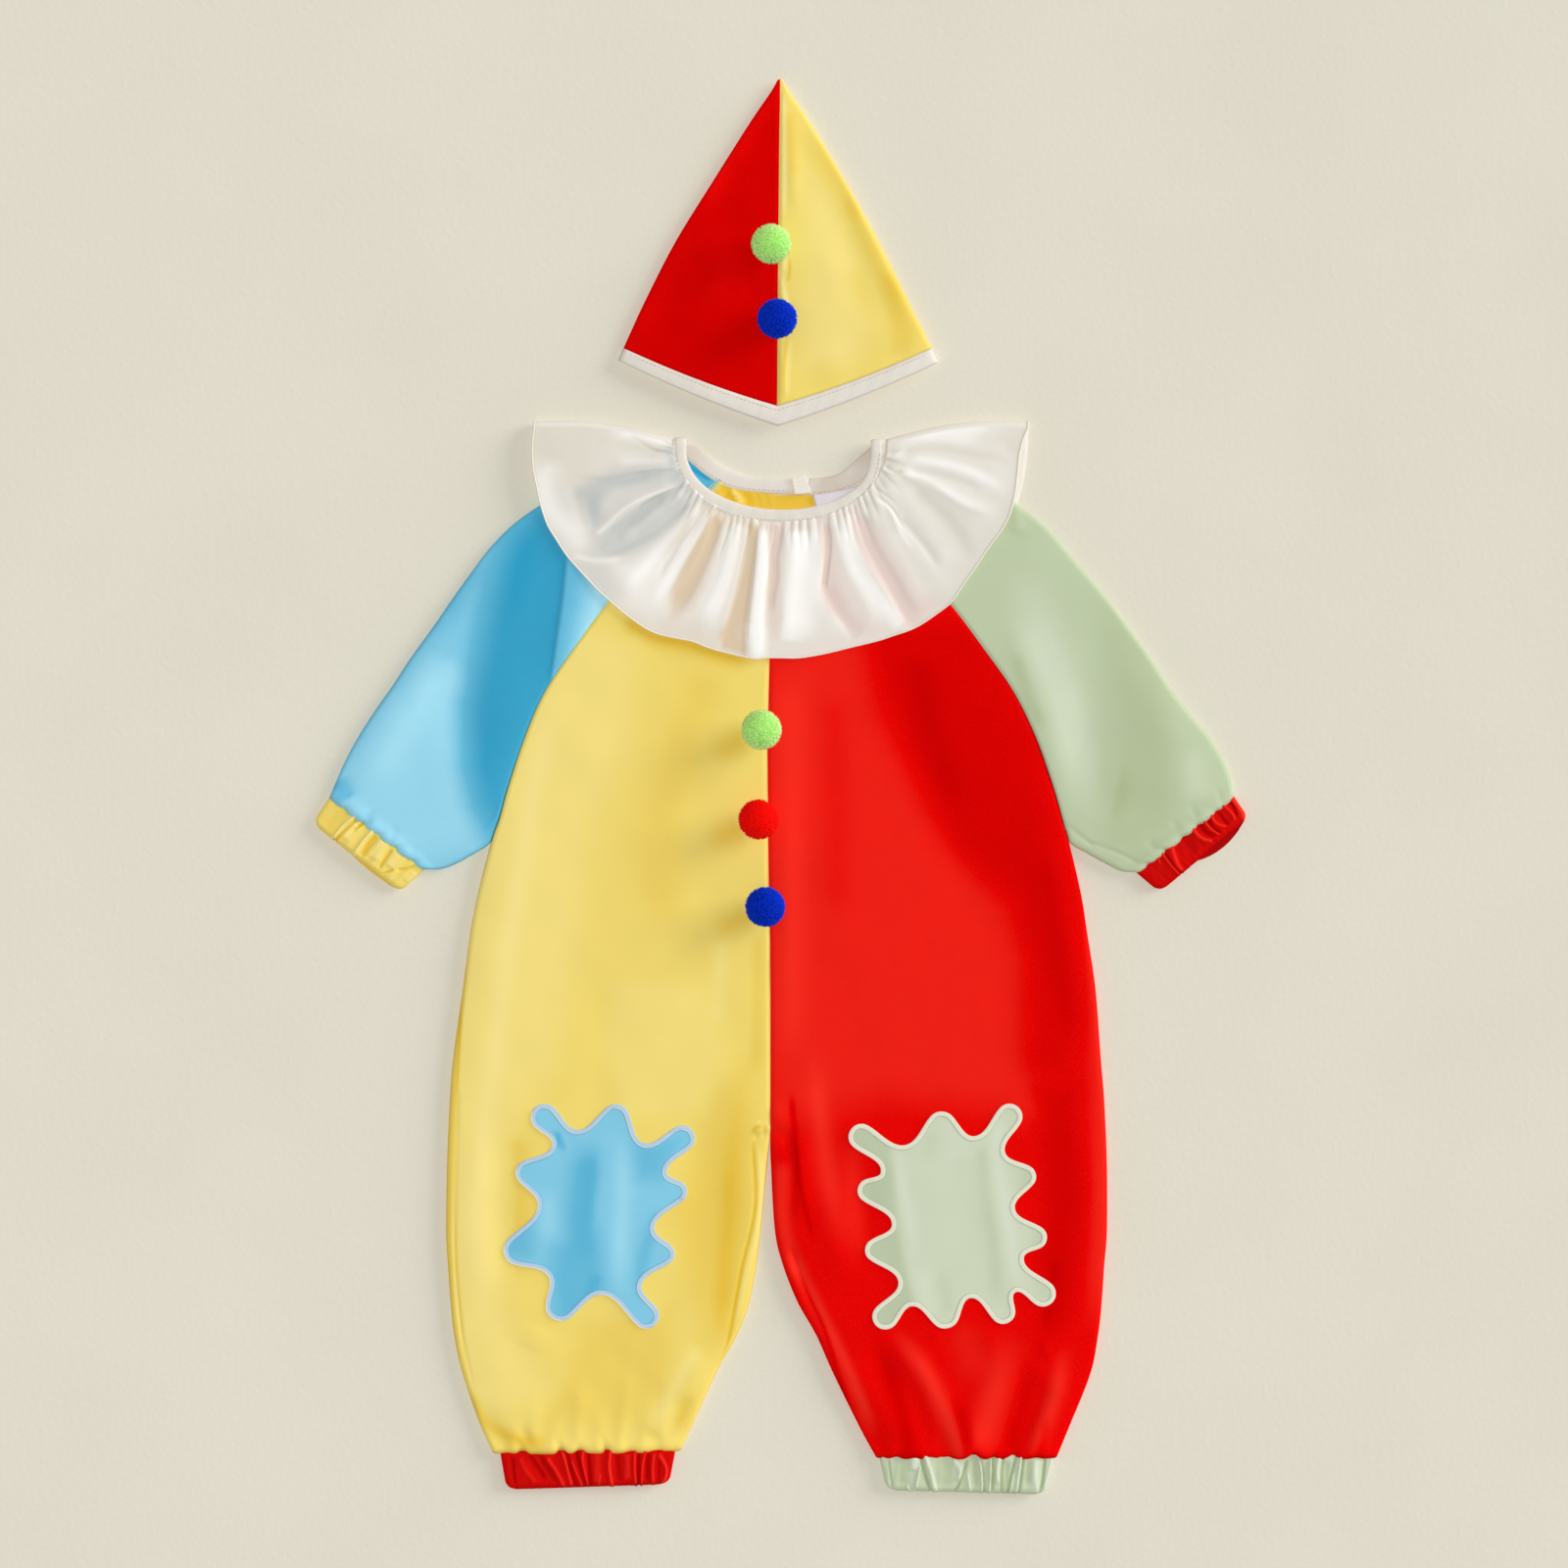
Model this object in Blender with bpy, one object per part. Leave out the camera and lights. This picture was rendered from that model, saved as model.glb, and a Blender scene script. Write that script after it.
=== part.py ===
"""A baby's clown costume laid flat: a colour-blocked romper with a ruffled collar, and its pointed hat.

The origin is on the floor under the middle of the set. +X points to the viewer's right, +Y from the legs to
the hat, and +Z up from the floor. Sizes are in millimetres, and a mesh is scaled to metres when it is made.
Each piece of cloth is a grid of outer points, rows by columns, given a wall by moving them inwards.
"""

import math
from collections import namedtuple

import bpy
import numpy as np
from mathutils import Vector
from mathutils.bvhtree import BVHTree
from mathutils.geometry import delaunay_2d_cdt

MM = 0.001

# Cloth and how it stacks
CLOTH = 1.2  # wall of every sewn piece, about two plies with the seam allowances
GAP = 0.3  # between neighbours
SEAM = GAP / 2 + 0.05  # each piece stops this far short of its seam line
TOP = 6.2  # outer face of the front layer, above the floor
COLLAR_LIFT = CLOTH + GAP  # the back lies this high where the collar is folded under it
EDGE_ROUND = 4.5  # half width of the turn at a fold or side seam
EDGE_SHARE = 0.85  # share of the height that the turn takes, and the crown takes the rest
CROWN = 30.0  # how far in from an edge the crown goes on rising

# Neckline: half ellipses about one centre, deeper in front than behind
NECK_X = 0.6
NECK_Y = 195.2
NECK_HALF_WIDTH = 59.9
NECK_FRONT_DEPTH = 43.1
NECK_BACK_DEPTH = 29.7
BINDING_SIDE = 7.3
BINDING_FRONT = 6.7
BINDING_BACK = 10.2
BINDING_WALL = 3.0  # the strip folded over the raw edges
BINDING_TOP = 8.3
TAB_END = 17.9  # where the binding's left end laps over its right one, behind the neck

# Collar
COLLAR_TOP = TOP + GAP + CLOTH
COLLAR_HALF_WIDTH = 141.0
COLLAR_FRONT_DEPTH = 130.0
COLLAR_BACK_DEPTH = 122.0
COLLAR_SQUARENESS = 2.25  # exponent of the hem's outline, 2 for an ellipse
COLLAR_RISE = 10.2  # the folded edge climbs this much from neck to hem
COLLAR_BULGE = 4.0  # and bows up this much between them
NECK_GATHERS = 28
NECK_GATHER_HEIGHT = 0.9

# Cuffs
CUFF_GATHER_HEIGHT = 1.3
CUFF_TOP = TOP + 0.4

# Patches and pompoms
PATCH_WALL = 1.0
POMPOM_RADIUS = 12.0
POMPOM_CORE = 0.68  # the backing's share of the radius
POMPOM_AROUND = 8
POMPOM_UP = 6
LOCK_TAPER = 0.55  # a lock's tip against its root

# How fine the grids are
FRONT_COLUMNS = 27
BACK_COLUMNS = 9
FOLDED_FRONT_COLUMNS = 14
FOLDED_BACK_COLUMNS = 7
TURN_STEPS = 4

YELLOW = (0.87, 0.70, 0.13)
RED = (0.76, 0.01, 0.01)
BLUE = (0.11, 0.47, 0.79)
SAGE = (0.54, 0.67, 0.45)
CREAM = (0.87, 0.83, 0.77)
POMPOM_GREEN = (0.20, 0.82, 0.09)
POMPOM_RED = (0.85, 0.02, 0.01)
POMPOM_BLUE = (0.01, 0.03, 0.36)

# One row across a body half: its side edge, its middle edge, and how round each edge is (0 flat, 1 turned)
BodyRow = namedtuple("BodyRow", "side_x side_y middle_x middle_y side_turn middle_turn")
YELLOW_ROWS = [
    BodyRow(-164.5, -380.0, -56.5, -378.5, 1.0, 1.0),
    BodyRow(-172.5, -362.0, -48.5, -361.5, 1.0, 1.0),
    BodyRow(-182.0, -334.0, -36.0, -334.0, 1.0, 1.0),
    BodyRow(-186.5, -313.0, -24.5, -313.0, 1.0, 1.0),
    BodyRow(-188.5, -294.5, -17.5, -294.5, 1.0, 1.0),
    BodyRow(-190.0, -273.0, -13.5, -273.0, 1.0, 1.0),
    BodyRow(-191.0, -253.5, -11.0, -253.5, 1.0, 1.0),
    BodyRow(-190.5, -216.0, -7.6, -218.0, 1.0, 1.0),
    BodyRow(-189.0, -180.0, -5.6, -194.0, 1.0, 0.0),
    BodyRow(-187.0, -155.0, -5.6, -155.0, 1.0, 0.0),
    BodyRow(-181.5, -115.5, -5.6, -115.5, 1.0, 0.0),
    BodyRow(-177.0, -82.0, -6.0, -77.0, 1.0, 0.0),
    BodyRow(-172.0, -57.0, -6.7, -43.0, 1.0, 0.0),
    BodyRow(-165.2, -31.0, -7.0, -9.0, 0.9, 0.0),
    BodyRow(-160.7, -18.0, -7.2, 10.0, 0.75, 0.0),
    BodyRow(-155.7, 0.0, -7.3, 24.0, 0.6, 0.0),
    BodyRow(-146.2, 28.5, -6.8, 44.0, 0.4, 0.0),
    BodyRow(-134.4, 55.0, -6.2, 69.0, 0.2, 0.0),
    BodyRow(-115.4, 83.0, -5.6, 91.5, 0.0, 0.0),
    BodyRow(-95.8, 108.5, -5.6, 112.0, 0.0, 0.0),
    BodyRow(-67.8, 136.5, -5.6, 131.5, 0.0, 0.0),
    BodyRow(-41.4, 164.4, -5.6, 152.0, 0.0, 0.0),
]
RED_ROWS = [
    BodyRow(158.5, -382.5, 54.5, -382.5, 1.0, 1.0),
    BodyRow(165.5, -365.5, 45.5, -366.0, 1.0, 1.0),
    BodyRow(177.5, -335.5, 30.5, -335.5, 1.0, 1.0),
    BodyRow(182.0, -313.0, 20.5, -313.0, 1.0, 1.0),
    BodyRow(184.0, -294.5, 10.0, -294.5, 1.0, 1.0),
    BodyRow(185.5, -273.0, 1.5, -273.0, 1.0, 1.0),
    BodyRow(187.0, -253.5, -3.0, -253.5, 1.0, 1.0),
    BodyRow(187.0, -216.0, -5.2, -218.0, 1.0, 1.0),
    BodyRow(185.5, -180.0, -5.6, -194.0, 1.0, 0.0),
    BodyRow(183.5, -155.0, -5.6, -155.0, 1.0, 0.0),
    BodyRow(180.5, -115.5, -5.6, -115.5, 1.0, 0.0),
    BodyRow(176.0, -85.0, -6.0, -77.0, 1.0, 0.0),
    BodyRow(172.0, -60.0, -6.7, -43.0, 1.0, 0.0),
    BodyRow(165.2, -31.0, -7.0, -9.0, 0.9, 0.0),
    BodyRow(161.3, -18.0, -7.2, 10.0, 0.75, 0.0),
    BodyRow(156.2, 0.0, -7.3, 24.0, 0.6, 0.0),
    BodyRow(146.2, 28.5, -6.8, 44.0, 0.4, 0.0),
    BodyRow(133.3, 55.0, -6.2, 69.0, 0.2, 0.0),
    BodyRow(115.9, 80.0, -5.6, 91.5, 0.0, 0.0),
    BodyRow(96.9, 105.0, -5.6, 112.0, 0.0, 0.0),
    BodyRow(69.4, 135.0, -5.6, 131.5, 0.0, 0.0),
    BodyRow(42.6, 164.4, -5.6, 152.0, 0.0, 0.0),
]
CROTCH_ROW = 8
UNDERARM_ROW = 13
BACK_NECK_SIDE = 34.6  # the raglan seam meets the back neckline this far from the centre
BACK_OPENING_X = 22.0  # the back's middle seam leans to here at the neck
FACING_END_X = 52.6  # the facing runs from that seam to here
FACING_DEPTHS = (24.0, 16.0)  # how deep it is at each end

# One row along a sleeve below the armhole: the shoulder fold and the underarm seam
SleeveRow = namedtuple("SleeveRow", "fold_x fold_y seam_x seam_y")
BLUE_TUBE = [
    SleeveRow(-257.6, -5.3, -203.3, -46.8),
    SleeveRow(-248.6, 15.4, -194.5, -46.8),
    SleeveRow(-240.0, 31.0, -186.0, -44.0),
    SleeveRow(-231.3, 44.5, -176.0, -38.5),
]
GREEN_TUBE = [
    SleeveRow(259.5, -5.0, 204.0, -48.5),
    SleeveRow(256.5, 9.0, 195.5, -48.0),
    SleeveRow(247.5, 26.0, 187.0, -44.0),
    SleeveRow(235.0, 41.5, 176.0, -38.0),
]
# The shoulder fold from the underarm row up to the neck, a point for each row of the armhole seam
Fold = namedtuple("Fold", "x y")
BLUE_SHOULDER = [
    Fold(-221.8, 58.0), Fold(-212.0, 73.0), Fold(-198.0, 92.5), Fold(-182.0, 115.5), Fold(-164.5, 138.5),
    Fold(-146.0, 155.5), Fold(-120.0, 171.0), Fold(-90.0, 184.5), Fold(-59.3, NECK_Y),
]
GREEN_SHOULDER = [
    Fold(223.0, 57.0), Fold(213.5, 71.5), Fold(200.0, 90.5), Fold(184.5, 111.0), Fold(167.0, 131.5),
    Fold(149.5, 151.0), Fold(124.0, 169.0), Fold(93.0, 184.0), Fold(60.5, NECK_Y),
]

# One row along a hat half, from the hem to the tip: its side fold and its middle seam
HatRow = namedtuple("HatRow", "fold_x fold_y seam_x seam_y wall")
HAT_LEFT = [
    HatRow(-89.6, 251.2, -1.7, 218.1, CLOTH),
    HatRow(-76.7, 279.2, -1.5, 250.0, CLOTH),
    HatRow(-59.4, 312.8, -1.2, 290.0, CLOTH),
    HatRow(-38.6, 346.4, -0.8, 332.0, CLOTH),
    HatRow(-17.4, 380.0, -0.4, 373.0, CLOTH),
    HatRow(-5.2, 398.0, 0.0, 396.5, 1.0),
    HatRow(-1.6, 404.4, 0.0, 405.2, 0.4),
]
HAT_RIGHT = [
    HatRow(86.8, 251.2, -1.7, 218.1, CLOTH),
    HatRow(72.8, 279.2, -1.5, 250.0, CLOTH),
    HatRow(56.0, 312.8, -1.2, 290.0, CLOTH),
    HatRow(37.5, 346.4, -0.8, 332.0, CLOTH),
    HatRow(17.4, 380.0, -0.4, 373.0, CLOTH),
    HatRow(5.2, 398.0, 0.0, 396.5, 1.0),
    HatRow(1.6, 404.4, 0.0, 405.2, 0.4),
]

# A cuff or band: the line of its seam edge and of its free edge, in order from left to right
CUFFS = {
    "sleeve_cuff_yellow": (YELLOW, 9, [(-257.6, -5.3), (-203.3, -46.8)], [(-267.1, -19.9), (-218.4, -59.1)]),
    "sleeve_cuff_red": (RED, 9, [(204.0, -48.5), (259.5, -5.0)], [(217.8, -59.1), (267.1, -16.0)]),
    "leg_cuff_red": (RED, 12, [(-160.2, -379.9), (-58.5, -378.5)], [(-155.1, -400.1), (-64.4, -398.4)]),
    "leg_cuff_green": (SAGE, 12, [(56.4, -382.5), (156.6, -382.5)], [(61.6, -401.7), (152.3, -403.6)]),
}
HAT_BOW = 2.0  # each half of the hat's hem bows down this much between its fold and its seam
HAT_BAND_HEM = [(-92.6, 244.4), (-1.3, 206.8), (91.0, 243.4)]

# Folds of the collar's front: where each crest meets the hem (degrees below the left corner), its half width
# in degrees, and its height at the hem
CollarFold = namedtuple("CollarFold", "angle half_width height")
COLLAR_FOLDS = [
    CollarFold(9.0, 9.0, 3.0),
    CollarFold(27.0, 8.0, 3.6),
    CollarFold(45.0, 6.5, 3.4),
    CollarFold(56.5, 5.0, 4.6),
    CollarFold(65.5, 4.5, 5.6),
    CollarFold(74.0, 4.2, 5.2),
    CollarFold(82.0, 4.0, 6.8),
    CollarFold(90.5, 4.5, 4.8),
    CollarFold(99.5, 4.5, 6.0),
    CollarFold(108.0, 4.0, 5.4),
    CollarFold(116.0, 4.0, 7.0),
    CollarFold(125.0, 5.0, 4.4),
    CollarFold(137.0, 6.5, 3.8),
    CollarFold(151.0, 7.0, 4.2),
    CollarFold(168.0, 8.0, 4.4),
]
# The gathers bunch the neck edge under the chin: neck angle against hem angle, both in degrees
COLLAR_SPREAD_NECK = [0.0, 24.0, 155.0, 180.0]
COLLAR_SPREAD_HEM = [0.0, 50.0, 130.0, 180.0]

# Creases that the elastic draws up each leg: where along the hem (0 side, 1 middle), how far up it runs, its
# height at the hem, and how far its top drifts towards the middle
LegCrease = namedtuple("LegCrease", "along length height drift")
LEG_CREASES = [
    LegCrease(0.10, 30.0, 1.6, 1.0),
    LegCrease(0.21, 48.0, 2.2, 3.0),
    LegCrease(0.33, 34.0, 1.8, 1.0),
    LegCrease(0.44, 66.0, 2.3, 5.0),
    LegCrease(0.56, 36.0, 1.7, 2.0),
    LegCrease(0.67, 84.0, 2.4, 10.0),
    LegCrease(0.79, 44.0, 2.0, 6.0),
    LegCrease(0.90, 62.0, 1.6, 6.0),
]
LEG_CREASE_HALF_WIDTH = 4.6

# Lobes of a patch, going anticlockwise about its middle: each lobe's round head, and the hollow after it
Lobe = namedtuple("Lobe", "head_x head_y head_radius hollow_x hollow_y")
BLUE_PATCH = [
    Lobe(46.1, 13.5, 6.0, 40.5, 24.3),
    Lobe(49.5, 43.9, 7.1, 27.5, 41.1),
    Lobe(11.6, 55.7, 7.5, -10.4, 48.6),
    Lobe(-29.1, 55.9, 7.5, -24.4, 40.2),
    Lobe(-38.2, 24.3, 7.1, -32.6, 6.0),
    Lobe(-43.8, -19.9, 8.4, -26.8, -34.5),
    Lobe(-19.8, -51.6, 8.4, 3.6, -45.1),
    Lobe(29.0, -57.4, 7.1, 26.0, -40.1),
    Lobe(39.0, -22.0, 6.0, 33.4, -7.4),
]
GREEN_PATCH = [
    Lobe(41.4, 24.1, 6.5, 30.2, 37.9),
    Lobe(33.0, 58.4, 7.1, 12.5, 46.9),
    Lobe(-5.8, 52.8, 8.2, -26.7, 41.8),
    Lobe(-51.5, 46.9, 7.1, -40.1, 26.7),
    Lobe(-46.9, 16.1, 6.5, -33.8, -3.2),
    Lobe(-42.6, -17.9, 6.5, -30.1, -36.2),
    Lobe(-37.9, -55.8, 7.1, -22.6, -49.6),
    Lobe(-3.9, -54.3, 8.0, 10.6, -45.0),
    Lobe(29.3, -53.0, 6.7, 36.2, -41.8),
    Lobe(52.1, -42.7, 7.1, 40.9, -22.2),
    Lobe(47.6, -10.6, 6.5, 35.8, 5.8),
]
BLUE_PATCH_CENTRE = (-105.5, -244.5)
GREEN_PATCH_CENTRE = (98.0, -246.5)
PATCH_STEPS = 3  # points from one knot of the edge to the next, with four knots to a lobe
PATCH_RINGS = (0.4, 0.82)  # inner rings, as shares of the edge with its lobes smoothed away

Pompom = namedtuple("Pompom", "x y colour")
POMPOMS = {
    "pompom_chest_green": Pompom(-10.6, 32.8, POMPOM_GREEN),
    "pompom_chest_red": Pompom(-12.3, -18.2, POMPOM_RED),
    "pompom_chest_blue": Pompom(-8.4, -68.0, POMPOM_BLUE),
    "pompom_hat_green": Pompom(-5.0, 309.4, POMPOM_GREEN),
    "pompom_hat_blue": Pompom(-1.7, 266.8, POMPOM_BLUE),
}


def clear_scene():
    for obj in list(bpy.data.objects):
        bpy.data.objects.remove(obj, do_unlink=True)


def cloth_material(name, colour, roughness=0.8):
    material = bpy.data.materials.new(name)
    material.use_nodes = True
    shader = material.node_tree.nodes["Principled BSDF"]
    shader.inputs["Base Color"].default_value = (*colour, 1.0)
    shader.inputs["Roughness"].default_value = roughness
    shader.inputs["Metallic"].default_value = 0.0
    return material


def add_solid(name, points, faces, colour):
    """One named object from points in millimetres, with its faces turned outwards."""
    mesh = bpy.data.meshes.new(name)
    mesh.from_pydata((points * MM).tolist(), [], faces)
    triangles = np.array([[f[0], f[i], f[i + 1]] for f in faces for i in range(1, len(f) - 1)])
    if np.linalg.det(points[triangles]).sum() < 0:
        mesh.flip_normals()
    mesh.materials.append(cloth_material(name, colour))
    obj = bpy.data.objects.new(name, mesh)
    bpy.context.scene.collection.objects.link(obj)
    return obj


def unit(vectors):
    return vectors / np.maximum(np.linalg.norm(vectors, axis=-1, keepdims=True), 1e-9)


def spread(count):
    """Column places from 0 to 1, crowded towards both ends, where the cloth turns."""
    return 0.5 * (1 - np.cos(np.linspace(0, np.pi, count)))


def turned(distance, radius):
    """Share of the height reached at a distance in from an edge: a quarter ellipse, then a slow crown."""
    near = np.clip(distance / radius, 0, 1)
    far = np.clip(distance / CROWN, 0, 1)
    return EDGE_SHARE * np.sqrt(near * (2 - near)) + (1 - EDGE_SHARE) * far * (2 - far)


def collar_reach(angle, depth):
    """Plan offset of the collar's hem from its centre, at an angle in radians below the left corner."""
    across, down = np.cos(angle), np.sin(angle)
    size = (np.abs(across) ** COLLAR_SQUARENESS + np.abs(down) ** COLLAR_SQUARENESS) ** (-1 / COLLAR_SQUARENESS)
    return np.stack([-COLLAR_HALF_WIDTH * across * size, -depth * down * size], axis=-1)


def floor_under(points):
    """Height that the back layer rests at: on the floor, or on the part of the collar folded under it."""
    full, gone = 38.0, 62.0  # it starts to sink this far past the collar's hem, and rests on the floor here
    offset = points - np.array([NECK_X, NECK_Y])
    reach = np.hypot(offset[..., 0] / COLLAR_HALF_WIDTH, offset[..., 1] / COLLAR_BACK_DEPTH)
    past = (reach - 1) * COLLAR_BACK_DEPTH
    return COLLAR_LIFT * np.clip((gone - past) / (gone - full), 0, 1)


def neck_arc(angle, depth, outset=0.0):
    """Plan points of a neckline: an angle of 0 is its left end, pi its right one."""
    return np.stack(
        [
            NECK_X - (NECK_HALF_WIDTH + outset) * np.cos(angle),
            NECK_Y - (depth + outset) * np.sin(angle),
        ],
        axis=-1,
    )


def neck_row(start_x, end_x, columns, depth):
    """A panel's neck edge between two places across it, just outside the seam line of the neckline."""
    ends = [math.acos(np.clip((NECK_X - x) / NECK_HALF_WIDTH, -1, 1)) for x in (start_x, end_x)]
    return neck_arc(ends[0] + columns * (ends[1] - ends[0]), depth, SEAM + GAP / 2)


def wall_mesh(outer, inner, around=False):
    """Points and faces of the wall between two grids. A grid that goes round has no first or last column."""
    rows, columns = outer.shape[:2]
    index = np.arange(2 * rows * columns).reshape(2, rows, columns)
    following = np.roll(index, -1, axis=2) if around else index[:, :, 1:]
    current = index if around else index[:, :, :-1]
    faces = []

    def strip(a, b, c, d):
        faces.extend(np.stack([a.ravel(), b.ravel(), c.ravel(), d.ravel()], axis=1).tolist())

    strip(current[0, :-1], following[0, :-1], following[0, 1:], current[0, 1:])
    strip(current[1, :-1], current[1, 1:], following[1, 1:], following[1, :-1])
    strip(current[0, 0], current[1, 0], following[1, 0], following[0, 0])
    strip(current[0, -1], following[0, -1], following[1, -1], current[1, -1])
    if not around:
        strip(index[0, :-1, 0], index[0, 1:, 0], index[1, 1:, 0], index[1, :-1, 0])
        strip(index[0, :-1, -1], index[1, :-1, -1], index[1, 1:, -1], index[0, 1:, -1])
    return np.concatenate([outer.reshape(-1, 3), inner.reshape(-1, 3)]), faces


def inward(outer, around=False, cut_axes=(None, None)):
    """Unit directions from the outer points into the wall, away from the outside of the garment.

    cut_axes are the plan directions across the first and last row's cut edges: the wall is cut square there.
    """
    if around:
        along = np.roll(outer, -1, axis=1) - np.roll(outer, 1, axis=1)
    else:
        along = np.gradient(outer, axis=1)
    normal = unit(np.cross(along, np.gradient(outer, axis=0)))
    outwards = np.sum((outer[..., 2] - TOP / 2) * normal[..., 2])
    direction = -normal * np.sign(outwards)
    for row, axis in zip((0, -1), cut_axes):
        if axis is not None:
            axis = unit(np.array([*axis, 0.0]))
            direction[row] = unit(direction[row] - np.outer(direction[row] @ axis, axis))
    if not around:
        # A seam edge is cut straight down where the cloth lies flat, and level where it has turned
        for column in (0, -1):
            edge = direction[:, column]
            flat = np.abs(outer[:, column, 2:] - TOP / 2) > CLOTH
            edge[:] = unit(np.where(flat, edge * [0, 0, 1], edge * [1, 1, 0]))
    return direction


def add_cloth(name, outer, colour, wall=CLOTH, around=False, cut_axes=(None, None)):
    """A piece of cloth from its outer points. The wall may be one thickness or one for each row."""
    thickness = np.broadcast_to(np.asarray(wall, float).reshape(-1, 1, 1), (outer.shape[0], 1, 1))
    inner = outer + thickness * inward(outer, around, cut_axes)
    return add_solid(name, *wall_mesh(outer, inner, around), colour)


def plan_rows(left, right, columns, last=None):
    """Plan points of straight rows between two edges, each edge just short of its seam line."""
    across = unit(right - left)
    left = left + SEAM * across
    right = right - SEAM * across
    plan = left[:, None] + columns[None, :, None] * (right - left)[:, None]
    if last is not None:
        plan[-1] = last
    return plan


def edge_shares(plan, left_turn, right_turn):
    """Shares of the full height that the turns at the rows' left and right ends leave."""
    steps = np.linalg.norm(np.diff(plan, axis=1), axis=2)
    run = np.concatenate([np.zeros((len(plan), 1)), np.cumsum(steps, axis=1)], axis=1)
    width = run[:, -1:]
    radius = np.minimum(EDGE_ROUND, 0.45 * width)
    left = 1 - left_turn[:, None] * (1 - turned(run, radius))
    right = 1 - right_turn[:, None] * (1 - turned(width - run, radius))
    return left, right


def front_heights(plan, share, seam_share):
    middle = (TOP + floor_under(plan)) / 2
    return middle + (TOP - middle) * share + GAP / 2 * (1 - seam_share)


def back_heights(plan, share, seam_share):
    rest = floor_under(plan)
    middle = (TOP + rest) / 2
    return middle + (rest - middle) * share - GAP / 2 * (1 - seam_share)


def leg_creases(plan, rows):
    """Height that the gathered hem adds to a leg's front."""
    hem = rows[0]
    side = np.array([hem.side_x, hem.side_y])
    middle = np.array([hem.middle_x, hem.middle_y])
    inwards = np.sign(middle[0] - side[0])
    height = np.zeros(plan.shape[:2])
    for crease in LEG_CREASES:
        foot = side + crease.along * (middle - side)
        up = (plan[..., 1] - foot[1]) / crease.length
        centre = foot[0] + inwards * crease.drift * up
        across = (plan[..., 0] - centre) / (LEG_CREASE_HALF_WIDTH * (1 + 0.5 * np.clip(up, 0, 1)))
        height += crease.height * np.exp(-across**2) * np.clip(1 - up, 0, 1) ** 1.5
    return height


def edges_of(rows):
    """A body half's side and middle edges with their turns, the left one of them first."""
    table = np.array(rows)
    side = (table[:, 0:2], table[:, 4])
    middle = (table[:, 2:4], table[:, 5])
    return (side, middle) if rows[0].side_x < rows[0].middle_x else (middle, side)


def body_front(rows):
    (left, left_turn), (right, right_turn) = edges_of(rows)
    columns = spread(FRONT_COLUMNS)
    plan = plan_rows(left, right, columns, neck_row(left[-1, 0], right[-1, 0], columns, NECK_FRONT_DEPTH))
    share = np.prod(edge_shares(plan, left_turn, right_turn), axis=0)
    height = front_heights(plan, share, share) + leg_creases(plan, rows) * share
    return np.dstack([plan, height])


def back_rows(rows):
    """The same half's back: its neck is higher, and its middle seam leans towards the neck opening."""
    crotch_y, neck_y = rows[CROTCH_ROW].middle_y, NECK_Y - NECK_BACK_DEPTH
    made = []
    for number, row in enumerate(rows):
        if number > CROTCH_ROW:
            lean = (row.middle_y - crotch_y) / (rows[-1].middle_y - crotch_y)
            row = row._replace(
                middle_x=rows[CROTCH_ROW].middle_x + lean * (BACK_OPENING_X - rows[CROTCH_ROW].middle_x),
                middle_y=crotch_y + lean * (neck_y - crotch_y),
            )
        made.append(row)
    side_x, side_y = back_neck_corner(np.sign(rows[-1].side_x))
    made[-1] = made[-1]._replace(side_x=side_x, side_y=side_y)
    return made


def back_neck_corner(side):
    """Where the raglan seam meets the back neckline, on the left (-1) or the right (1)."""
    across = BACK_NECK_SIDE / NECK_HALF_WIDTH
    return NECK_X + side * BACK_NECK_SIDE, NECK_Y - NECK_BACK_DEPTH * math.sqrt(1 - across**2)


def body_back(rows):
    (left, left_turn), (right, right_turn) = edges_of(back_rows(rows))
    columns = spread(BACK_COLUMNS)
    plan = plan_rows(left, right, columns, neck_row(left[-1, 0], right[-1, 0], columns, NECK_BACK_DEPTH))
    share = np.prod(edge_shares(plan, left_turn, right_turn), axis=0)
    return np.dstack([plan, back_heights(plan, share, share)])


def folded_piece(fold, front_seam, back_seam, seam_turn, neck_ends=None, low=1.0, bow=0.0):
    """Outer points of a piece folded along its outer edge: seam to fold in front, and back to the seam behind.

    neck_ends are the seam places of a last row that follows the neckline in front and behind. low brings the
    front and back towards each other, row by row, as at the tip of a hat. bow bends the rows downwards.
    """
    squeeze = np.broadcast_to(low, len(fold))[:, None]
    sag = np.broadcast_to(bow, len(fold))[:, None]
    layers = []
    for layer, (seam, count, heights, depth) in enumerate(
        (
            (front_seam, FOLDED_FRONT_COLUMNS, front_heights, NECK_FRONT_DEPTH),
            (back_seam, FOLDED_BACK_COLUMNS, back_heights, NECK_BACK_DEPTH),
        )
    ):
        columns = spread(count)
        starts = seam + SEAM * unit(fold - seam)
        plan = starts[:, None] + columns[None, :, None] * (fold - starts)[:, None]
        plan[..., 1] -= sag * 4 * columns * (1 - columns)
        if neck_ends is not None:
            plan[-1] = neck_row(neck_ends[layer], fold[-1, 0], columns, depth)
        at_seam, at_fold = edge_shares(plan, seam_turn, np.ones(len(fold)))
        # The crown is given up at the fold, so that both layers meet on one line there
        at_fold = at_fold * at_seam
        height = heights(plan, at_fold, at_seam)
        middle = (TOP + floor_under(plan)) / 2
        layers.append(np.dstack([plan, middle + (height - middle) * squeeze]))
    front, back = layers
    front[:, -1, 2] = (TOP + floor_under(front[:, -1, :2])) / 2
    return np.concatenate([front, back[:, -2::-1]], axis=1)


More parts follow.
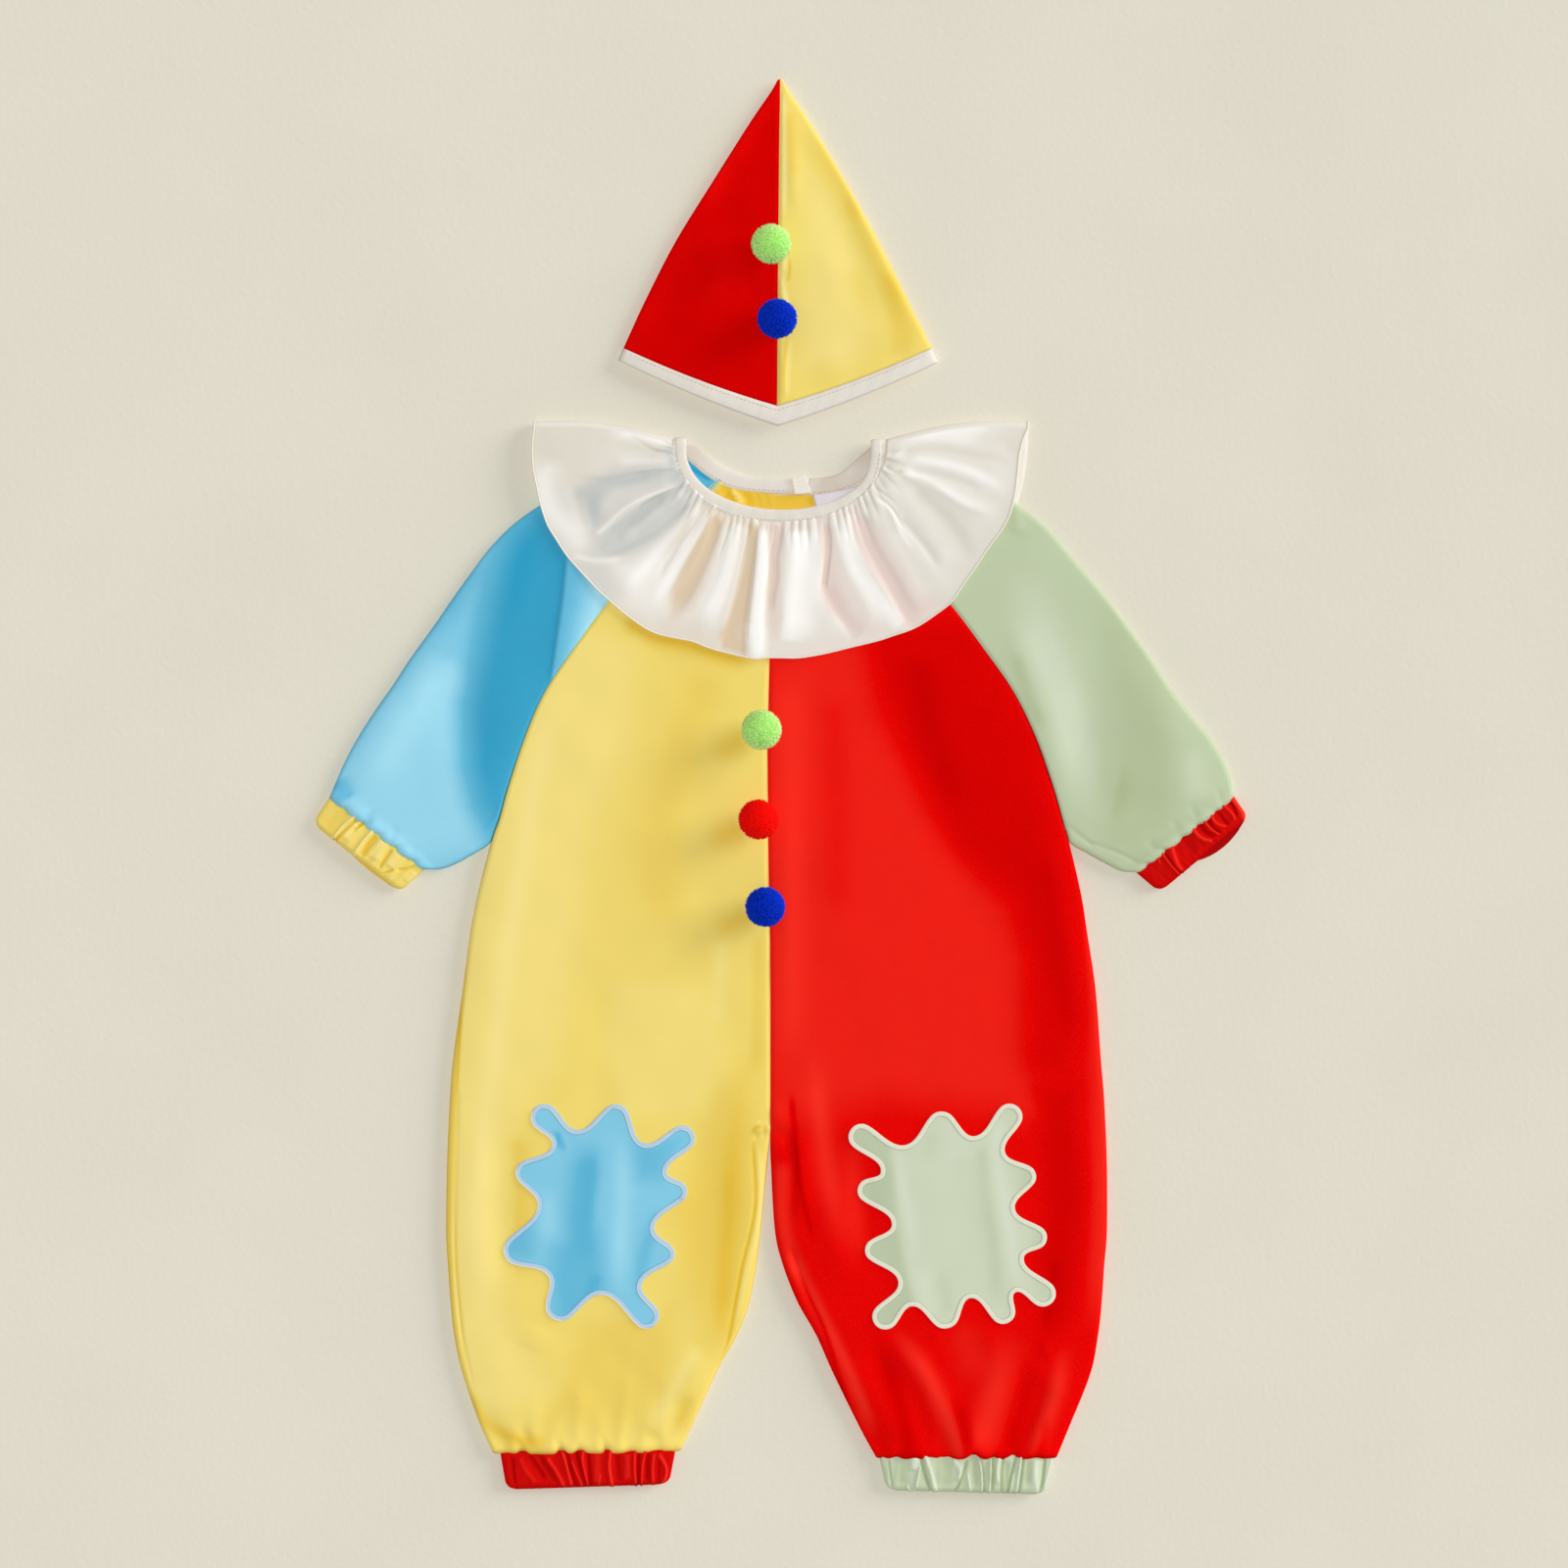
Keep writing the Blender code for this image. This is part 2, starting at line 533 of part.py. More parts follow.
def sleeve(tube, shoulder, rows):
    """A raglan sleeve: a tube below the armhole, and a strip between the front and back seams above it."""
    side = np.sign(shoulder[0].x)
    armhole = np.array(rows)[UNDERARM_ROW:, 0:2]
    tube = np.array(tube)
    fold = np.concatenate([tube[:, 0:2], np.array(shoulder)])
    front_seam = np.concatenate([tube[:, 2:4], armhole])
    back_seam = front_seam.copy()
    back_seam[-1] = back_neck_corner(side)
    seam_turn = np.concatenate([np.ones(len(tube)), np.array(rows)[UNDERARM_ROW:, 4]])
    return folded_piece(fold, front_seam, back_seam, seam_turn, (front_seam[-1, 0], back_seam[-1, 0]))


def bowed(points, bow):
    """A line through three points, each half of it bowed down."""
    places = np.linspace(0, 1, 9)
    halves = [
        np.column_stack(
            [
                start[0] + places * (end[0] - start[0]),
                start[1] + places * (end[1] - start[1]) - 4 * bow * places * (1 - places),
            ]
        )
        for start, end in zip(points, points[1:])
    ]
    return np.concatenate([halves[0], halves[1][1:]])


def hat_half(rows):
    table = np.array(rows)
    fold, seam = table[:, 0:2], table[:, 2:4]
    width = np.linalg.norm(fold - seam, axis=1)
    low = np.clip((width + 1.5) / (TOP + 1.5), 0, 1)
    bow = HAT_BOW * (width / width[0]) ** 3
    return folded_piece(fold, seam, seam, np.zeros(len(rows)), low=low, bow=bow)


def band_ring(line, top, waves, wave_height, front_steps, back_steps):
    """A closed ring round a flattened tube: its front from left to right, then its flat back."""
    line = np.array(line)
    lengths = np.linalg.norm(np.diff(line, axis=0), axis=1)
    stations = np.concatenate([[0], np.cumsum(lengths)])
    total = stations[-1]

    def layer(count):
        run = spread(count) * total if waves == 0 else gathered_run(count, total)
        plan = np.stack([np.interp(run, stations, line[:, 0]), np.interp(run, stations, line[:, 1])], axis=-1)
        return run, plan, turned(np.minimum(run, total - run), EDGE_ROUND)

    run, plan, share = layer(front_steps)
    ripple = wave_height * np.sin(np.pi * waves * run / total) ** 2
    front = np.column_stack([plan, top / 2 + (top / 2 + ripple) * share])
    run, plan, share = layer(back_steps)
    back = np.column_stack([plan, top / 2 - top / 2 * share])
    return np.concatenate([front, back[-2:0:-1]])


def gathered_run(count, total):
    """Places along a gathered band: evenly spaced, with two more in the turn at each end."""
    turn = EDGE_ROUND * np.array([0.0, 0.12, 0.5])
    middle = np.linspace(EDGE_ROUND, total - EDGE_ROUND, count - 2 * len(turn))
    return np.concatenate([turn, middle, total - turn[::-1]])


def add_band(name, colour, seam_line, hem_line, top, waves, front_steps, back_steps, rows):
    """A band round a flattened tube, from just past its seam line to its free edge."""
    seam_line, hem_line = np.array(seam_line), np.array(hem_line)
    seam_line = seam_line + (GAP + SEAM / 2) * unit(hem_line - seam_line)
    rings = []
    for place in np.linspace(0, 1, rows):
        line = seam_line + place * (hem_line - seam_line)
        swell = CUFF_GATHER_HEIGHT * (0.6 + 0.4 * math.cos(math.pi * place)) if waves else 0
        rings.append(band_ring(line, top, waves, swell, front_steps, back_steps))
    axes = [seam_line[-1] - seam_line[0], hem_line[-1] - hem_line[0]]
    cut_axes = [(-axis[1], axis[0]) for axis in axes]
    return add_cloth(name, np.array(rings), colour, around=True, cut_axes=cut_axes)


def neck_loop(columns, reach, front_depth, back_depth, top, rise, opening_x):
    """One loop of a strip round the neck: from the opening behind it, over the left fold, across the front,
    over the right fold and back to the opening. reach(angle, depth) gives its plan offset."""
    centre = np.array([NECK_X, NECK_Y + rise])
    behind, front = columns
    radius = top / 2
    opening = math.acos(np.clip((NECK_X - opening_x) / NECK_HALF_WIDTH, -1, 1))
    parting = GAP / 2 / (NECK_HALF_WIDTH - BINDING_SIDE)
    turn = np.linspace(0, np.pi, TURN_STEPS + 1)[1:-1]
    left_back = np.linspace(opening - parting, 0, behind + 1)
    right_back = np.linspace(np.pi, opening + parting, behind + 1)

    def level(angles, depth, height):
        plan = centre + reach(angles, depth)
        return np.column_stack([plan, np.full(len(angles), height)])

    def fold(angle, steps):
        plan = centre + reach(np.full(len(steps), angle), front_depth)
        up = radius - radius * np.cos(steps)
        return np.column_stack([plan[:, 0], plan[:, 1] + radius * np.sin(steps), up])

    return np.concatenate(
        [
            level(left_back, back_depth, 0.0),
            fold(0.0, turn),
            level(front, front_depth, top),
            fold(np.pi, turn[::-1]),
            level(right_back, back_depth, 0.0),
        ]
    )


def neck_binding():
    """Outer points of the binding, from its free edge to its seam edge."""
    front = np.linspace(0, np.pi, 33)
    loops = []
    for place in (0.0, 0.5, 1.0):
        side = BINDING_SIDE * (1 - place) + SEAM * place

        def reach(angle, depth):
            return np.stack(
                [-(NECK_HALF_WIDTH - side) * np.cos(angle), -(depth - SEAM * place) * np.sin(angle)], axis=-1
            )

        swell = 0.4 * math.sin(math.pi * place)
        front_depth = NECK_FRONT_DEPTH - BINDING_FRONT * (1 - place)
        back_depth = NECK_BACK_DEPTH - BINDING_BACK * (1 - place)
        loop = neck_loop((10, front), reach, front_depth, back_depth, BINDING_TOP, 0.0, TAB_END)
        loop[:, 2] += swell * (loop[:, 2] > BINDING_TOP / 2)
        loops.append(loop)
    return np.array(loops)


def collar_swell(hem_angle, neck_angle, place):
    """Height that the folds and gathers add to the collar's front, at a place from neck (0) to hem (1)."""
    degrees = np.degrees(hem_angle)
    swell = np.zeros(len(degrees))
    for fold in COLLAR_FOLDS:
        near = np.clip(np.abs(degrees - fold.angle) / (fold.half_width * 1.15), 0, 1)
        swell = np.maximum(swell, fold.height * (1 + np.cos(np.pi * near)) / 2)
    gathers = NECK_GATHER_HEIGHT * np.sin(NECK_GATHERS * neck_angle) ** 2
    ends = np.clip(np.minimum(degrees, 180 - degrees) / 4, 0, 1)
    return ends * (swell * place**1.3 + gathers * (1 - place) ** 1.5 + 1.2 * math.sin(math.pi * place))


def collar():
    """Outer points of the ruffle: rows from the neck seam to the hem, columns round the neck."""
    steps = 4 * NECK_GATHERS
    neck_angle = np.linspace(0, np.pi, steps + 1)
    hem_angle = np.radians(np.interp(np.degrees(neck_angle), COLLAR_SPREAD_NECK, COLLAR_SPREAD_HEM))
    behind = 8

    def neck_reach(angle, depth):
        outset = SEAM + GAP / 3
        across, down = NECK_HALF_WIDTH + outset, depth + outset
        return np.stack([-across * np.cos(angle), -down * np.sin(angle)], axis=-1)

    depths = (NECK_FRONT_DEPTH, NECK_BACK_DEPTH)
    neck = neck_loop((behind, neck_angle), neck_reach, *depths, COLLAR_TOP, 0.0, NECK_X)
    depths = (COLLAR_FRONT_DEPTH, COLLAR_BACK_DEPTH)
    hem = neck_loop((behind, hem_angle), collar_reach, *depths, COLLAR_TOP, COLLAR_RISE, NECK_X)
    first = behind + 1 + TURN_STEPS - 1
    rows = []
    for place in (0.0, 0.12, 0.35, 0.68, 1.0):
        row = neck + place * (hem - neck)
        beside = np.clip(1 - (NECK_Y - row[:, 1]) / 30, 0, 1)
        row[:, 1] += COLLAR_BULGE * math.sin(math.pi * place) * beside
        row[first : first + steps + 1, 2] += collar_swell(hem_angle, neck_angle, place)
        rows.append(row)
    return np.array(rows)


class Seats:
    """The front layer's outer surface, so that what lies on it can be made from its points."""

    def __init__(self):
        self.trees = []

    def add(self, grid):
        points, faces = wall_mesh(grid, grid)
        rows, columns = grid.shape[:2]
        count = (rows - 1) * (columns - 1)
        self.trees.append(BVHTree.FromPolygons(points.tolist(), faces[:count]))

    def height(self, x, y):
        hits = [tree.ray_cast((x, y, 100.0), (0.0, 0.0, -1.0))[0] for tree in self.trees]
        return max((hit.z for hit in hits if hit is not None), default=TOP)


def lobed_outline(lobes):
    """Plan points of a wavy edge about its own middle: a smooth curve round each lobe's head and by its hollow."""
    table = np.array(lobes)
    head, radius, hollow = table[:, 0:2], table[:, 2:3], table[:, 3:5]
    leaning = unit(head - (hollow + np.roll(hollow, 1, axis=0)) / 2)
    beside = radius * np.column_stack([-leaning[:, 1], leaning[:, 0]])
    knots = np.stack([head - beside, head + radius * leaning, head + beside, hollow], axis=1).reshape(-1, 2)
    following, before = np.roll(knots, -1, axis=0), np.roll(knots, 1, axis=0)
    reach = np.linalg.norm(following - knots, axis=1, keepdims=True)
    heading = unit(unit(following - knots) + unit(knots - before))
    t = (np.arange(PATCH_STEPS) / PATCH_STEPS)[None, :, None]
    start, end, reach = knots[:, None], following[:, None], reach[:, None]
    leave, arrive = reach * heading[:, None], reach * np.roll(heading, -1, axis=0)[:, None]
    curve = (
        (2 * t**3 - 3 * t**2 + 1) * start
        + (t**3 - 2 * t**2 + t) * leave
        + (3 * t**2 - 2 * t**3) * end
        + (t**3 - t**2) * arrive
    )
    return curve.reshape(-1, 2)


def add_patch(name, colour, centre, lobes, seats):
    """A patch on the cloth: a net of triangles inside its edge, laid on the panel and moved out."""
    outline = lobed_outline(lobes)
    around = len(outline)
    half_lobe = 2 * PATCH_STEPS
    smooth = np.mean([np.roll(outline, shift, axis=0) for shift in range(-half_lobe, half_lobe + 1)], axis=0)
    inside = [share * smooth[::PATCH_STEPS] for share in PATCH_RINGS]
    spots = np.concatenate([outline, *inside, np.zeros((1, 2))]) + np.array(centre)
    net = delaunay_2d_cdt([Vector(spot) for spot in spots], [], [list(range(around))], 1, 1e-5)
    plan, triangles = np.array(net[0]), net[2]
    rest = np.array([seats.height(x, y) for x, y in plan]) + GAP
    under = np.column_stack([plan, rest])
    over = under + [0, 0, PATCH_WALL]
    count = len(plan)
    faces = [list(corners) for corners in triangles]
    faces += [[count + corner for corner in corners[::-1]] for corners in triangles]
    for i in range(around):
        following = (i + 1) % around
        faces.append([i, count + i, count + following, following])
    add_solid(name, np.concatenate([under, over]), faces, colour)


def add_pompom(name, pompom, seats):
    """A ball of blunt locks that stand apart but for their roots, which meet in the ball's core."""
    near = [seats.height(pompom.x + dx, pompom.y + dy) for dx in (-4, 0, 4) for dy in (-4, 0, 4)]
    centre = np.array([pompom.x, pompom.y, max(near) + GAP + POMPOM_RADIUS])
    core = POMPOM_CORE * POMPOM_RADIUS
    points = [centre + [0, 0, core], centre - [0, 0, core]]
    for level in range(1, POMPOM_UP):
        polar = math.pi * level / POMPOM_UP
        for step in range(POMPOM_AROUND):
            turn = 2 * math.pi * (step + 0.5 * (level % 2)) / POMPOM_AROUND
            spot = [math.sin(polar) * math.cos(turn), math.sin(polar) * math.sin(turn), math.cos(polar)]
            points.append(centre + core * np.array(spot))
    points = np.array(points)
    cells = []
    for step in range(POMPOM_AROUND):
        for level in range(POMPOM_UP):
            # Odd rings are turned by half a step, so each cell leans with them
            def at(ring, offset):
                shift = step + offset
                return 2 + (ring - 1) * POMPOM_AROUND + shift % POMPOM_AROUND

            slip = 1 if (level + 1) % 2 == 0 else 0
            if level == 0:
                cells.append([0, at(1, 0), at(1, 1)])
            elif level == POMPOM_UP - 1:
                cells.append([1, at(level, 1), at(level, 0)])
            else:
                cells.append([at(level, 0), at(level + 1, slip), at(level + 1, slip + 1), at(level, 1)])
    faces = []
    made = [points]
    total = len(points)
    for cell in cells:
        root = points[cell]
        middle = root.mean(axis=0)
        out = unit(middle - centre)
        tip = middle + LOCK_TAPER * (root - middle)
        tip = tip + out * (POMPOM_RADIUS - np.linalg.norm(tip - centre, axis=1).max())
        made.append(tip)
        crown = [total + i for i in range(len(cell))]
        total += len(cell)
        faces.append(crown)
        for i in range(len(cell)):
            following = (i + 1) % len(cell)
            faces.append([cell[i], cell[following], crown[following], crown[i]])
    add_solid(name, np.concatenate(made), faces, pompom.colour)


def neck_facing():
    """Outer points of the pale cloth that lies inside the back neck, to the right of its opening."""
    columns = np.linspace(0, 1, 8)
    upper = neck_row(BACK_OPENING_X + 1.5, FACING_END_X, columns, NECK_BACK_DEPTH + GAP)
    lower = upper - np.column_stack([np.zeros(8), np.linspace(*FACING_DEPTHS, 8)])
    plan = np.stack([lower, (lower + upper) / 2, upper])
    height = floor_under(plan) + CLOTH + GAP
    return np.dstack([plan, height])


def main():
    clear_scene()
    seats = Seats()
    for name, rows, colour in (("yellow", YELLOW_ROWS, YELLOW), ("red", RED_ROWS, RED)):
        hem = rows[0]
        hem_axis = (hem.side_y - hem.middle_y, hem.middle_x - hem.side_x)
        front = body_front(rows)
        seats.add(front)
        add_cloth(f"front_{name}", front, colour, cut_axes=(hem_axis, None))
        add_cloth(f"back_{name}", body_back(rows), colour, cut_axes=(hem_axis, None))
    for name, tube, shoulder, rows, colour in (
        ("sleeve_blue", BLUE_TUBE, BLUE_SHOULDER, YELLOW_ROWS, BLUE),
        ("sleeve_green", GREEN_TUBE, GREEN_SHOULDER, RED_ROWS, SAGE),
    ):
        end = tube[0]
        end_axis = (end.seam_y - end.fold_y, end.fold_x - end.seam_x)
        add_cloth(name, sleeve(tube, shoulder, rows), colour, cut_axes=(end_axis, None))
    for name, (colour, waves, seam_line, hem_line) in CUFFS.items():
        add_band(name, colour, seam_line, hem_line, CUFF_TOP, waves, 4 * waves + 6, 9, 3)
    add_cloth("neck_binding", neck_binding(), CREAM, wall=BINDING_WALL)
    add_cloth("neck_facing", neck_facing(), CREAM, wall=PATCH_WALL)
    add_cloth("collar_ruffle", collar(), CREAM)
    for name, rows, colour in (("hat_red", HAT_LEFT, RED), ("hat_yellow", HAT_RIGHT, YELLOW)):
        half = hat_half(rows)
        seats.add(half[:, :FOLDED_FRONT_COLUMNS])
        across = np.array(rows[0][:2]) - np.array(rows[0][2:4])
        walls = [row.wall for row in rows]
        add_cloth(name, half, colour, wall=walls, cut_axes=((-across[1], across[0]), None))
    left, right = HAT_LEFT[0], HAT_RIGHT[0]
    seam_line = [(left.fold_x, left.fold_y), (left.seam_x, left.seam_y), (right.fold_x, right.fold_y)]
    seam_line, hem_line = bowed(seam_line, HAT_BOW), bowed(HAT_BAND_HEM, HAT_BOW)
    add_band("hat_band", CREAM, seam_line, hem_line, TOP + 0.5, 0, 25, 25, 2)
    add_patch("patch_blue", BLUE, BLUE_PATCH_CENTRE, BLUE_PATCH, seats)
    add_patch("patch_green", SAGE, GREEN_PATCH_CENTRE, GREEN_PATCH, seats)
    for name, pompom in POMPOMS.items():
        add_pompom(name, pompom, seats)


main()
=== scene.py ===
"""Looks of a baby's clown costume laid flat: a romper with a ruffled collar, and its pointed hat.

Sizes are in millimetres, and a mesh is scaled to metres when it is made. +X points to the viewer's right, +Y
from the legs to the hat, and +Z up from the floor. Each piece of cloth is a thin shell on the form of its
solid: a grid of outer points, rows by columns, on which soft folds are laid.
"""

import logging
import math
from dataclasses import dataclass
from enum import Enum
from typing import NamedTuple, Optional, Sequence, Union

import bpy
import numpy as np
from mathutils.geometry import delaunay_2d_cdt
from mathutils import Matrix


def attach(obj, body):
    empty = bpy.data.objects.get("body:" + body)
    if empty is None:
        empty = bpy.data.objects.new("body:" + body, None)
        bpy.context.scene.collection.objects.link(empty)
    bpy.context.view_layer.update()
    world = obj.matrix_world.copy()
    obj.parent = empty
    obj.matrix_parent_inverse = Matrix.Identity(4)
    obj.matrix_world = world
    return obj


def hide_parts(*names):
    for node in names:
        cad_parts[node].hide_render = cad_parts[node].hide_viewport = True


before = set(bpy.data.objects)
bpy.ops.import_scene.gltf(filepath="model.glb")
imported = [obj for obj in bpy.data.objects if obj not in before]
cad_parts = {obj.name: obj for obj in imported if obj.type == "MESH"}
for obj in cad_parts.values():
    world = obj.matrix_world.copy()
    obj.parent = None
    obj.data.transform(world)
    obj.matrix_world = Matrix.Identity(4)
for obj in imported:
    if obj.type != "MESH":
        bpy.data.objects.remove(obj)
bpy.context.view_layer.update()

MM = 0.001
Array = np.ndarray
Colour = tuple[float, float, float]
Pair = tuple[float, float]
log = logging.getLogger("clown_costume")

# ---- Shading ----


class Num:
    """A number socket of a material's graph. An expression on it adds the Math nodes that work it out."""

    def __init__(self, graph: "Graph", socket: bpy.types.NodeSocket) -> None:
        """Wraps a socket of a graph."""
        self.graph = graph
        self.socket = socket

    def math(self, operation: str, *values: "Value") -> "Num":
        """Adds one Math node.

        Args:
            operation: The Math node's operation.
            values: Its inputs, in order.

        Returns:
            Its result.
        """
        node = self.graph.node("ShaderNodeMath", {"operation": operation}, dict(enumerate(values)))
        return Num(self.graph, node.outputs[0])

    def __add__(self, other: "Value") -> "Num":
        """The sum."""
        return self.math("ADD", self, other)

    def __sub__(self, other: "Value") -> "Num":
        """The difference."""
        return self.math("SUBTRACT", self, other)

    def __rsub__(self, other: "Value") -> "Num":
        """The difference from another value."""
        return self.math("SUBTRACT", other, self)

    def __mul__(self, other: "Value") -> "Num":
        """The product."""
        return self.math("MULTIPLY", self, other)

    def __truediv__(self, other: "Value") -> "Num":
        """The quotient."""
        return self.math("DIVIDE", self, other)

    def wave(self, pitch: float) -> "Num":
        """A sine wave from -1 to 1 that repeats every pitch metres."""
        return self.math("SINE", self * (2 * math.pi / pitch))

    def kept(self) -> "Num":
        """The number held between 0 and 1."""
        return self.math("MINIMUM", self.math("MAXIMUM", self, 0.0), 1.0)


Value = Union[Num, bpy.types.NodeSocket, float, tuple]


class Graph:
    """The node graph of one new material."""

    def __init__(self, name: str) -> None:
        """Starts an empty graph for the material of that name."""
        self.material = bpy.data.materials.new(name)
        self.material.use_nodes = True
        self.material.node_tree.nodes.clear()

    def node(
        self, kind: str, settings: Optional[dict] = None, inputs: Optional[dict] = None
    ) -> bpy.types.Node:
        """Adds one node of any kind.

        Args:
            kind: The node's type.
            settings: Its settings, set before its sockets.
            inputs: For each socket, by name or number, a value or what is linked to it.

        Returns:
            The new node.
        """
        tree = self.material.node_tree
        made = tree.nodes.new(kind)
        for name, value in (settings or {}).items():
            setattr(made, name, value)
        for name, value in (inputs or {}).items():
            socket = made.inputs[name]
            if isinstance(value, Num):
                value = value.socket
            if isinstance(value, bpy.types.NodeSocket):
                tree.links.new(value, socket)
            elif isinstance(value, tuple) and socket.type == "RGBA":
                socket.default_value = (*value, 1.0)
            else:
                socket.default_value = value
        return made

    def mark(self, name: str) -> Num:
        """A number that each point of the mesh carries."""
        return Num(self, self.node("ShaderNodeAttribute", {"attribute_name": name}).outputs["Fac"])

    def cloth_place(self) -> tuple[bpy.types.NodeSocket, Num, Num]:
        """The cloth's own coordinates in metres: as a vector, across it, and along it."""
        vector = self.node("ShaderNodeUVMap", {"uv_map": "Cloth"}).outputs["UV"]
        parts = self.node("ShaderNodeSeparateXYZ", inputs={"Vector": vector})
        return vector, Num(self, parts.outputs["X"]), Num(self, parts.outputs["Y"])

    def object_place(self) -> bpy.types.NodeSocket:
        """The object's coordinates in metres."""
        return self.node("ShaderNodeTexCoord").outputs["Object"]

    def noise(self, vector: bpy.types.NodeSocket, size: float, detail: float = 2.0) -> Num:
        """Soft noise from 0 to 1 about as coarse as size, in metres."""
        inputs = {"Vector": vector, "Scale": 1 / size, "Detail": detail}
        return Num(self, self.node("ShaderNodeTexNoise", inputs=inputs).outputs["Fac"])

    def blend(self, share: Value, first: Value, second: Value) -> bpy.types.NodeSocket:
        """A colour that goes from the first to the second as share goes from 0 to 1."""
        node = self.node("ShaderNodeMix", {"data_type": "RGBA"}, {0: share, 6: first, 7: second})
        return node.outputs[2]

    def bump(self, height: Num, depth: float, strength: float) -> bpy.types.NodeSocket:
        """A normal bent by a height from 0 to 1 that stands for depth metres."""
        inputs = {"Height": height, "Distance": depth, "Strength": strength}
        return self.node("ShaderNodeBump", inputs=inputs).outputs["Normal"]

    def finished(self, **inputs: Value) -> bpy.types.Material:
        """Closes the graph with a Principled shader.

        Args:
            inputs: The shader's sockets, with _ for each space in a name.

        Returns:
            The material.
        """
        named = {name.replace("_", " "): value for name, value in inputs.items()}
        shader = self.node("ShaderNodeBsdfPrincipled", inputs=named)
        self.node("ShaderNodeOutputMaterial", inputs={"Surface": shader.outputs[0]})
        return self.material


@dataclass(frozen=True)
class Finish:
    """What a piece is made of."""

    name: str

    def material(self) -> bpy.types.Material:
        """The finish's material, drawn when it is first asked for."""
        return bpy.data.materials.get(self.name) or self.drawn(Graph(self.name))


@dataclass(frozen=True)
class ClothFinish(Finish):
    """A smooth woven cloth, whose colour deepens with painted shade and pales with painted light.

    The tone mark goes from -1, painted light, to 1, painted shade. The weave is one fine diagonal wave
    crossed by another, thread mm apart. A thin cloth's painted shade deepens to the under mark instead, the
    colour that what lies beneath lends it, and veil is how much of that painted show-through shows where it
    is flat.
    """

    colour: Colour
    # deep is the colour of painted shade; pale is that of painted light, and also of the grain's specks and
    # the sheen's tint
    deep: Colour
    pale: Colour
    roughness: float = 0.62
    sheen: float = 0.06
    gloss: float = 0.2
    speckle: float = 0.0
    slub: float = 0.05
    veil: float = 0.0
    thread: float = 0.42

    def drawn(self, graph: Graph) -> bpy.types.Material:
        """Draws the cloth's material in a graph."""
        vector, across, along = graph.cloth_place()
        # The tone mark: painted shade above 0 and painted light below 0, to which the slubs add random tone
        tone = graph.mark("tone")
        slubs = (graph.noise(vector, 9 * MM) - 0.5) * 2 * self.slub
        deep = self.deep
        share = (tone + slubs).kept()
        # Painted show-through: the under mark tints the whole cloth by veil and is the colour that its
        # painted shade deepens to
        if self.veil:
            deep = graph.node("ShaderNodeAttribute", {"attribute_name": "under"}).outputs["Color"]
            share = share * (1 - self.veil) + self.veil
        # Painted shade towards the deep colour, then painted light towards the pale one
        colour = graph.blend(share, self.colour, deep)
        colour = graph.blend((0 - tone - slubs).kept(), colour, self.pale)
        grains = graph.noise(vector, 0.9 * MM, 3.0)
        if self.speckle:
            speck = ((grains - 0.52) * 5).kept() * (1 - tone.kept()) * self.speckle
            colour = graph.blend(speck, colour, self.pale)
        pitch = self.thread * MM
        weave = (across + along).wave(pitch) * 0.3 + (across - along * 0.4).wave(pitch * 0.7) * 0.2
        return graph.finished(
            Base_Color=colour,
            Roughness=self.roughness,
            Sheen_Weight=self.sheen,
            Sheen_Roughness=0.45,
            Sheen_Tint=tuple(min(1.0, 0.4 + 0.6 * c) for c in self.pale),
            Specular_IOR_Level=self.gloss,
            Normal=graph.bump(weave + grains * 0.5 + 0.25, 0.06 * MM, 0.5),
        )


@dataclass(frozen=True)
class ThreadFinish(Finish):
    """Sewing thread: a dull sheen and a fine twist across its length."""

    colour: Colour

    def drawn(self, graph: Graph) -> bpy.types.Material:
        """Draws the thread's material in a graph."""
        fibres = graph.noise(graph.object_place(), 0.25 * MM)
        shaded = tuple(0.6 * c for c in self.colour)
        return graph.finished(
            Base_Color=graph.blend((fibres - 0.35).kept(), self.colour, shaded),
            Roughness=0.55,
            Sheen_Weight=0.2,
            Normal=graph.bump(fibres, 0.05 * MM, 0.6),
        )


@dataclass(frozen=True)
class SatinStitchFinish(Finish):
    """The rim of a patch: shiny threads laid side by side across it, pale where the roll faces the light.

    Its cloth coordinates run from 0 to 1 mm across it, and along it. The lit mark goes from -1 to 1. colour
    is the painted highlight where it is high, inside the threads' own colour, and edge the dark of a line
    along one edge and of the painted shade where it is low.
    """

    colour: Colour
    inside: Colour
    edge: Colour
    thread: float = 0.55

    def drawn(self, graph: Graph) -> bpy.types.Material:
        """Draws the rim's material in a graph."""
        _, across, along = graph.cloth_place()
        threads = (along + across * 0.15).wave(self.thread * MM) * 0.5 + 0.5
        lit = graph.mark("lit")
        verge = ((0.17 - across / MM) * 9).kept()
        # Painted highlight, colour, where the lit mark is high, over the threads' own colour, inside
        colour = graph.blend(((lit - 0.25) * 3.0).kept(), self.inside, self.colour)
        # Darkened towards edge: a line along one edge, the gaps between threads, and painted shade where the
        # lit mark is low
        dark = (verge + (1 - threads) * 0.12 + (0 - lit - 0.4).kept() * 0.5).kept()
        return graph.finished(
            Base_Color=graph.blend(dark, colour, self.edge),
            Roughness=0.45,
            Sheen_Weight=0.1,
            Specular_IOR_Level=0.25,
            Normal=graph.bump(threads, 0.12 * MM, 0.7),
        )


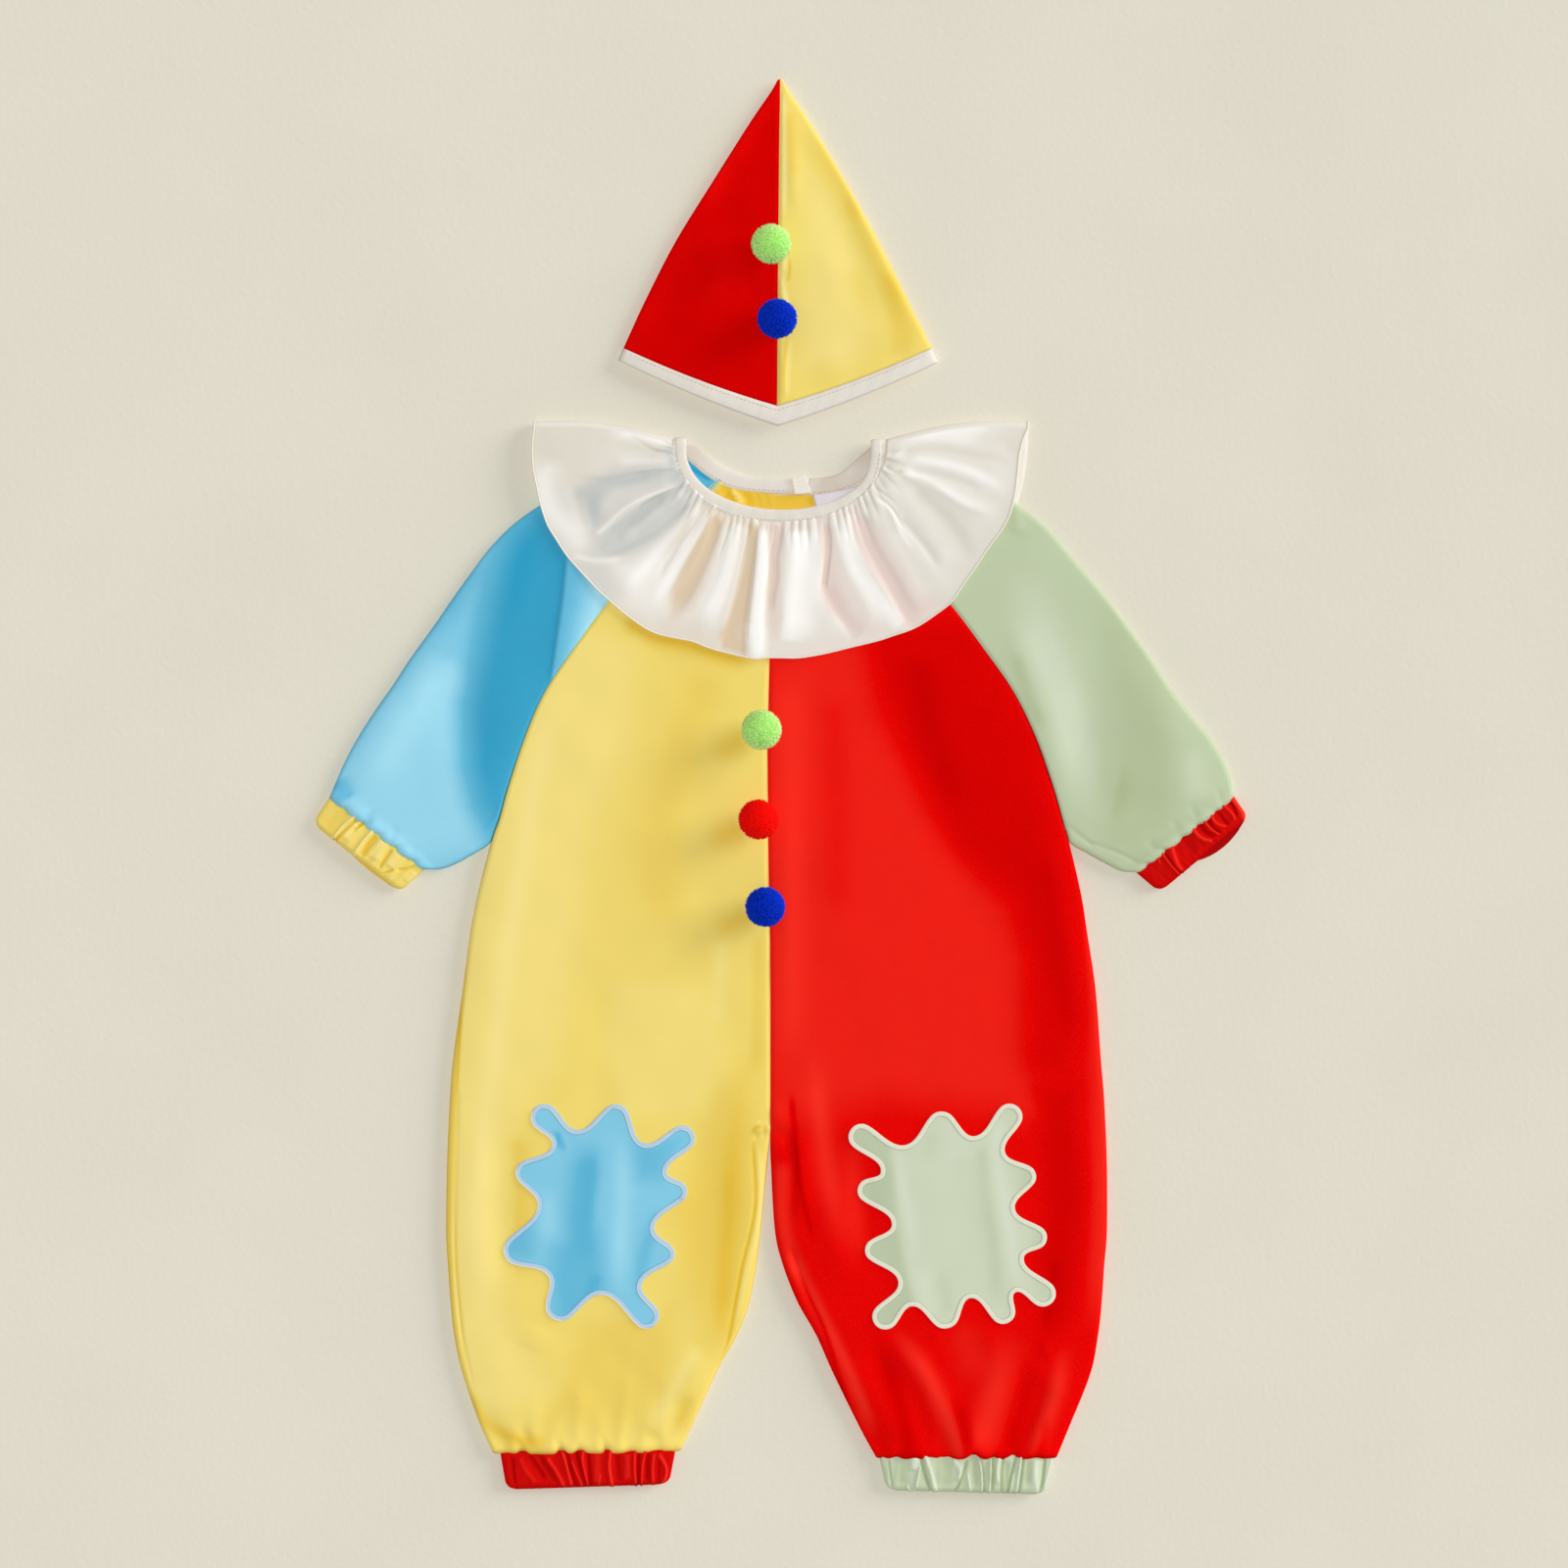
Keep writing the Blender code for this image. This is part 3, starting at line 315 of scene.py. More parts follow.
@dataclass(frozen=True)
class FurFinish(Finish):
    """Acrylic fibres of a pompom: painted shade deep between them, and painted light bright at their tips,
    where the tip mark is 1.
    """

    # root is the colour of the painted shade between the fibres, tip that of the painted light at their tips
    root: Colour
    tip: Colour

    def drawn(self, graph: Graph) -> bpy.types.Material:
        """Draws the fibres' material in a graph."""
        clumps = graph.noise(graph.object_place(), 1.6 * MM)
        share = (graph.mark("tip") * 1.1 + (clumps - 0.5) * 0.7).kept()
        return graph.finished(
            Base_Color=graph.blend(share, self.root, self.tip),
            Roughness=0.85,
            Sheen_Weight=0.2,
            Sheen_Tint=self.tip,
            Specular_IOR_Level=0.05,
        )


@dataclass(frozen=True)
class FloorFinish(Finish):
    """A plain pale painted floor with the faintest brush marks."""

    name: str = "pale_floor"
    colour: Colour = (0.715, 0.685, 0.575)
    light: Colour = (0.765, 0.735, 0.635)

    def drawn(self, graph: Graph) -> bpy.types.Material:
        """Draws the floor's material in a graph."""
        place = graph.object_place()
        return graph.finished(
            Base_Color=graph.blend(graph.noise(place, 120 * MM), self.colour, self.light),
            Roughness=0.9,
            Specular_IOR_Level=0.1,
            Normal=graph.bump(graph.noise(place, 3.5 * MM, 4.0), 0.5 * MM, 0.35),
        )


class Dye(Enum):
    """The cloths that the costume is cut from."""

    # Each cloth's colours: its own, the deep one of its painted shade, and the pale one of its painted light
    YELLOW = ClothFinish("yellow_cloth", (0.865, 0.675, 0.15), (0.77, 0.49, 0.02), (0.93, 0.78, 0.29))
    RED = ClothFinish(
        "red_cloth",
        (0.78, 0.001, 0.001),
        (0.56, 0.0, 0.0),
        (0.92, 0.028, 0.016),
        sheen=0.0,
        gloss=0.0,
        speckle=0.35,
    )
    CUFF_RED = ClothFinish(
        "red_cuff_cloth", (0.64, 0.001, 0.0), (0.40, 0.0, 0.0), (0.92, 0.03, 0.018), sheen=0.0, gloss=0.04
    )
    BLUE = ClothFinish(
        "blue_cloth", (0.115, 0.475, 0.70), (0.022, 0.335, 0.57), (0.38, 0.75, 0.91), gloss=0.1
    )
    SAGE = ClothFinish("sage_cloth", (0.50, 0.585, 0.385), (0.39, 0.47, 0.25), (0.64, 0.715, 0.565))
    PATCH = ClothFinish("sage_patch_cloth", (0.60, 0.665, 0.50), (0.45, 0.52, 0.35), (0.70, 0.75, 0.62))
    CREAM = ClothFinish(
        "cream_cloth",
        (0.81, 0.775, 0.715),
        (0.66, 0.51, 0.36),
        (0.97, 0.955, 0.93),
        roughness=0.55,
        veil=0.13,
    )
    FACING = ClothFinish("white_facing", (0.72, 0.69, 0.76), (0.62, 0.58, 0.66), (0.84, 0.82, 0.88))


class Yarn(Enum):
    """Threads and furs, and the patches' satin stitch."""

    CREAM = ThreadFinish("cream_thread", (0.86, 0.82, 0.73))
    TAN = ThreadFinish("tan_thread", (0.60, 0.50, 0.36))
    PEACH = ThreadFinish("peach_thread", (0.88, 0.66, 0.48))
    MINT = ThreadFinish("mint_thread", (0.62, 0.78, 0.50))
    # A fur's colours: painted shade between its fibres, and painted light at their tips
    GREEN_FUR = FurFinish("green_fur", (0.24, 0.66, 0.09), (0.74, 1.0, 0.42))
    RED_FUR = FurFinish("red_fur", (0.75, 0.0, 0.0), (1.0, 0.008, 0.004))
    BLUE_FUR = FurFinish("blue_fur", (0.0, 0.010, 0.26), (0.004, 0.055, 0.78))
    # A satin rim's colours: its painted highlight, its threads' own colour, and the dark of its edge line and
    # painted shade
    BLUE_SATIN = SatinStitchFinish("blue_satin", (0.90, 0.96, 0.98), (0.47, 0.63, 0.80), (0.13, 0.38, 0.56))
    GREEN_SATIN = SatinStitchFinish("green_satin", (0.95, 0.94, 0.85), (0.78, 0.79, 0.64), (0.38, 0.43, 0.26))


# ---- Shapes ----

UP = np.array([0.0, 0.0, 1.0])
CLEAR = 0.02  # the least height of a point above the floor
THICKNESS = 0.6  # how thick a piece of cloth looks
GAP = 0.3  # between pieces that are sewn together
SEAM = 0.05  # each piece stops this far short of its seam line
TOP = 6.2  # outer face of the front layer, above the floor
EDGE_ROUND = 3.0  # radius of a turned edge
EDGE_SHARE = 0.62  # share of the height that a turned edge reaches, and the crown adds the rest
CROWN = 24.0  # how far in the crown still rises
NECK = np.array([0.6, 195.2])
NECK_HALF_WIDTH = 59.9
NECK_FRONT_DEPTH = 43.1
NECK_BACK_DEPTH = 27.6
FRONT_SQUARENESS = (2.0, 2.0)  # how square the neckline is, on its left and its right
BACK_SQUARENESS = (1.5, 2.5)
COLLAR_LIFT = 1.5  # how high the back lies on the collar folded under it
COLLAR_TOP = 7.7
COLLAR_HALF_WIDTH = 141.0
COLLAR_FRONT_DEPTH = 130.0
COLLAR_BACK_DEPTH = 122.0
COLLAR_SQUARENESS = (2.25, 2.25)
COLLAR_FOLDED = 62.0  # how far past its edge behind the collar's lift ends
COLLAR_SLOPE = 24.0  # the width over which the lift sinks
SWELL_WAVES = 7
STITCH_SHAPE = np.array([[0.0, 0.35], [0.12, 0.85], [0.5, 1.0], [0.88, 0.85], [1.0, 0.35]])  # place, width
CROTCH_ROW = 8
UNDERARM_ROW = 13
BACK_NECK_SIDE = 34.6  # the raglan seam's distance from the neck's middle, behind
BACK_OPENING_X = 22.0  # where the back's middle seam meets the neckline
LEG_CREASE_HALF_WIDTH = 4.6
HAT_BOW = 2.0  # how far half of the hat's hem bends down
RELIEF = 0.5  # how much of the tables' main folds the cloth keeps where it lies flat
UNEVEN = 0.15  # height of a panel's slight unevenness
PANEL_WAVE = 34.0  # and its wave length in front
RIM_LIGHT = (0.8, 0.6)  # the way to the light in plan
TAPE_SHADE_COLOUR = (0.62, 0.54, 0.46, 1.0)  # the colour that the bindings' painted shade deepens to, which also faintly tints them, as their under mark


def ease(share: Array) -> Array:
    """A smooth step from 0 to 1: 3 t squared less 2 t cubed."""
    kept = np.clip(share, 0, 1)
    return kept * kept * (3 - 2 * kept)


def unit(vectors: Array) -> Array:
    """Vectors of length 1 in the same directions."""
    return vectors / np.maximum(np.linalg.norm(vectors, axis=-1, keepdims=True), 1e-9)


def bell(distance: Array, width: Union[float, Array]) -> Array:
    """A bell curve: 1 at no distance, and the exponential of -1 at its width."""
    return np.exp(-((distance / width) ** 2))


def cubic(t: Array, first: Array, leave: Array, second: Array, arrive: Array) -> Array:
    """The cubic between two points as t goes from 0 to 1, with the slopes it leaves and arrives by."""
    return (
        (2 * t**3 - 3 * t**2 + 1) * first
        + (t**3 - 2 * t**2 + t) * leave
        + (3 * t**2 - 2 * t**3) * second
        + (t**3 - t**2) * arrive
    )


def smooth_rows(knots: Array, places: Array) -> Array:
    """A smooth curve through the rows of a table: a cubic between rows, with the mean slope at each.

    Args:
        knots: The table.
        places: Row numbers, whole or between two.

    Returns:
        A row for each place.
    """
    knots = np.asarray(knots, float)
    slopes = np.gradient(knots, axis=0)
    before = np.clip(places.astype(int), 0, len(knots) - 2)
    after = before + 1
    return cubic((places - before)[:, None], knots[before], slopes[before], knots[after], slopes[after])


def run_of(points: Array, axis: int = 0) -> Array:
    """How far each point lies along its line, in mm."""
    steps = np.linalg.norm(np.diff(points, axis=axis), axis=-1)
    start = np.zeros_like(np.take(steps, [0], axis=axis))
    return np.concatenate([start, np.cumsum(steps, axis=axis)], axis=axis)


def even_places(knots: Array, count: int) -> Array:
    """Row numbers of a table of points that are evenly spaced in mm along the smooth curve through it."""
    dense = np.linspace(0, len(knots) - 1, 40 * len(knots))
    run = run_of(smooth_rows(knots, dense))
    return np.interp(np.linspace(0, run[-1], count), run, dense)


def faded(place: Array, fade0: float, fade1: float) -> Array:
    """The share of a mark's amount at places from 0 to 1 along it: it eases in and out over its two fades."""
    rise = ease(place / fade0) if fade0 else 1.0
    sink = ease((1 - place) / fade1) if fade1 else 1.0
    return rise * sink


def depth_inside(corners: Array, plan: Array) -> Array:
    """How far inside a polygon each plan point is, in mm, and below zero how far outside."""
    way = np.roll(corners, -1, axis=0) - corners
    offset = plan[..., None, :2] - corners
    share = np.clip((offset * way).sum(axis=-1) / (way**2).sum(axis=-1), 0, 1)
    gap = np.linalg.norm(offset - share[..., None] * way, axis=-1).min(axis=-1)
    level = offset[..., 1]
    rise = np.where(np.abs(way[:, 1]) < 1e-9, 1e-9, way[:, 1])
    beside = (level < 0) != (level < way[:, 1])
    crossed = beside & (offset[..., 0] < level / rise * way[:, 0])
    return np.where(crossed.sum(axis=-1) % 2 == 1, gap, -gap)


class Stroke(NamedTuple):
    """A soft mark on the cloth from one plan point to another.

    width is how far beside its line it has faded to a third. amount is its height in mm, up for a ridge and
    down for a trough, or its tone: painted shade above 0 and painted light below 0. bow is how far its middle
    bends to the left of its way, lean how much wider it is on that side, and the fades are the shares of its
    length over which its ends rise and sink.
    """

    x0: float
    y0: float
    x1: float
    y1: float
    width: float
    amount: float
    bow: float = 0.0
    lean: float = 0.0
    fade0: float = 0.3
    fade1: float = 0.3

    def at(self, plan: Array) -> Array:
        """Its amount at plan points: a bell curve across its line, which is lean times wider on the left."""
        start = np.array([self.x0, self.y0])
        way = np.array([self.x1, self.y1]) - start
        length = math.hypot(*way)
        way = way / length
        offset = plan[..., :2] - start
        place = offset @ way / length
        inside = np.clip(place, 0, 1)
        beside = offset @ np.array([-way[1], way[0]]) - 4 * self.bow * inside * (1 - inside)
        width = self.width * (1 + self.lean * np.sign(beside))
        beyond = (place - inside) * length / self.width
        fall = np.exp(-((beside / width) ** 2) - beyond**2)
        return self.amount * fall * faded(inside, self.fade0, self.fade1)


class Crease(NamedTuple):
    """A soft mark on the cloth along a curved line.

    line is its plan points, as x, y and so on. left and right are how far beside it, on each side of its way,
    it has faded to a third, and power how squarely it fades. amount is its height in mm, or its tone: painted
    shade above 0 and painted light below 0. It is grow times wider at its end. The fades are the shares of
    its length over which its ends rise and sink.
    """

    line: tuple[float, ...]
    left: float
    right: float
    amount: float
    grow: float = 1.0
    power: float = 2.0
    fade0: float = 0.12
    fade1: float = 0.2

    def at(self, plan: Array) -> Array:
        """Its amount at plan points: the exponential of minus a power of the distance from its line."""
        knots = np.reshape(self.line, (-1, 2))
        line = smooth_rows(knots, even_places(knots, 6 * len(knots)))
        run = run_of(line)
        ways = np.diff(line, axis=0)
        offset = plan[..., None, :2] - line[:-1]
        share = np.clip((offset * ways).sum(axis=-1) / (ways**2).sum(axis=-1), 0, 1)
        gap = offset - share[..., None] * ways
        nearest = np.argmin((gap**2).sum(axis=-1), axis=-1)[..., None]
        gap = np.take_along_axis(gap, nearest[..., None], axis=-2)[..., 0, :]
        share = np.take_along_axis(share, nearest, axis=-1)[..., 0]
        nearest = nearest[..., 0]
        place = (run[nearest] + share * (run[nearest + 1] - run[nearest])) / run[-1]
        left = ways[nearest, 0] * gap[..., 1] > ways[nearest, 1] * gap[..., 0]
        width = np.where(left, self.left, self.right) * (1 + (self.grow - 1) * place)
        fall = (np.linalg.norm(gap, axis=-1) / width) ** self.power
        return self.amount * np.exp(-fall) * faded(place, self.fade0, self.fade1)


class Shade(NamedTuple):
    """A soft-edged area of the cloth: its corners as x, y and so on, its edge's half width, and its amount, a
    tone of painted shade above 0 and painted light below 0.
    """

    corners: tuple[float, ...]
    soft: float
    amount: float

    def at(self, plan: Array) -> Array:
        """Its amount at plan points: a smooth step over its edge."""
        depth = depth_inside(np.reshape(self.corners, (-1, 2)), plan)
        return self.amount * ease(0.5 + depth / (2 * self.soft))


Mark = Union[Stroke, Crease, Shade]


def lay(marks: Sequence[Mark], plan: Array) -> Array:
    """The sum of all marks at plan points, x and y last."""
    return sum((mark.at(plan) for mark in marks), np.zeros(plan.shape[:-1]))


def swells(plan: Array, size: float, height: float, seed: int) -> Array:
    """The slight unevenness of cloth that lies loose: a few plane waves of about one length, summed.

    Args:
        plan: Points, x and y last.
        size: The waves' mean length in mm.
        height: Their joint height in mm.
        seed: Picks their directions and phases.

    Returns:
        One number for each point.
    """
    draw = np.random.default_rng(seed)
    headings = draw.uniform(0, 2 * np.pi, SWELL_WAVES)
    lengths = size * draw.uniform(0.65, 1.6, SWELL_WAVES)
    phases = draw.uniform(0, 2 * np.pi, SWELL_WAVES)
    waves = np.stack([np.cos(headings), np.sin(headings)]) * 2 * np.pi / lengths
    return height * np.sin(plan[..., :2] @ waves + phases).sum(axis=-1) / math.sqrt(SWELL_WAVES)


def spread(count: int) -> Array:
    """Places from 0 to 1, closer together towards both ends, where the cloth turns."""
    even = np.linspace(0, 1, count)
    return 0.35 * even + 0.65 * 0.5 * (1 - np.cos(np.pi * even))


def turned(distance: Array, radius: Array) -> Array:
    """Share of the height reached at a distance in from an edge: a quarter ellipse, then a slow crown."""
    near = np.clip(distance / radius, 0, 1)
    far = np.clip(distance / CROWN, 0, 1)
    return EDGE_SHARE * np.sqrt(near * (2 - near)) + (1 - EDGE_SHARE) * far * (2 - far)


def floor_under(plan: Array) -> Array:
    """Height the back layer rests at: on the floor, or up to COLLAR_LIFT on the collar folded under it."""
    offset = plan[..., :2] - NECK
    reach = np.hypot(offset[..., 0] / COLLAR_HALF_WIDTH, offset[..., 1] / COLLAR_BACK_DEPTH)
    past = (reach - 1) * COLLAR_BACK_DEPTH
    return COLLAR_LIFT * np.clip((COLLAR_FOLDED - past) / COLLAR_SLOPE, 0, 1)


def neck_curve(angle: Array, half_width: float, depth: float, squareness: Pair) -> Array:
    """Offsets from the neck's centre of half a superellipse, from its left end (0) to its right one (pi)."""
    across, down = np.cos(angle), np.sin(angle)
    power = np.where(across > 0, *squareness)
    size = (np.abs(across) ** power + np.abs(down) ** power) ** (-1 / power)
    return -np.stack([half_width * across * size, depth * down * size], axis=-1)


def neck_place(x: float, half_width: float, squareness: Pair) -> float:
    """The angle at which such a curve passes x."""
    share = float(np.clip((NECK[0] - x) / half_width, -1, 1))
    power = squareness[0] if share > 0 else squareness[1]
    return math.atan2((1 - abs(share) ** power) ** (1 / power), share)


def neck_row(start_x: float, end_x: float, columns: Array, depth: float, squareness: Pair) -> Array:
    """A panel's neck edge between two places across it, just outside the neckline.

    Args:
        start_x: Where it starts.
        end_x: Where it ends.
        columns: Places along it from 0 to 1.
        depth: The neckline's depth below its centre.
        squareness: How square its left and right halves are.

    Returns:
        Plan points.
    """
    outset = GAP + SEAM
    start, end = (neck_place(x, NECK_HALF_WIDTH, squareness) for x in (start_x, end_x))
    angles = start + columns * (end - start)
    return NECK + neck_curve(angles, NECK_HALF_WIDTH + outset, depth + outset, squareness)


def back_neck_corner(side: float) -> Pair:
    """Where the raglan seam meets the back neckline, on the left (-1) or the right (1)."""
    x = NECK[0] + side * BACK_NECK_SIDE
    angle = neck_place(x, NECK_HALF_WIDTH, BACK_SQUARENESS)
    return x, NECK[1] + float(neck_curve(np.array(angle), 0.0, NECK_BACK_DEPTH, BACK_SQUARENESS)[1])


def grid_quads(rows: int, columns: int, around: bool = False) -> Array:
    """Quads of a grid numbered row by row. One that goes round joins its last column to its first."""
    index = np.arange(rows * columns).reshape(rows, columns)
    current = index if around else index[:, :-1]
    following = np.roll(index, -1, axis=1) if around else index[:, 1:]
    corners = [current[:-1], following[:-1], following[1:], current[1:]]
    return np.stack([corner.ravel() for corner in corners], axis=1)


def tube_faces(rings: int, sides: int) -> list[Array]:
    """The quads between rings, and the caps of the first and the last."""
    ring = np.arange(sides)
    return [grid_quads(rings, sides, True), np.array([ring[::-1], (rings - 1) * sides + ring])]


def wall(outer: Array, inner: Array, around: bool) -> tuple[Array, Array]:
    """The closed wall between two grids.

    Args:
        outer: Points of its outside, rows by columns.
        inner: Points of its inside.
        around: Whether each row closes on itself.

    Returns:
        Points and quads.
    """
    rows, columns = outer.shape[:2]
    count = rows * columns
    quads = grid_quads(rows, columns, around)
    index = np.arange(count).reshape(rows, columns)
    ends = np.concatenate([index, index[:, :1]], axis=1) if around else index
    rims = [ends[0], ends[-1, ::-1]]
    if not around:
        rims += [index[::-1, 0], index[:, -1]]
    strips = [np.stack([rim[:-1], rim[:-1] + count, rim[1:] + count, rim[1:]], axis=1) for rim in rims]
    faces = np.concatenate([quads, quads[:, ::-1] + count, *strips])
    return np.concatenate([outer.reshape(-1, 3), inner.reshape(-1, 3)]), faces


def inwards(outer: Array, around: bool) -> Array:
    """The way through a piece of cloth at each of its outer points, as long as the cloth is thick."""
    if around:
        along = np.roll(outer, -1, axis=1) - np.roll(outer, 1, axis=1)
    else:
        along = np.gradient(outer, axis=1)
    normal = unit(np.cross(along, np.gradient(outer, axis=0)))
    facing = np.sign(np.sum((outer[..., 2] - TOP / 2) * normal[..., 2]))
    return -facing * THICKNESS * normal


def add_mesh(
    name: str,
    points: Array,
    faces: Sequence[Array],
    finish: Finish,
    cloth: Optional[Array] = None,
    marks: Optional[dict[str, Array]] = None,
) -> bpy.types.Object:
    """A smooth mesh from arrays, turned so that it encloses a volume above zero.

    Args:
        name: The piece's name.
        points: Its points in mm.
        faces: Arrays of faces, one for each number of corners.
        finish: What it is made of.
        cloth: The cloth's coordinates in mm at each point, for the weave.
        marks: Numbers, or colours of four, that each point carries.

    Returns:
        The object, riding on the root body.
    """
    first = faces[0]
    fans = [first[:, [0, i, i + 1]] for i in range(1, first.shape[1] - 1)]
    if np.linalg.det(points[np.concatenate(fans)]).sum() < 0:
        faces = [part[:, ::-1] for part in faces]
    corners = np.concatenate([part.ravel() for part in faces]).astype(np.int32)
    sizes = np.concatenate([np.full(len(part), part.shape[1]) for part in faces])
    starts = np.concatenate([[0], np.cumsum(sizes)[:-1]]).astype(np.int32)
    mesh = bpy.data.meshes.new(name)
    mesh.vertices.add(len(points))
    mesh.vertices.foreach_set("co", (points * MM).astype(np.float32).ravel())
    mesh.loops.add(len(corners))
    mesh.loops.foreach_set("vertex_index", corners)
    mesh.polygons.add(len(sizes))
    mesh.polygons.foreach_set("loop_start", starts)
    mesh.update(calc_edges=True)
    mesh.polygons.foreach_set("use_smooth", np.ones(len(sizes), bool))
    if cloth is not None:
        layer = mesh.uv_layers.new(name="Cloth")
        layer.data.foreach_set("uv", (cloth * MM).astype(np.float32)[corners].ravel())
    for mark, values in (marks or {}).items():
        kind, slot = ("FLOAT", "value") if values.ndim == 1 else ("FLOAT_COLOR", "color")
        layer = mesh.attributes.new(mark, kind, "POINT")
        layer.data.foreach_set(slot, values.astype(np.float32).ravel())
    mesh.materials.append(finish.material())
    obj = bpy.data.objects.new(name, mesh)
    bpy.context.scene.collection.objects.link(obj)
    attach(obj, "root")
    log.info("%s: %d faces", name, len(sizes))
    return obj


def add_cloth(
    name: str,
    outer: Array,
    dye: Dye,
    tone: Array,
    around: bool = False,
    smooth: Optional[Array] = None,
    marks: Optional[dict[str, Array]] = None,
    inside: Optional[Array] = None,
) -> bpy.types.Object:
    """A piece of cloth from its outer points, as a closed thin shell.

    Args:
        name: The piece's name.
        outer: Points, rows by columns.
        dye: The cloth that it is cut from.
        tone: How deep its colour is at each point, from -1 to 1.
        around: Whether each row closes on itself.
        smooth: The same points without their fine creases, for the direction of the wall.
        marks: More numbers at each point.
        inside: The tone of its inner side, or None where that is the same.

    Returns:
        The object.
    """
    inner = outer + inwards(outer if smooth is None else smooth, around)
    points, quads = wall(outer, inner, around)
    both = {"tone": np.concatenate([tone.ravel(), (tone if inside is None else inside).ravel()])}
    for mark, value in (marks or {}).items():
        both[mark] = np.concatenate([value.reshape(-1, *value.shape[2:])] * 2)
    return add_mesh(name, points, [quads], dye.value, np.tile(outer[..., :2].reshape(-1, 2), (2, 1)), both)


def sweep(path: Array, profile: Array, closed: bool = False) -> tuple[Array, list[Array]]:
    """A profile carried along a path: each ring lies across the path's heading.

    Args:
        path: The path's points.
        profile: Ring points as offsets across and up, once for all or for each point of the path.
        closed: Whether the path closes on itself. An open one is capped.

    Returns:
        Points and arrays of faces.
    """
    if closed:
        heading = unit(np.roll(path, -1, axis=0) - np.roll(path, 1, axis=0))
    else:
        heading = unit(np.gradient(path, axis=0))
    across = unit(np.cross(heading, UP))
    raised = np.cross(across, heading)
    rings = path[:, None] + profile[..., :1] * across[:, None] + profile[..., 1:2] * raised[:, None]
    count, sides = rings.shape[:2]
    faces = [grid_quads(count + 1, sides, True) % (count * sides)] if closed else tube_faces(count, sides)
    return rings.reshape(-1, 3), faces


def oval(across: float, up: float, sides: int, squareness: float = 2.0) -> Array:
    """A ring of points on a superellipse of the given half width and half height."""
    angle = np.linspace(0, 2 * np.pi, sides, endpoint=False)
    cosine, sine = np.cos(angle), np.sin(angle)
    power = 2 / squareness
    ring = [across * np.sign(cosine) * np.abs(cosine) ** power, up * np.sign(sine) * np.abs(sine) ** power]
    return np.stack(ring, axis=-1)


def along(path: Array, step: float) -> Array:
    """Points evenly spaced along a path, a step apart."""
    run = run_of(path)
    places = np.linspace(0, run[-1], max(2, int(run[-1] / step) + 1))
    return np.stack([np.interp(places, run, path[:, axis]) for axis in range(3)], axis=-1)


def add_stitches(name: str, starts: Array, ends: Array, radius: float, yarn: Yarn) -> bpy.types.Object:
    """Stitches as one mesh: each is a short five-sided bead that thins where it enters the cloth.

    Args:
        name: The piece's name.
        starts: Where each stitch starts.
        ends: Where it ends.
        radius: Half its thread's thickness.
        yarn: Its thread.

    Returns:
        The object.
    """
    way = ends - starts
    heading = unit(way)
    across = unit(np.cross(heading, UP))
    raised = np.cross(across, heading)
    ring = oval(radius, radius, 5)
    places, widths = STITCH_SHAPE.T
    spine = starts[:, None] + places[None, :, None] * way[:, None]
    spine = spine + (radius * 0.8 * np.sin(np.pi * places))[None, :, None] * raised[:, None]
    size = widths[None, :, None, None]
    points = spine[:, :, None] + size * (
        ring[None, None, :, :1] * across[:, None, None] + ring[None, None, :, 1:] * raised[:, None, None]
    )
    shifts = len(places) * 5 * np.arange(len(starts))[:, None, None]
    faces = [(part[None] + shifts).reshape(-1, part.shape[1]) for part in tube_faces(len(places), 5)]
    return add_mesh(name, points.reshape(-1, 3), faces, yarn.value)


def stitch_row(name: str, line: Array, pitch: float, share: float) -> bpy.types.Object:
    """A row of tan stitches a pitch apart along a line, each as long as a share of the pitch."""
    stations = along(line, pitch)
    return add_stitches(name, stations[:-1], stations[:-1] + share * np.diff(stations, axis=0), 0.2, Yarn.TAN)


def tape_marks(tone: Array) -> dict[str, Array]:
    """The marks of a binding: its tone at each point, and the colour that its tone deepens it to, that of its
    painted shade.
    """
    return {"tone": tone, "under": np.tile(TAPE_SHADE_COLOUR, (*tone.shape, 1))}


# ---- Tables ----


class BodyRow(NamedTuple):
    """One row across a body half: its side and middle edges, and how round each is (0 flat, 1 turned)."""

    side_x: float
    side_y: float
    middle_x: float
    middle_y: float
    side_turn: float
    middle_turn: float


class FoldRow(NamedTuple):
    """One row across a folded piece: a sleeve from its cuff up, or a hat half from its hem to its tip."""

    fold_x: float
    fold_y: float
    seam_x: float
    seam_y: float


class Lobe(NamedTuple):
    """One lobe of a patch: its round head, and the hollow that comes after it."""

    head_x: float
    head_y: float
    head_radius: float
    hollow_x: float
    hollow_y: float


class LegCrease(NamedTuple):
    """A crease that the elastic draws up a leg: its place along the hem, length, height and drift inwards."""

    along: float
    length: float
    height: float
    drift: float


class Pinch(NamedTuple):
    """Where a gathered hem is drawn up over its cuff: how far along the hem, how deep and how wide, in mm."""

    along: float
    depth: float
    width: float


def plan_points(*numbers: float) -> Array:
    """Plan points from x, y and so on."""
    return np.reshape(numbers, (-1, 2))


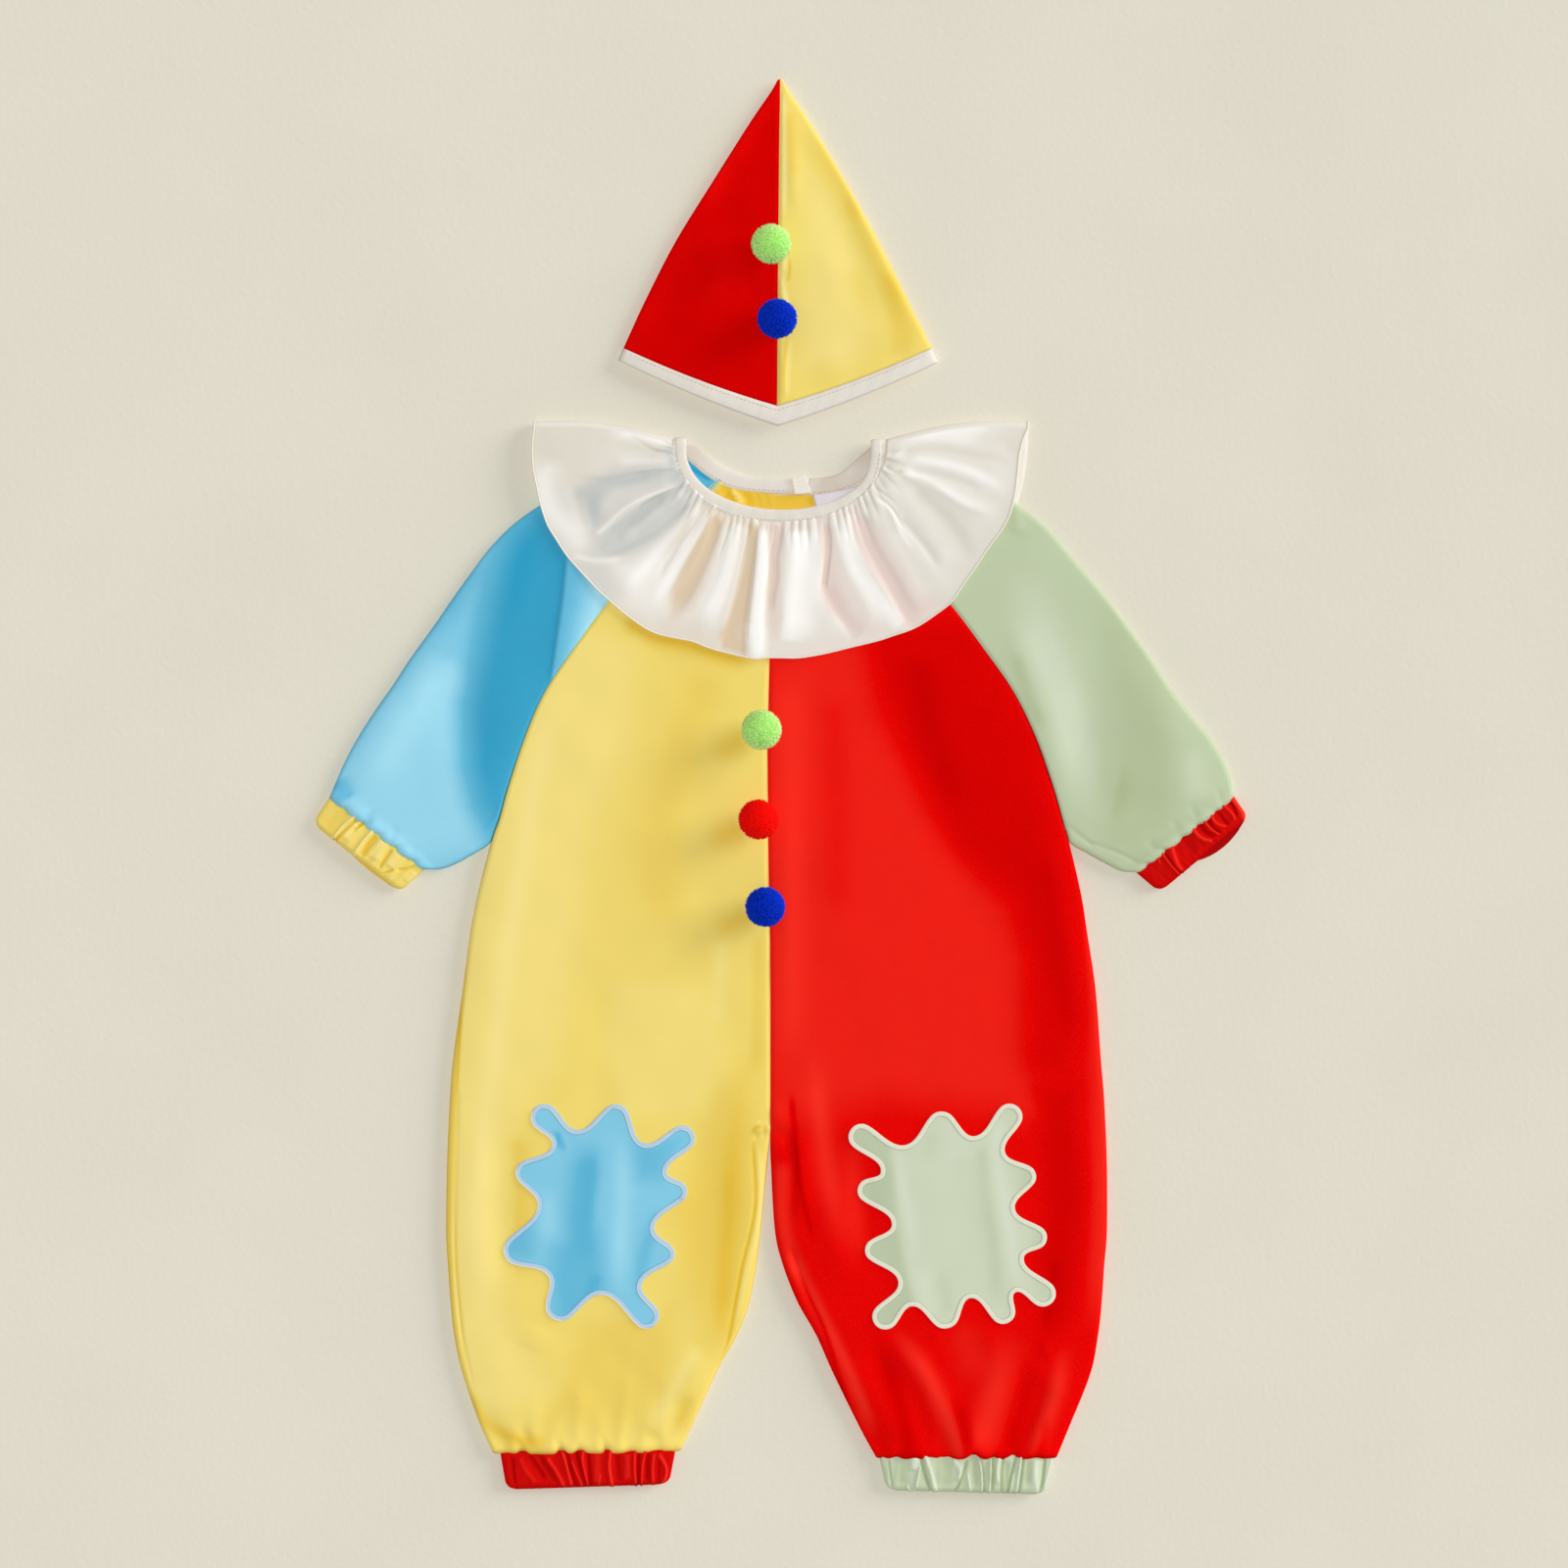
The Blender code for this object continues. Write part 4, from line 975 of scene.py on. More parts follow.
YELLOW_ROWS = [
    BodyRow(-164.5, -380.0, -56.5, -378.5, 1.0, 1.0), BodyRow(-172.5, -362.0, -48.5, -361.5, 1.0, 1.0),
    BodyRow(-182.0, -334.0, -36.0, -334.0, 1.0, 1.0), BodyRow(-186.5, -313.0, -24.5, -313.0, 1.0, 1.0),
    BodyRow(-188.5, -294.5, -17.5, -294.5, 1.0, 1.0), BodyRow(-190.0, -273.0, -13.5, -273.0, 1.0, 1.0),
    BodyRow(-191.0, -253.5, -11.0, -253.5, 1.0, 1.0), BodyRow(-190.5, -216.0, -7.6, -218.0, 1.0, 1.0),
    BodyRow(-189.0, -180.0, -5.6, -194.0, 1.0, 0.0), BodyRow(-187.0, -155.0, -5.6, -155.0, 1.0, 0.0),
    BodyRow(-181.5, -115.5, -5.6, -115.5, 1.0, 0.0), BodyRow(-177.0, -82.0, -6.0, -77.0, 1.0, 0.0),
    BodyRow(-172.0, -57.0, -6.7, -43.0, 1.0, 0.0), BodyRow(-165.2, -31.0, -7.0, -9.0, 0.9, 0.0),
    BodyRow(-160.7, -18.0, -7.2, 10.0, 0.75, 0.0), BodyRow(-155.7, 0.0, -7.3, 24.0, 0.6, 0.0),
    BodyRow(-146.2, 28.5, -6.8, 44.0, 0.4, 0.0), BodyRow(-134.4, 55.0, -6.2, 69.0, 0.2, 0.0),
    BodyRow(-115.4, 83.0, -5.6, 91.5, 0.0, 0.0), BodyRow(-95.8, 108.5, -5.6, 112.0, 0.0, 0.0),
    BodyRow(-67.8, 136.5, -5.6, 131.5, 0.0, 0.0), BodyRow(-41.4, 164.4, -5.6, 152.0, 0.0, 0.0),
]
RED_ROWS = [
    BodyRow(158.5, -382.5, 54.5, -382.5, 1.0, 1.0), BodyRow(165.5, -365.5, 45.5, -366.0, 1.0, 1.0),
    BodyRow(177.5, -335.5, 30.5, -335.5, 1.0, 1.0), BodyRow(182.0, -313.0, 20.5, -313.0, 1.0, 1.0),
    BodyRow(184.0, -294.5, 10.0, -294.5, 1.0, 1.0), BodyRow(185.5, -273.0, 1.5, -273.0, 1.0, 1.0),
    BodyRow(187.0, -253.5, -3.0, -253.5, 1.0, 1.0), BodyRow(187.0, -216.0, -5.2, -218.0, 1.0, 1.0),
    BodyRow(185.5, -180.0, -5.6, -194.0, 1.0, 0.0), BodyRow(183.5, -155.0, -5.6, -155.0, 1.0, 0.0),
    BodyRow(180.5, -115.5, -5.6, -115.5, 1.0, 0.0), BodyRow(176.0, -85.0, -6.0, -77.0, 1.0, 0.0),
    BodyRow(172.0, -60.0, -6.7, -43.0, 1.0, 0.0), BodyRow(165.2, -31.0, -7.0, -9.0, 0.9, 0.0),
    BodyRow(161.3, -18.0, -7.2, 10.0, 0.75, 0.0), BodyRow(156.2, 0.0, -7.3, 24.0, 0.6, 0.0),
    BodyRow(146.2, 28.5, -6.8, 44.0, 0.4, 0.0), BodyRow(133.3, 55.0, -6.2, 69.0, 0.2, 0.0),
    BodyRow(115.9, 80.0, -5.6, 91.5, 0.0, 0.0), BodyRow(96.9, 105.0, -5.6, 112.0, 0.0, 0.0),
    BodyRow(69.4, 135.0, -5.6, 131.5, 0.0, 0.0), BodyRow(42.6, 164.4, -5.6, 152.0, 0.0, 0.0),
]
BLUE_TUBE = [
    FoldRow(-257.6, -5.3, -203.3, -46.8), FoldRow(-248.6, 15.4, -194.5, -46.8),
    FoldRow(-240.0, 31.0, -186.0, -44.0), FoldRow(-231.3, 44.5, -176.0, -38.5),
]
GREEN_TUBE = [
    FoldRow(259.5, -5.0, 204.0, -48.5), FoldRow(256.5, 9.0, 195.5, -48.0),
    FoldRow(247.5, 26.0, 187.0, -44.0), FoldRow(235.0, 41.5, 176.0, -38.0),
]
BLUE_SHOULDER = [
    (-221.8, 58.0), (-212.0, 73.0), (-198.0, 92.5), (-182.0, 115.5), (-164.5, 138.5), (-146.0, 155.5),
    (-120.0, 171.0), (-90.0, 184.5), (-59.3, NECK[1]),
]
GREEN_SHOULDER = [
    (223.0, 57.0), (213.5, 71.5), (200.0, 90.5), (184.5, 111.0), (167.0, 131.5), (149.5, 151.0),
    (124.0, 169.0), (93.0, 184.0), (60.5, NECK[1]),
]
HAT_LEFT = [
    FoldRow(-89.6, 251.2, -1.7, 218.1), FoldRow(-76.7, 279.2, -1.5, 250.0),
    FoldRow(-59.4, 312.8, -1.2, 290.0), FoldRow(-38.6, 346.4, -0.8, 332.0),
    FoldRow(-17.4, 380.0, -0.4, 373.0), FoldRow(-5.2, 398.0, 0.0, 396.5), FoldRow(-1.6, 404.4, 0.0, 405.2),
]
HAT_RIGHT = [
    FoldRow(86.8, 251.2, -1.7, 218.1), FoldRow(72.8, 279.2, -1.5, 250.0), FoldRow(56.0, 312.8, -1.2, 290.0),
    FoldRow(37.5, 346.4, -0.8, 332.0), FoldRow(17.4, 380.0, -0.4, 373.0), FoldRow(5.2, 398.0, 0.0, 396.5),
    FoldRow(1.6, 404.4, 0.0, 405.2),
]
BLUE_PATCH = [
    Lobe(46.1, 13.5, 6.0, 40.5, 24.3), Lobe(49.5, 43.9, 7.1, 27.5, 41.1),
    Lobe(11.6, 55.7, 7.5, -10.4, 48.6), Lobe(-29.1, 55.9, 7.5, -24.4, 40.2),
    Lobe(-38.2, 24.3, 7.1, -32.6, 6.0), Lobe(-43.8, -19.9, 8.4, -26.8, -34.5),
    Lobe(-19.8, -51.6, 8.4, 3.6, -45.1), Lobe(29.0, -57.4, 7.1, 26.0, -40.1),
    Lobe(39.0, -22.0, 6.0, 33.4, -7.4),
]
GREEN_PATCH = [
    Lobe(41.4, 24.1, 6.5, 30.2, 37.9), Lobe(33.0, 58.4, 7.1, 12.5, 46.9),
    Lobe(-5.8, 52.8, 8.2, -26.7, 41.8), Lobe(-51.5, 46.9, 7.1, -40.1, 26.7),
    Lobe(-46.9, 16.1, 6.5, -33.8, -3.2), Lobe(-42.6, -17.9, 6.5, -30.1, -36.2),
    Lobe(-37.9, -55.8, 7.1, -22.6, -49.6), Lobe(-3.9, -54.3, 8.0, 10.6, -45.0),
    Lobe(29.3, -53.0, 6.7, 36.2, -41.8), Lobe(52.1, -42.7, 7.1, 40.9, -22.2),
    Lobe(47.6, -10.6, 6.5, 35.8, 5.8),
]
YELLOW_LEG_PINCHES = [
    Pinch(8, 1.0, 4.0), Pinch(17.5, 2.6, 3.0), Pinch(39.5, 3.2, 2.6), Pinch(50, 2.4, 3.2),
    Pinch(65.5, 3.2, 1.6), Pinch(79, 0.9, 3.0), Pinch(96, 0.8, 3.0),
]
RED_LEG_PINCHES = [
    Pinch(92, 1.5, 3.0), Pinch(82, 0.8, 3.0), Pinch(73, 0.6, 3.0), Pinch(61.5, 0.9, 3.0),
    Pinch(48, 3.2, 3.6), Pinch(36.5, 1.4, 2.4), Pinch(25, 1.8, 2.6), Pinch(12, 1.0, 3.0),
]
SLEEVE_PINCHES = [
    Pinch(8, 1.3, 2.0), Pinch(21, 1.6, 1.8), Pinch(33, 1.3, 2.2), Pinch(44, 1.5, 2.0),
    Pinch(57, 1.2, 2.0),
]
LEG_CREASES = [
    LegCrease(0.10, 30.0, 1.6, 1.0), LegCrease(0.21, 48.0, 2.2, 3.0), LegCrease(0.33, 34.0, 1.8, 1.0),
    LegCrease(0.44, 66.0, 2.3, 5.0), LegCrease(0.56, 36.0, 1.7, 2.0), LegCrease(0.67, 84.0, 2.4, 10.0),
    LegCrease(0.79, 44.0, 2.0, 6.0), LegCrease(0.90, 62.0, 1.6, 6.0),
]
YELLOW_FOLDS = [
    Stroke(-155, 10, -177, -182, 24, 2.4, lean=0.4), Stroke(-45, 30, -47, -146, 24, -1.8),
    Stroke(-101, -96, -105, -200, 9, -0.9), Stroke(-43, -181, -43, -288, 17, -2.6),
    Stroke(-14, -195, -27, -304, 7, 1.6, bow=6.0), Stroke(-163, -190, -156, -294, 9, -1.6),
    Stroke(-173, -187, -173, -310, 10, 1.2), Stroke(-37, -325, -72, -373, 9, 2.4, fade1=0.1),
    Stroke(-52, -345, -69, -378, 6, -2.2, fade1=0.0), Stroke(-77, -325, -113, -356, 26, -1.6),
    Stroke(-173, -351, -153, -382, 5, -1.8, fade1=0.0),
    Stroke(-149, -364, -140, -380, 3, -1.6, fade1=0.0), Stroke(-144, -322, -138, -307, 9, 1.2),
    Stroke(-47, -359, -60, -378, 3.5, -1.6, fade1=0.0),
]
YELLOW_SEAMS = [
    Crease((-16, -198, -15.6, -206, -14.6, -240, -22.6, -277, -30.2, -317, -39, -336), 0.8, 0.8, -0.5),
    Crease((-12, -203, -11, -240, -18, -276, -26, -314), 2.0, 2.0, 0.3),
    Crease((-16, -197.5, -11, -195.5, -6, -194.5), 0.9, 0.9, 1.6, fade0=0.3, fade1=0.0),
    Crease((-16, -200.5, -11, -198.5, -7, -198), 0.8, 0.8, -1.4),
    Stroke(-184, -172, -186, -258, 0.8, -0.5, fade0=0.05, fade1=0.0),
    Stroke(-186, -258, -174, -348, 0.8, -0.5, bow=-3.0, fade0=0.0, fade1=0.3),
]
RED_FOLDS = [
    Stroke(4, 30, 4, -162, 6, 1.3), Stroke(65, 80, 133, -106, 30, -2.4, bow=-6.0),
    Stroke(145, 28, 171, -136, 17, 1.8), Stroke(139, -78, 139, -172, 1.6, 0.6),
    Stroke(123, 69, 119, 54, 2.2, -0.7), Stroke(134, 50, 133, 36, 2.0, -0.6),
    Stroke(69, -66, 69, -166, 40, 1.0), Stroke(3, -196, 5, -252, 3.0, -2.6, bow=3.0, fade0=0.1),
    Stroke(11, -199, 12, -252, 7, 2.4, fade0=0.1), Stroke(5, -255, 25, -314, 3.2, -2.4, bow=-2.0),
    Stroke(1, -264, 21, -310, 4, 1.6), Stroke(22, -218, 36, -288, 9, 1.8),
    Stroke(-5, -181, 2, -195, 5, 2.0, fade1=0.1), Stroke(45, -207, 51, -267, 9, -1.8),
    Stroke(32, -322, 75, -379, 9, 2.4, fade1=0.0), Stroke(51, -313, 91, -379, 8, -2.6, fade1=0.0),
    Stroke(61, -314, 108, -378, 9, 2.6, bow=4.0, fade1=0.0),
    Stroke(139, -319, 114, -378, 10, 2.4, bow=-5.0, fade1=0.0),
    Stroke(154, -338, 134, -379, 6, -2.6, fade1=0.0),
    Stroke(168, -334, 147, -378, 7, 2.2, bow=-4.0, fade1=0.0), Stroke(84, -325, 108, -356, 16, -1.6),
    Stroke(86, -309, 92, -318, 2.5, 0.8), Stroke(148, -312, 156, -330, 2.5, 1.0),
    Stroke(121, -308, 118, -325, 6, 0.9), Stroke(175, -341, 160, -382, 3.5, -1.8, fade1=0.0),
    Stroke(36, -344, 59, -383, 4, -2.0, fade1=0.0),
]
BLUE_FOLDS = [
    Crease((-121.5, 131, -123.5, 110, -127, 85, -131, 60, -134, 42), 14, 1.2, 2.6, 0.7, fade0=0.0,
        fade1=0.5),
    Stroke(-158, 120, -173, -7, 16, -2.6, bow=-16.0), Stroke(-173, 120, -242, 8, 17, 2.2),
    Stroke(-158, -4, -170, -25, 2.2, 1.6, bow=3.0),
    Stroke(-162, -21, -188, -44, 1.2, -1.5, bow=3.0, fade0=0.0), Stroke(-173, -34, -188, -46, 3.0, 1.3),
    Stroke(-250, -9, -245, -3, 2.0, -1.0, fade0=0.0), Stroke(-235, -19, -233, -12, 2.0, -1.0, fade0=0.0),
    Stroke(-222, -30, -220, -22, 2.0, -1.0, fade0=0.0),
    Stroke(-210, -39, -209, -33, 2.0, -1.0, fade0=0.0),
]
# Painted shade (above 0) and painted light (below 0) on the blue sleeve, the last painted shade inside the
# neck
BLUE_TONES = [
    Shade((-300, -80, -60, -80, -60, 230, -300, 230), 1, -0.72),
    Shade((-132, 180, -156, 142, -164, 110, -172, 80, -180, 48, -180, 12, -174, -12, -164, -30, -140, -20,
        -118, 60, -100, 140), 14, 1.6),
    Shade((-140, 172, -196, 112, -196, 70, -178, 70, -150, 120), 14, 0.38),
    Shade((-121.5, 133, -124, 110, -127.5, 85, -131.5, 56, -90, 90, -90, 130), 1, -0.92),
    Crease((-170, 138, -188, 112, -214, 72, -240, 42, -251, 10), 8, 8, 0.35),
    Crease((-190, 78, -206, 45, -222, 22, -232, 0), 11, 11, -0.2), Crease((-254, 4, -247, -8), 6, 6, 0.7),
    Crease((-234, -19, -236, -14), 2, 2, 0.35, fade0=0.0),
    Crease((-201, -50, -203, -45), 2, 2, 0.35, fade0=0.0),
    Crease((-54, 189, -48, 181.5, -38, 175.5), 1.3, 1.6, 2.4),
]
GREEN_FOLDS = [
    Stroke(189, 113, 180, -16, 15, -2.2, bow=-8.0), Stroke(219, 74, 228, -30, 17, 2.4),
    Stroke(125, 107, 164, -24, 9, 1.6, bow=5.0), Stroke(135, 164, 134, 144, 4, 1.6, fade0=0.0),
    Stroke(163, -21, 177, -32, 1.1, -1.3, fade0=0.0, fade1=0.0),
    Stroke(177, -32, 204, -43, 1.1, -1.3, bow=1.0, fade0=0.0, fade1=0.0),
    Stroke(250, 0, 252, -9, 1.8, -0.9, fade1=0.0), Stroke(234, -10, 238, -17, 1.8, -0.9, fade1=0.0),
    Stroke(224, -19, 227, -24, 1.8, -0.9, fade1=0.0), Stroke(210, -30, 214, -35, 1.8, -0.9, fade1=0.0),
]
# Painted shade (above 0) and painted light (below 0) on the sage sleeve
GREEN_TONES = [
    Crease((136, 140, 150, 82, 162, 50, 168, 20, 172, -6, 176, -28), 15, 13, -0.7, 0.75, 2.5, 0.4, 0.4),
    Shade((178, 110, 192, 112, 214, 80, 222, 50, 228, 20, 224, -22, 206, -42, 186, -32, 186, 0, 192, 30,
        190, 70), 11, 0.42),
    Crease((199, 18, 194, -2, 188, -27), 7, 2.5, 0.35, fade0=0.4, fade1=0.4),
    Crease((134, 78, 142, 50, 152, 32), 4, 4, 0.4),
    Crease((133, 160, 136, 147, 146, 140), 3, 3, 0.4, fade0=0.0, fade1=0.5),
    Crease((234, 26, 240, -8), 8, 8, -0.35, fade0=0.4),
]
HAT_YELLOW_FOLDS = [
    Stroke(5, 393, 9, 325, 4.5, 1.5), Stroke(35, 348, 82, 251, 5, 1.6, lean=-0.4),
    Stroke(19, 354, 60, 257, 12, -1.6), Stroke(1, 298, 0, 290, 1.6, -1.0),
    Stroke(0, 283, 4, 275, 1.6, 0.9), Stroke(2, 253, 1, 219, 2.5, 1.2), Stroke(22, 324, 33, 263, 16, 0.8),
]
# Painted shade (above 0) and painted light (below 0) on the hat's yellow half
HAT_YELLOW_TONES = [
    Crease((38, 304, 56, 262), 7, 7, 0.4, fade0=0.4, fade1=0.4),
    Crease((26, 256, 46, 232), 9, 9, -0.25, fade0=0.4, fade1=0.4),
    Shade((12, 360, 14, 240, 48, 250, 58, 275, 32, 338), 10, -0.45),
    Crease((12, 385, 24, 362, 38, 338, 50, 312, 62, 288, 74, 262), 6, 6, 0.5, fade0=0.3),
    Crease((36, 342, 46, 320), 3, 4, 0.3, fade0=0.4, fade1=0.4),
    Shade((58, 292, 68, 296, 82, 262, 74, 250, 66, 250), 6, 0.45), Crease((5, 388, 9, 345), 4, 4, 0.35),
    Crease((2, 400, 2.6, 350, 2.2, 322), 1.3, 1.6, -1.0),
    Crease((3.6, 302, 1.6, 290, 3.2, 281, 4.6, 272), 1.3, 1.3, -1.0, fade0=0.0),
    Crease((4.8, 302, 5.6, 296, 4.2, 288), 1.0, 1.0, 0.8, fade0=0.0),
    Crease((4, 258, 2.4, 240, 2, 220), 1.2, 1.2, 0.6),
    Crease((6, 258, 4.6, 240, 3.8, 221), 1.4, 1.4, -0.6),
]
HAT_RED_FOLDS = [
    Stroke(-13, 379, -24, 349, 9, 1.0), Stroke(-32, 328, -66, 257, 18, 1.2),
    Stroke(-6, 344, -6, 223, 6, -0.7), Stroke(-18, 294, -15, 277, 5, -0.6),
]
# Painted shade (above 0) and painted light (below 0) on the hat's red half
HAT_RED_TONES = [
    Crease((-24, 314, -38, 270), 10, 10, -0.35, fade0=0.4, fade1=0.4),
    Shade((0, 420, 5, 200, -110, 200, -110, 300, -20, 420), 1, 0.62),
    Crease((-6, 402, -14, 388, -26, 365, -37, 345, -46, 328), 7, 8, -0.7),
    Crease((-62, 290, -82, 258), 6, 6, -0.2),
]
INSIDE_FOLDS = [
    Crease((-28, 171, -24, 166, -21, 161), 1.5, 2.5, 1.3), Crease((-36, 172, -31, 166), 1.5, 1.5, 0.9),
    Crease((-17, 169, -14, 160), 0.8, 0.8, 0.7), Crease((-12, 169, -9, 160), 0.8, 0.8, 0.7),
    Crease((-7, 169, -4, 160), 0.8, 0.8, 0.6),
]
# Painted shade on the back panels' inner face where it shows inside the neck, and painted light on its
# gathers
INSIDE_TONES = [
    Shade((-60, 200, -60, 150, 22, 150, 22, 200), 1, 0.85),
    Crease((-33.5, 174, -29, 168, -26.5, 162), 1.2, 2.2, 0.8),
    Crease((-28.5, 171, -24, 166, -21.5, 161), 1.3, 1.3, -1.3),
    Crease((-36, 172, -32, 166), 1.3, 1.3, -0.6),
    Crease((-19.5, 170, -17, 165, -15.5, 160), 0.8, 1.2, 0.8),
]
# Painted shade (above 0) and painted light (below 0) on the yellow front
YELLOW_TONES = [
    # Painted shadow below the collar's hem
    Crease((-92, 99, -72, 87, -52, 82, -30, 75.5, -12, 72), 4, 6, 0.9),
    # Painted shadows of the three chest pompoms, to their lower left
    Crease((-20, 28, -30, 23, -44, 17), 7, 7, 0.55, fade0=0.1, fade1=0.6),
    Crease((-22, -23, -32, -28, -46, -34), 7, 7, 0.55, fade0=0.1, fade1=0.6),
    Crease((-18, -73, -28, -78, -42, -84), 7, 7, 0.55, fade0=0.1, fade1=0.6),
    # Painted shade and highlight of the crotch pinch
    Crease((-17, -197.5, -12, -193.6, -5.8, -193.8), 1.3, 0.6, 0.9, fade0=0.3, fade1=0.1),
    Crease((-16, -194, -10.5, -191.4, -6, -191.8), 0.9, 0.9, -0.8, fade0=0.4, fade1=0.2),
    Shade((-122, 90, -82, 84, -88, 20, -108, -20, -118, -100, -130, -160, -152, -190, -158, -300, -132,
        -342, -165, -366, -205, -330, -205, -180, -190, -90, -165, 0, -145, 45), 14, -0.4),
    Crease((-126, 60, -139, 10, -148, -45, -157, -100, -164, -155, -171, -210, -175, -250, -170, -290,
        -158, -332), 7, 7, -0.32),
    Crease((-38, 75, -60, 10, -70, -40, -58, -92), 14, 14, 0.3),
    Shade((-98, -112, -42, -112, -32, -150, -45, -186, -88, -190, -100, -150), 8, -0.25),
    Crease((-34, -86, -36, -138), 5, 5, -0.4), Crease((-13, -80, -14, -168), 5, 3, 0.35),
    Shade((-36, -176, -17, -158, -15, -200, -15, -245, -26, -315, -40, -318, -56, -270, -62, -245, -52,
        -222), 14, 0.46),
    Crease((-20, -172, -27, -205, -30, -250, -35, -320), 7, 5, 0.4, fade0=0.4),
    Crease((-152, -195, -148, -225, -150, -285), 7, 5, 0.5),
    Shade((-112, -308, -62, -298, -64, -345, -92, -366, -120, -362, -135, -366), 10, 0.28),
    Crease((-180, -344, -169, -362, -150, -373, -128, -374), 4, 4, 0.8),
    Crease((-178, -80, -184.5, -140, -189, -210, -189.5, -260, -185.5, -320, -170, -370), 2.6, 3.0, 0.8,
        power=4),
    Crease((-46, -318, -60, -342, -73, -366), 4, 4, -0.5),
    Crease((-48, -340, -60, -370), 4, 4, 0.5, fade0=0.5, fade1=0.3),
    Crease((-16, -196, -15.6, -206, -14.6, -240, -22.6, -277, -30.2, -317, -39, -336), 1.1, 0.7, 0.8),
    Crease((-12, -203, -11, -240, -18.5, -276, -26.5, -314), 1.4, 1.4, -0.6),
    Crease((-181, -110, -183.4, -149, -186, -223, -185.3, -266, -182.7, -298, -179, -336, -172, -356),
        0.8, 0.8, 0.8),
]
# Painted shade (above 0) and painted light (below 0) on the red front
RED_TONES = [
    Crease((7, 75, 7, -60, 7, -172), 9, 12, -0.35),
    Shade((-10, 85, 44, 92, 55, 40, 73, 5, 94, -35, 126, -70, 136, -100, 136, -150, 150, -190, 120, -182,
        60, -176, -10, -196), 16, -0.5),
    Crease((30, 58, 32, 0, 34, -82), 9, 9, 0.25),
    Shade((50, 95, 58, 50, 72, 20, 88, -15, 108, -42, 135, -68, 143, -100, 143, -160, 165, -165, 172,
        -130, 166, -60, 158, -20, 145, 30, 108, 95), 12, 0.45),
    Crease((78, 78, 84, 40, 96, 5, 108, -16), 10, 9, 0.3),
    Crease((148, -35, 156, -70, 162, -110, 166, -150), 6, 5, 0.2),
    Crease((178, -60, 182, -120, 184, -180, 184, -250, 179, -322), 5, 6, -0.55),
    Shade((146, -172, 168, -172, 174, -230, 167, -300, 150, -322, 147, -270, 152, -240), 9, 0.55),
    Crease((158, -268, 155, -290, 151, -310), 3, 3, 0.35),
    Crease((18, -140, 22, -180, 28, -225, 38, -272), 6, 6, -0.7, fade0=0.4, fade1=0.4),
    Crease((6, -172, 9, -205, 12, -230, 20, -264), 1.8, 1.6, 0.8),
    Crease((1, -212, 2, -250, 14, -286), 4, 4, -0.6),
    Crease((3, -262, 20, -293, 38, -330, 56, -374), 3, 4, -0.8),
    Crease((5, -258, 15, -287, 25.5, -310, 35, -342, 45, -368), 1.4, 1.1, 0.7),
    Crease((40, -190, 42, -240, 46, -280), 6, 6, -0.4, fade0=0.4, fade1=0.4),
    Crease((52, -300, 62, -335, 79, -386), 6, 6, 0.85, fade0=0.5, fade1=0.0),
    Crease((60, -305, 84, -335, 106, -384), 4.5, 5, -0.85, fade0=0.4, fade1=0.0),
    Crease((98, -345, 104, -362, 107, -386), 3.5, 3.5, 0.8, fade0=0.4, fade1=0.0),
    Crease((136, -305, 124, -340, 113, -384), 9, 8, -0.7, fade0=0.5),
    Crease((100, -300, 108, -322, 112, -345), 9, 9, -0.3, fade0=0.4, fade1=0.4),
    Crease((146, -320, 138, -358, 128, -386), 5, 5, 0.6, fade0=0.4, fade1=0.0),
    Crease((164, -315, 156, -350, 143, -384), 5, 4, -0.75, fade0=0.4),
    Crease((153, -355, 148, -385), 2.5, 2.5, 0.5, fade0=0.4, fade1=0.0),
]
YELLOW_CUFF_CREASES = [
    Crease((-247, -10, -253, -17, -261, -25), 6, 6, -0.5),
    Crease((-243, -16.5, -249.5, -21.5, -256, -29.5), 0.9, 0.9, 1.4, fade0=0.0, fade1=0.0),
    Crease((-241.6, -18.2, -248.3, -23.8, -254.6, -30.5), 0.8, 0.5, -1.5, fade0=0.0, fade1=0.0),
    Crease((-242, -20.5, -250, -30), 3, 3, 0.8),
    Crease((-236.5, -19.5, -241, -22.5, -245.8, -26.5), 0.6, 0.6, -1.7, fade0=0.0, fade1=0.4),
    Crease((-231.5, -23.5, -238, -30.5, -243.8, -38.8), 1.0, 1.2, 1.5, fade1=0.0),
    Crease((-230.6, -26.5, -235.8, -32.5, -240.8, -40), 2.6, 0.6, -1.3),
    Crease((-226.5, -30, -233, -42), 3.2, 3, 0.9),
    Crease((-221.5, -35, -226, -41, -230, -47.5), 0.9, 0.7, -1.1),
    Crease((-217.5, -38, -224, -46), 3, 3, 0.7),
    Crease((-208.5, -44.5, -214, -46.8, -220, -47), 0.8, 0.8, -1.0),
    Crease((-221, -47, -228, -49.8), 0.6, 0.6, -1.0), Crease((-208, -49, -214, -54.5), 3, 3, 0.6),
]
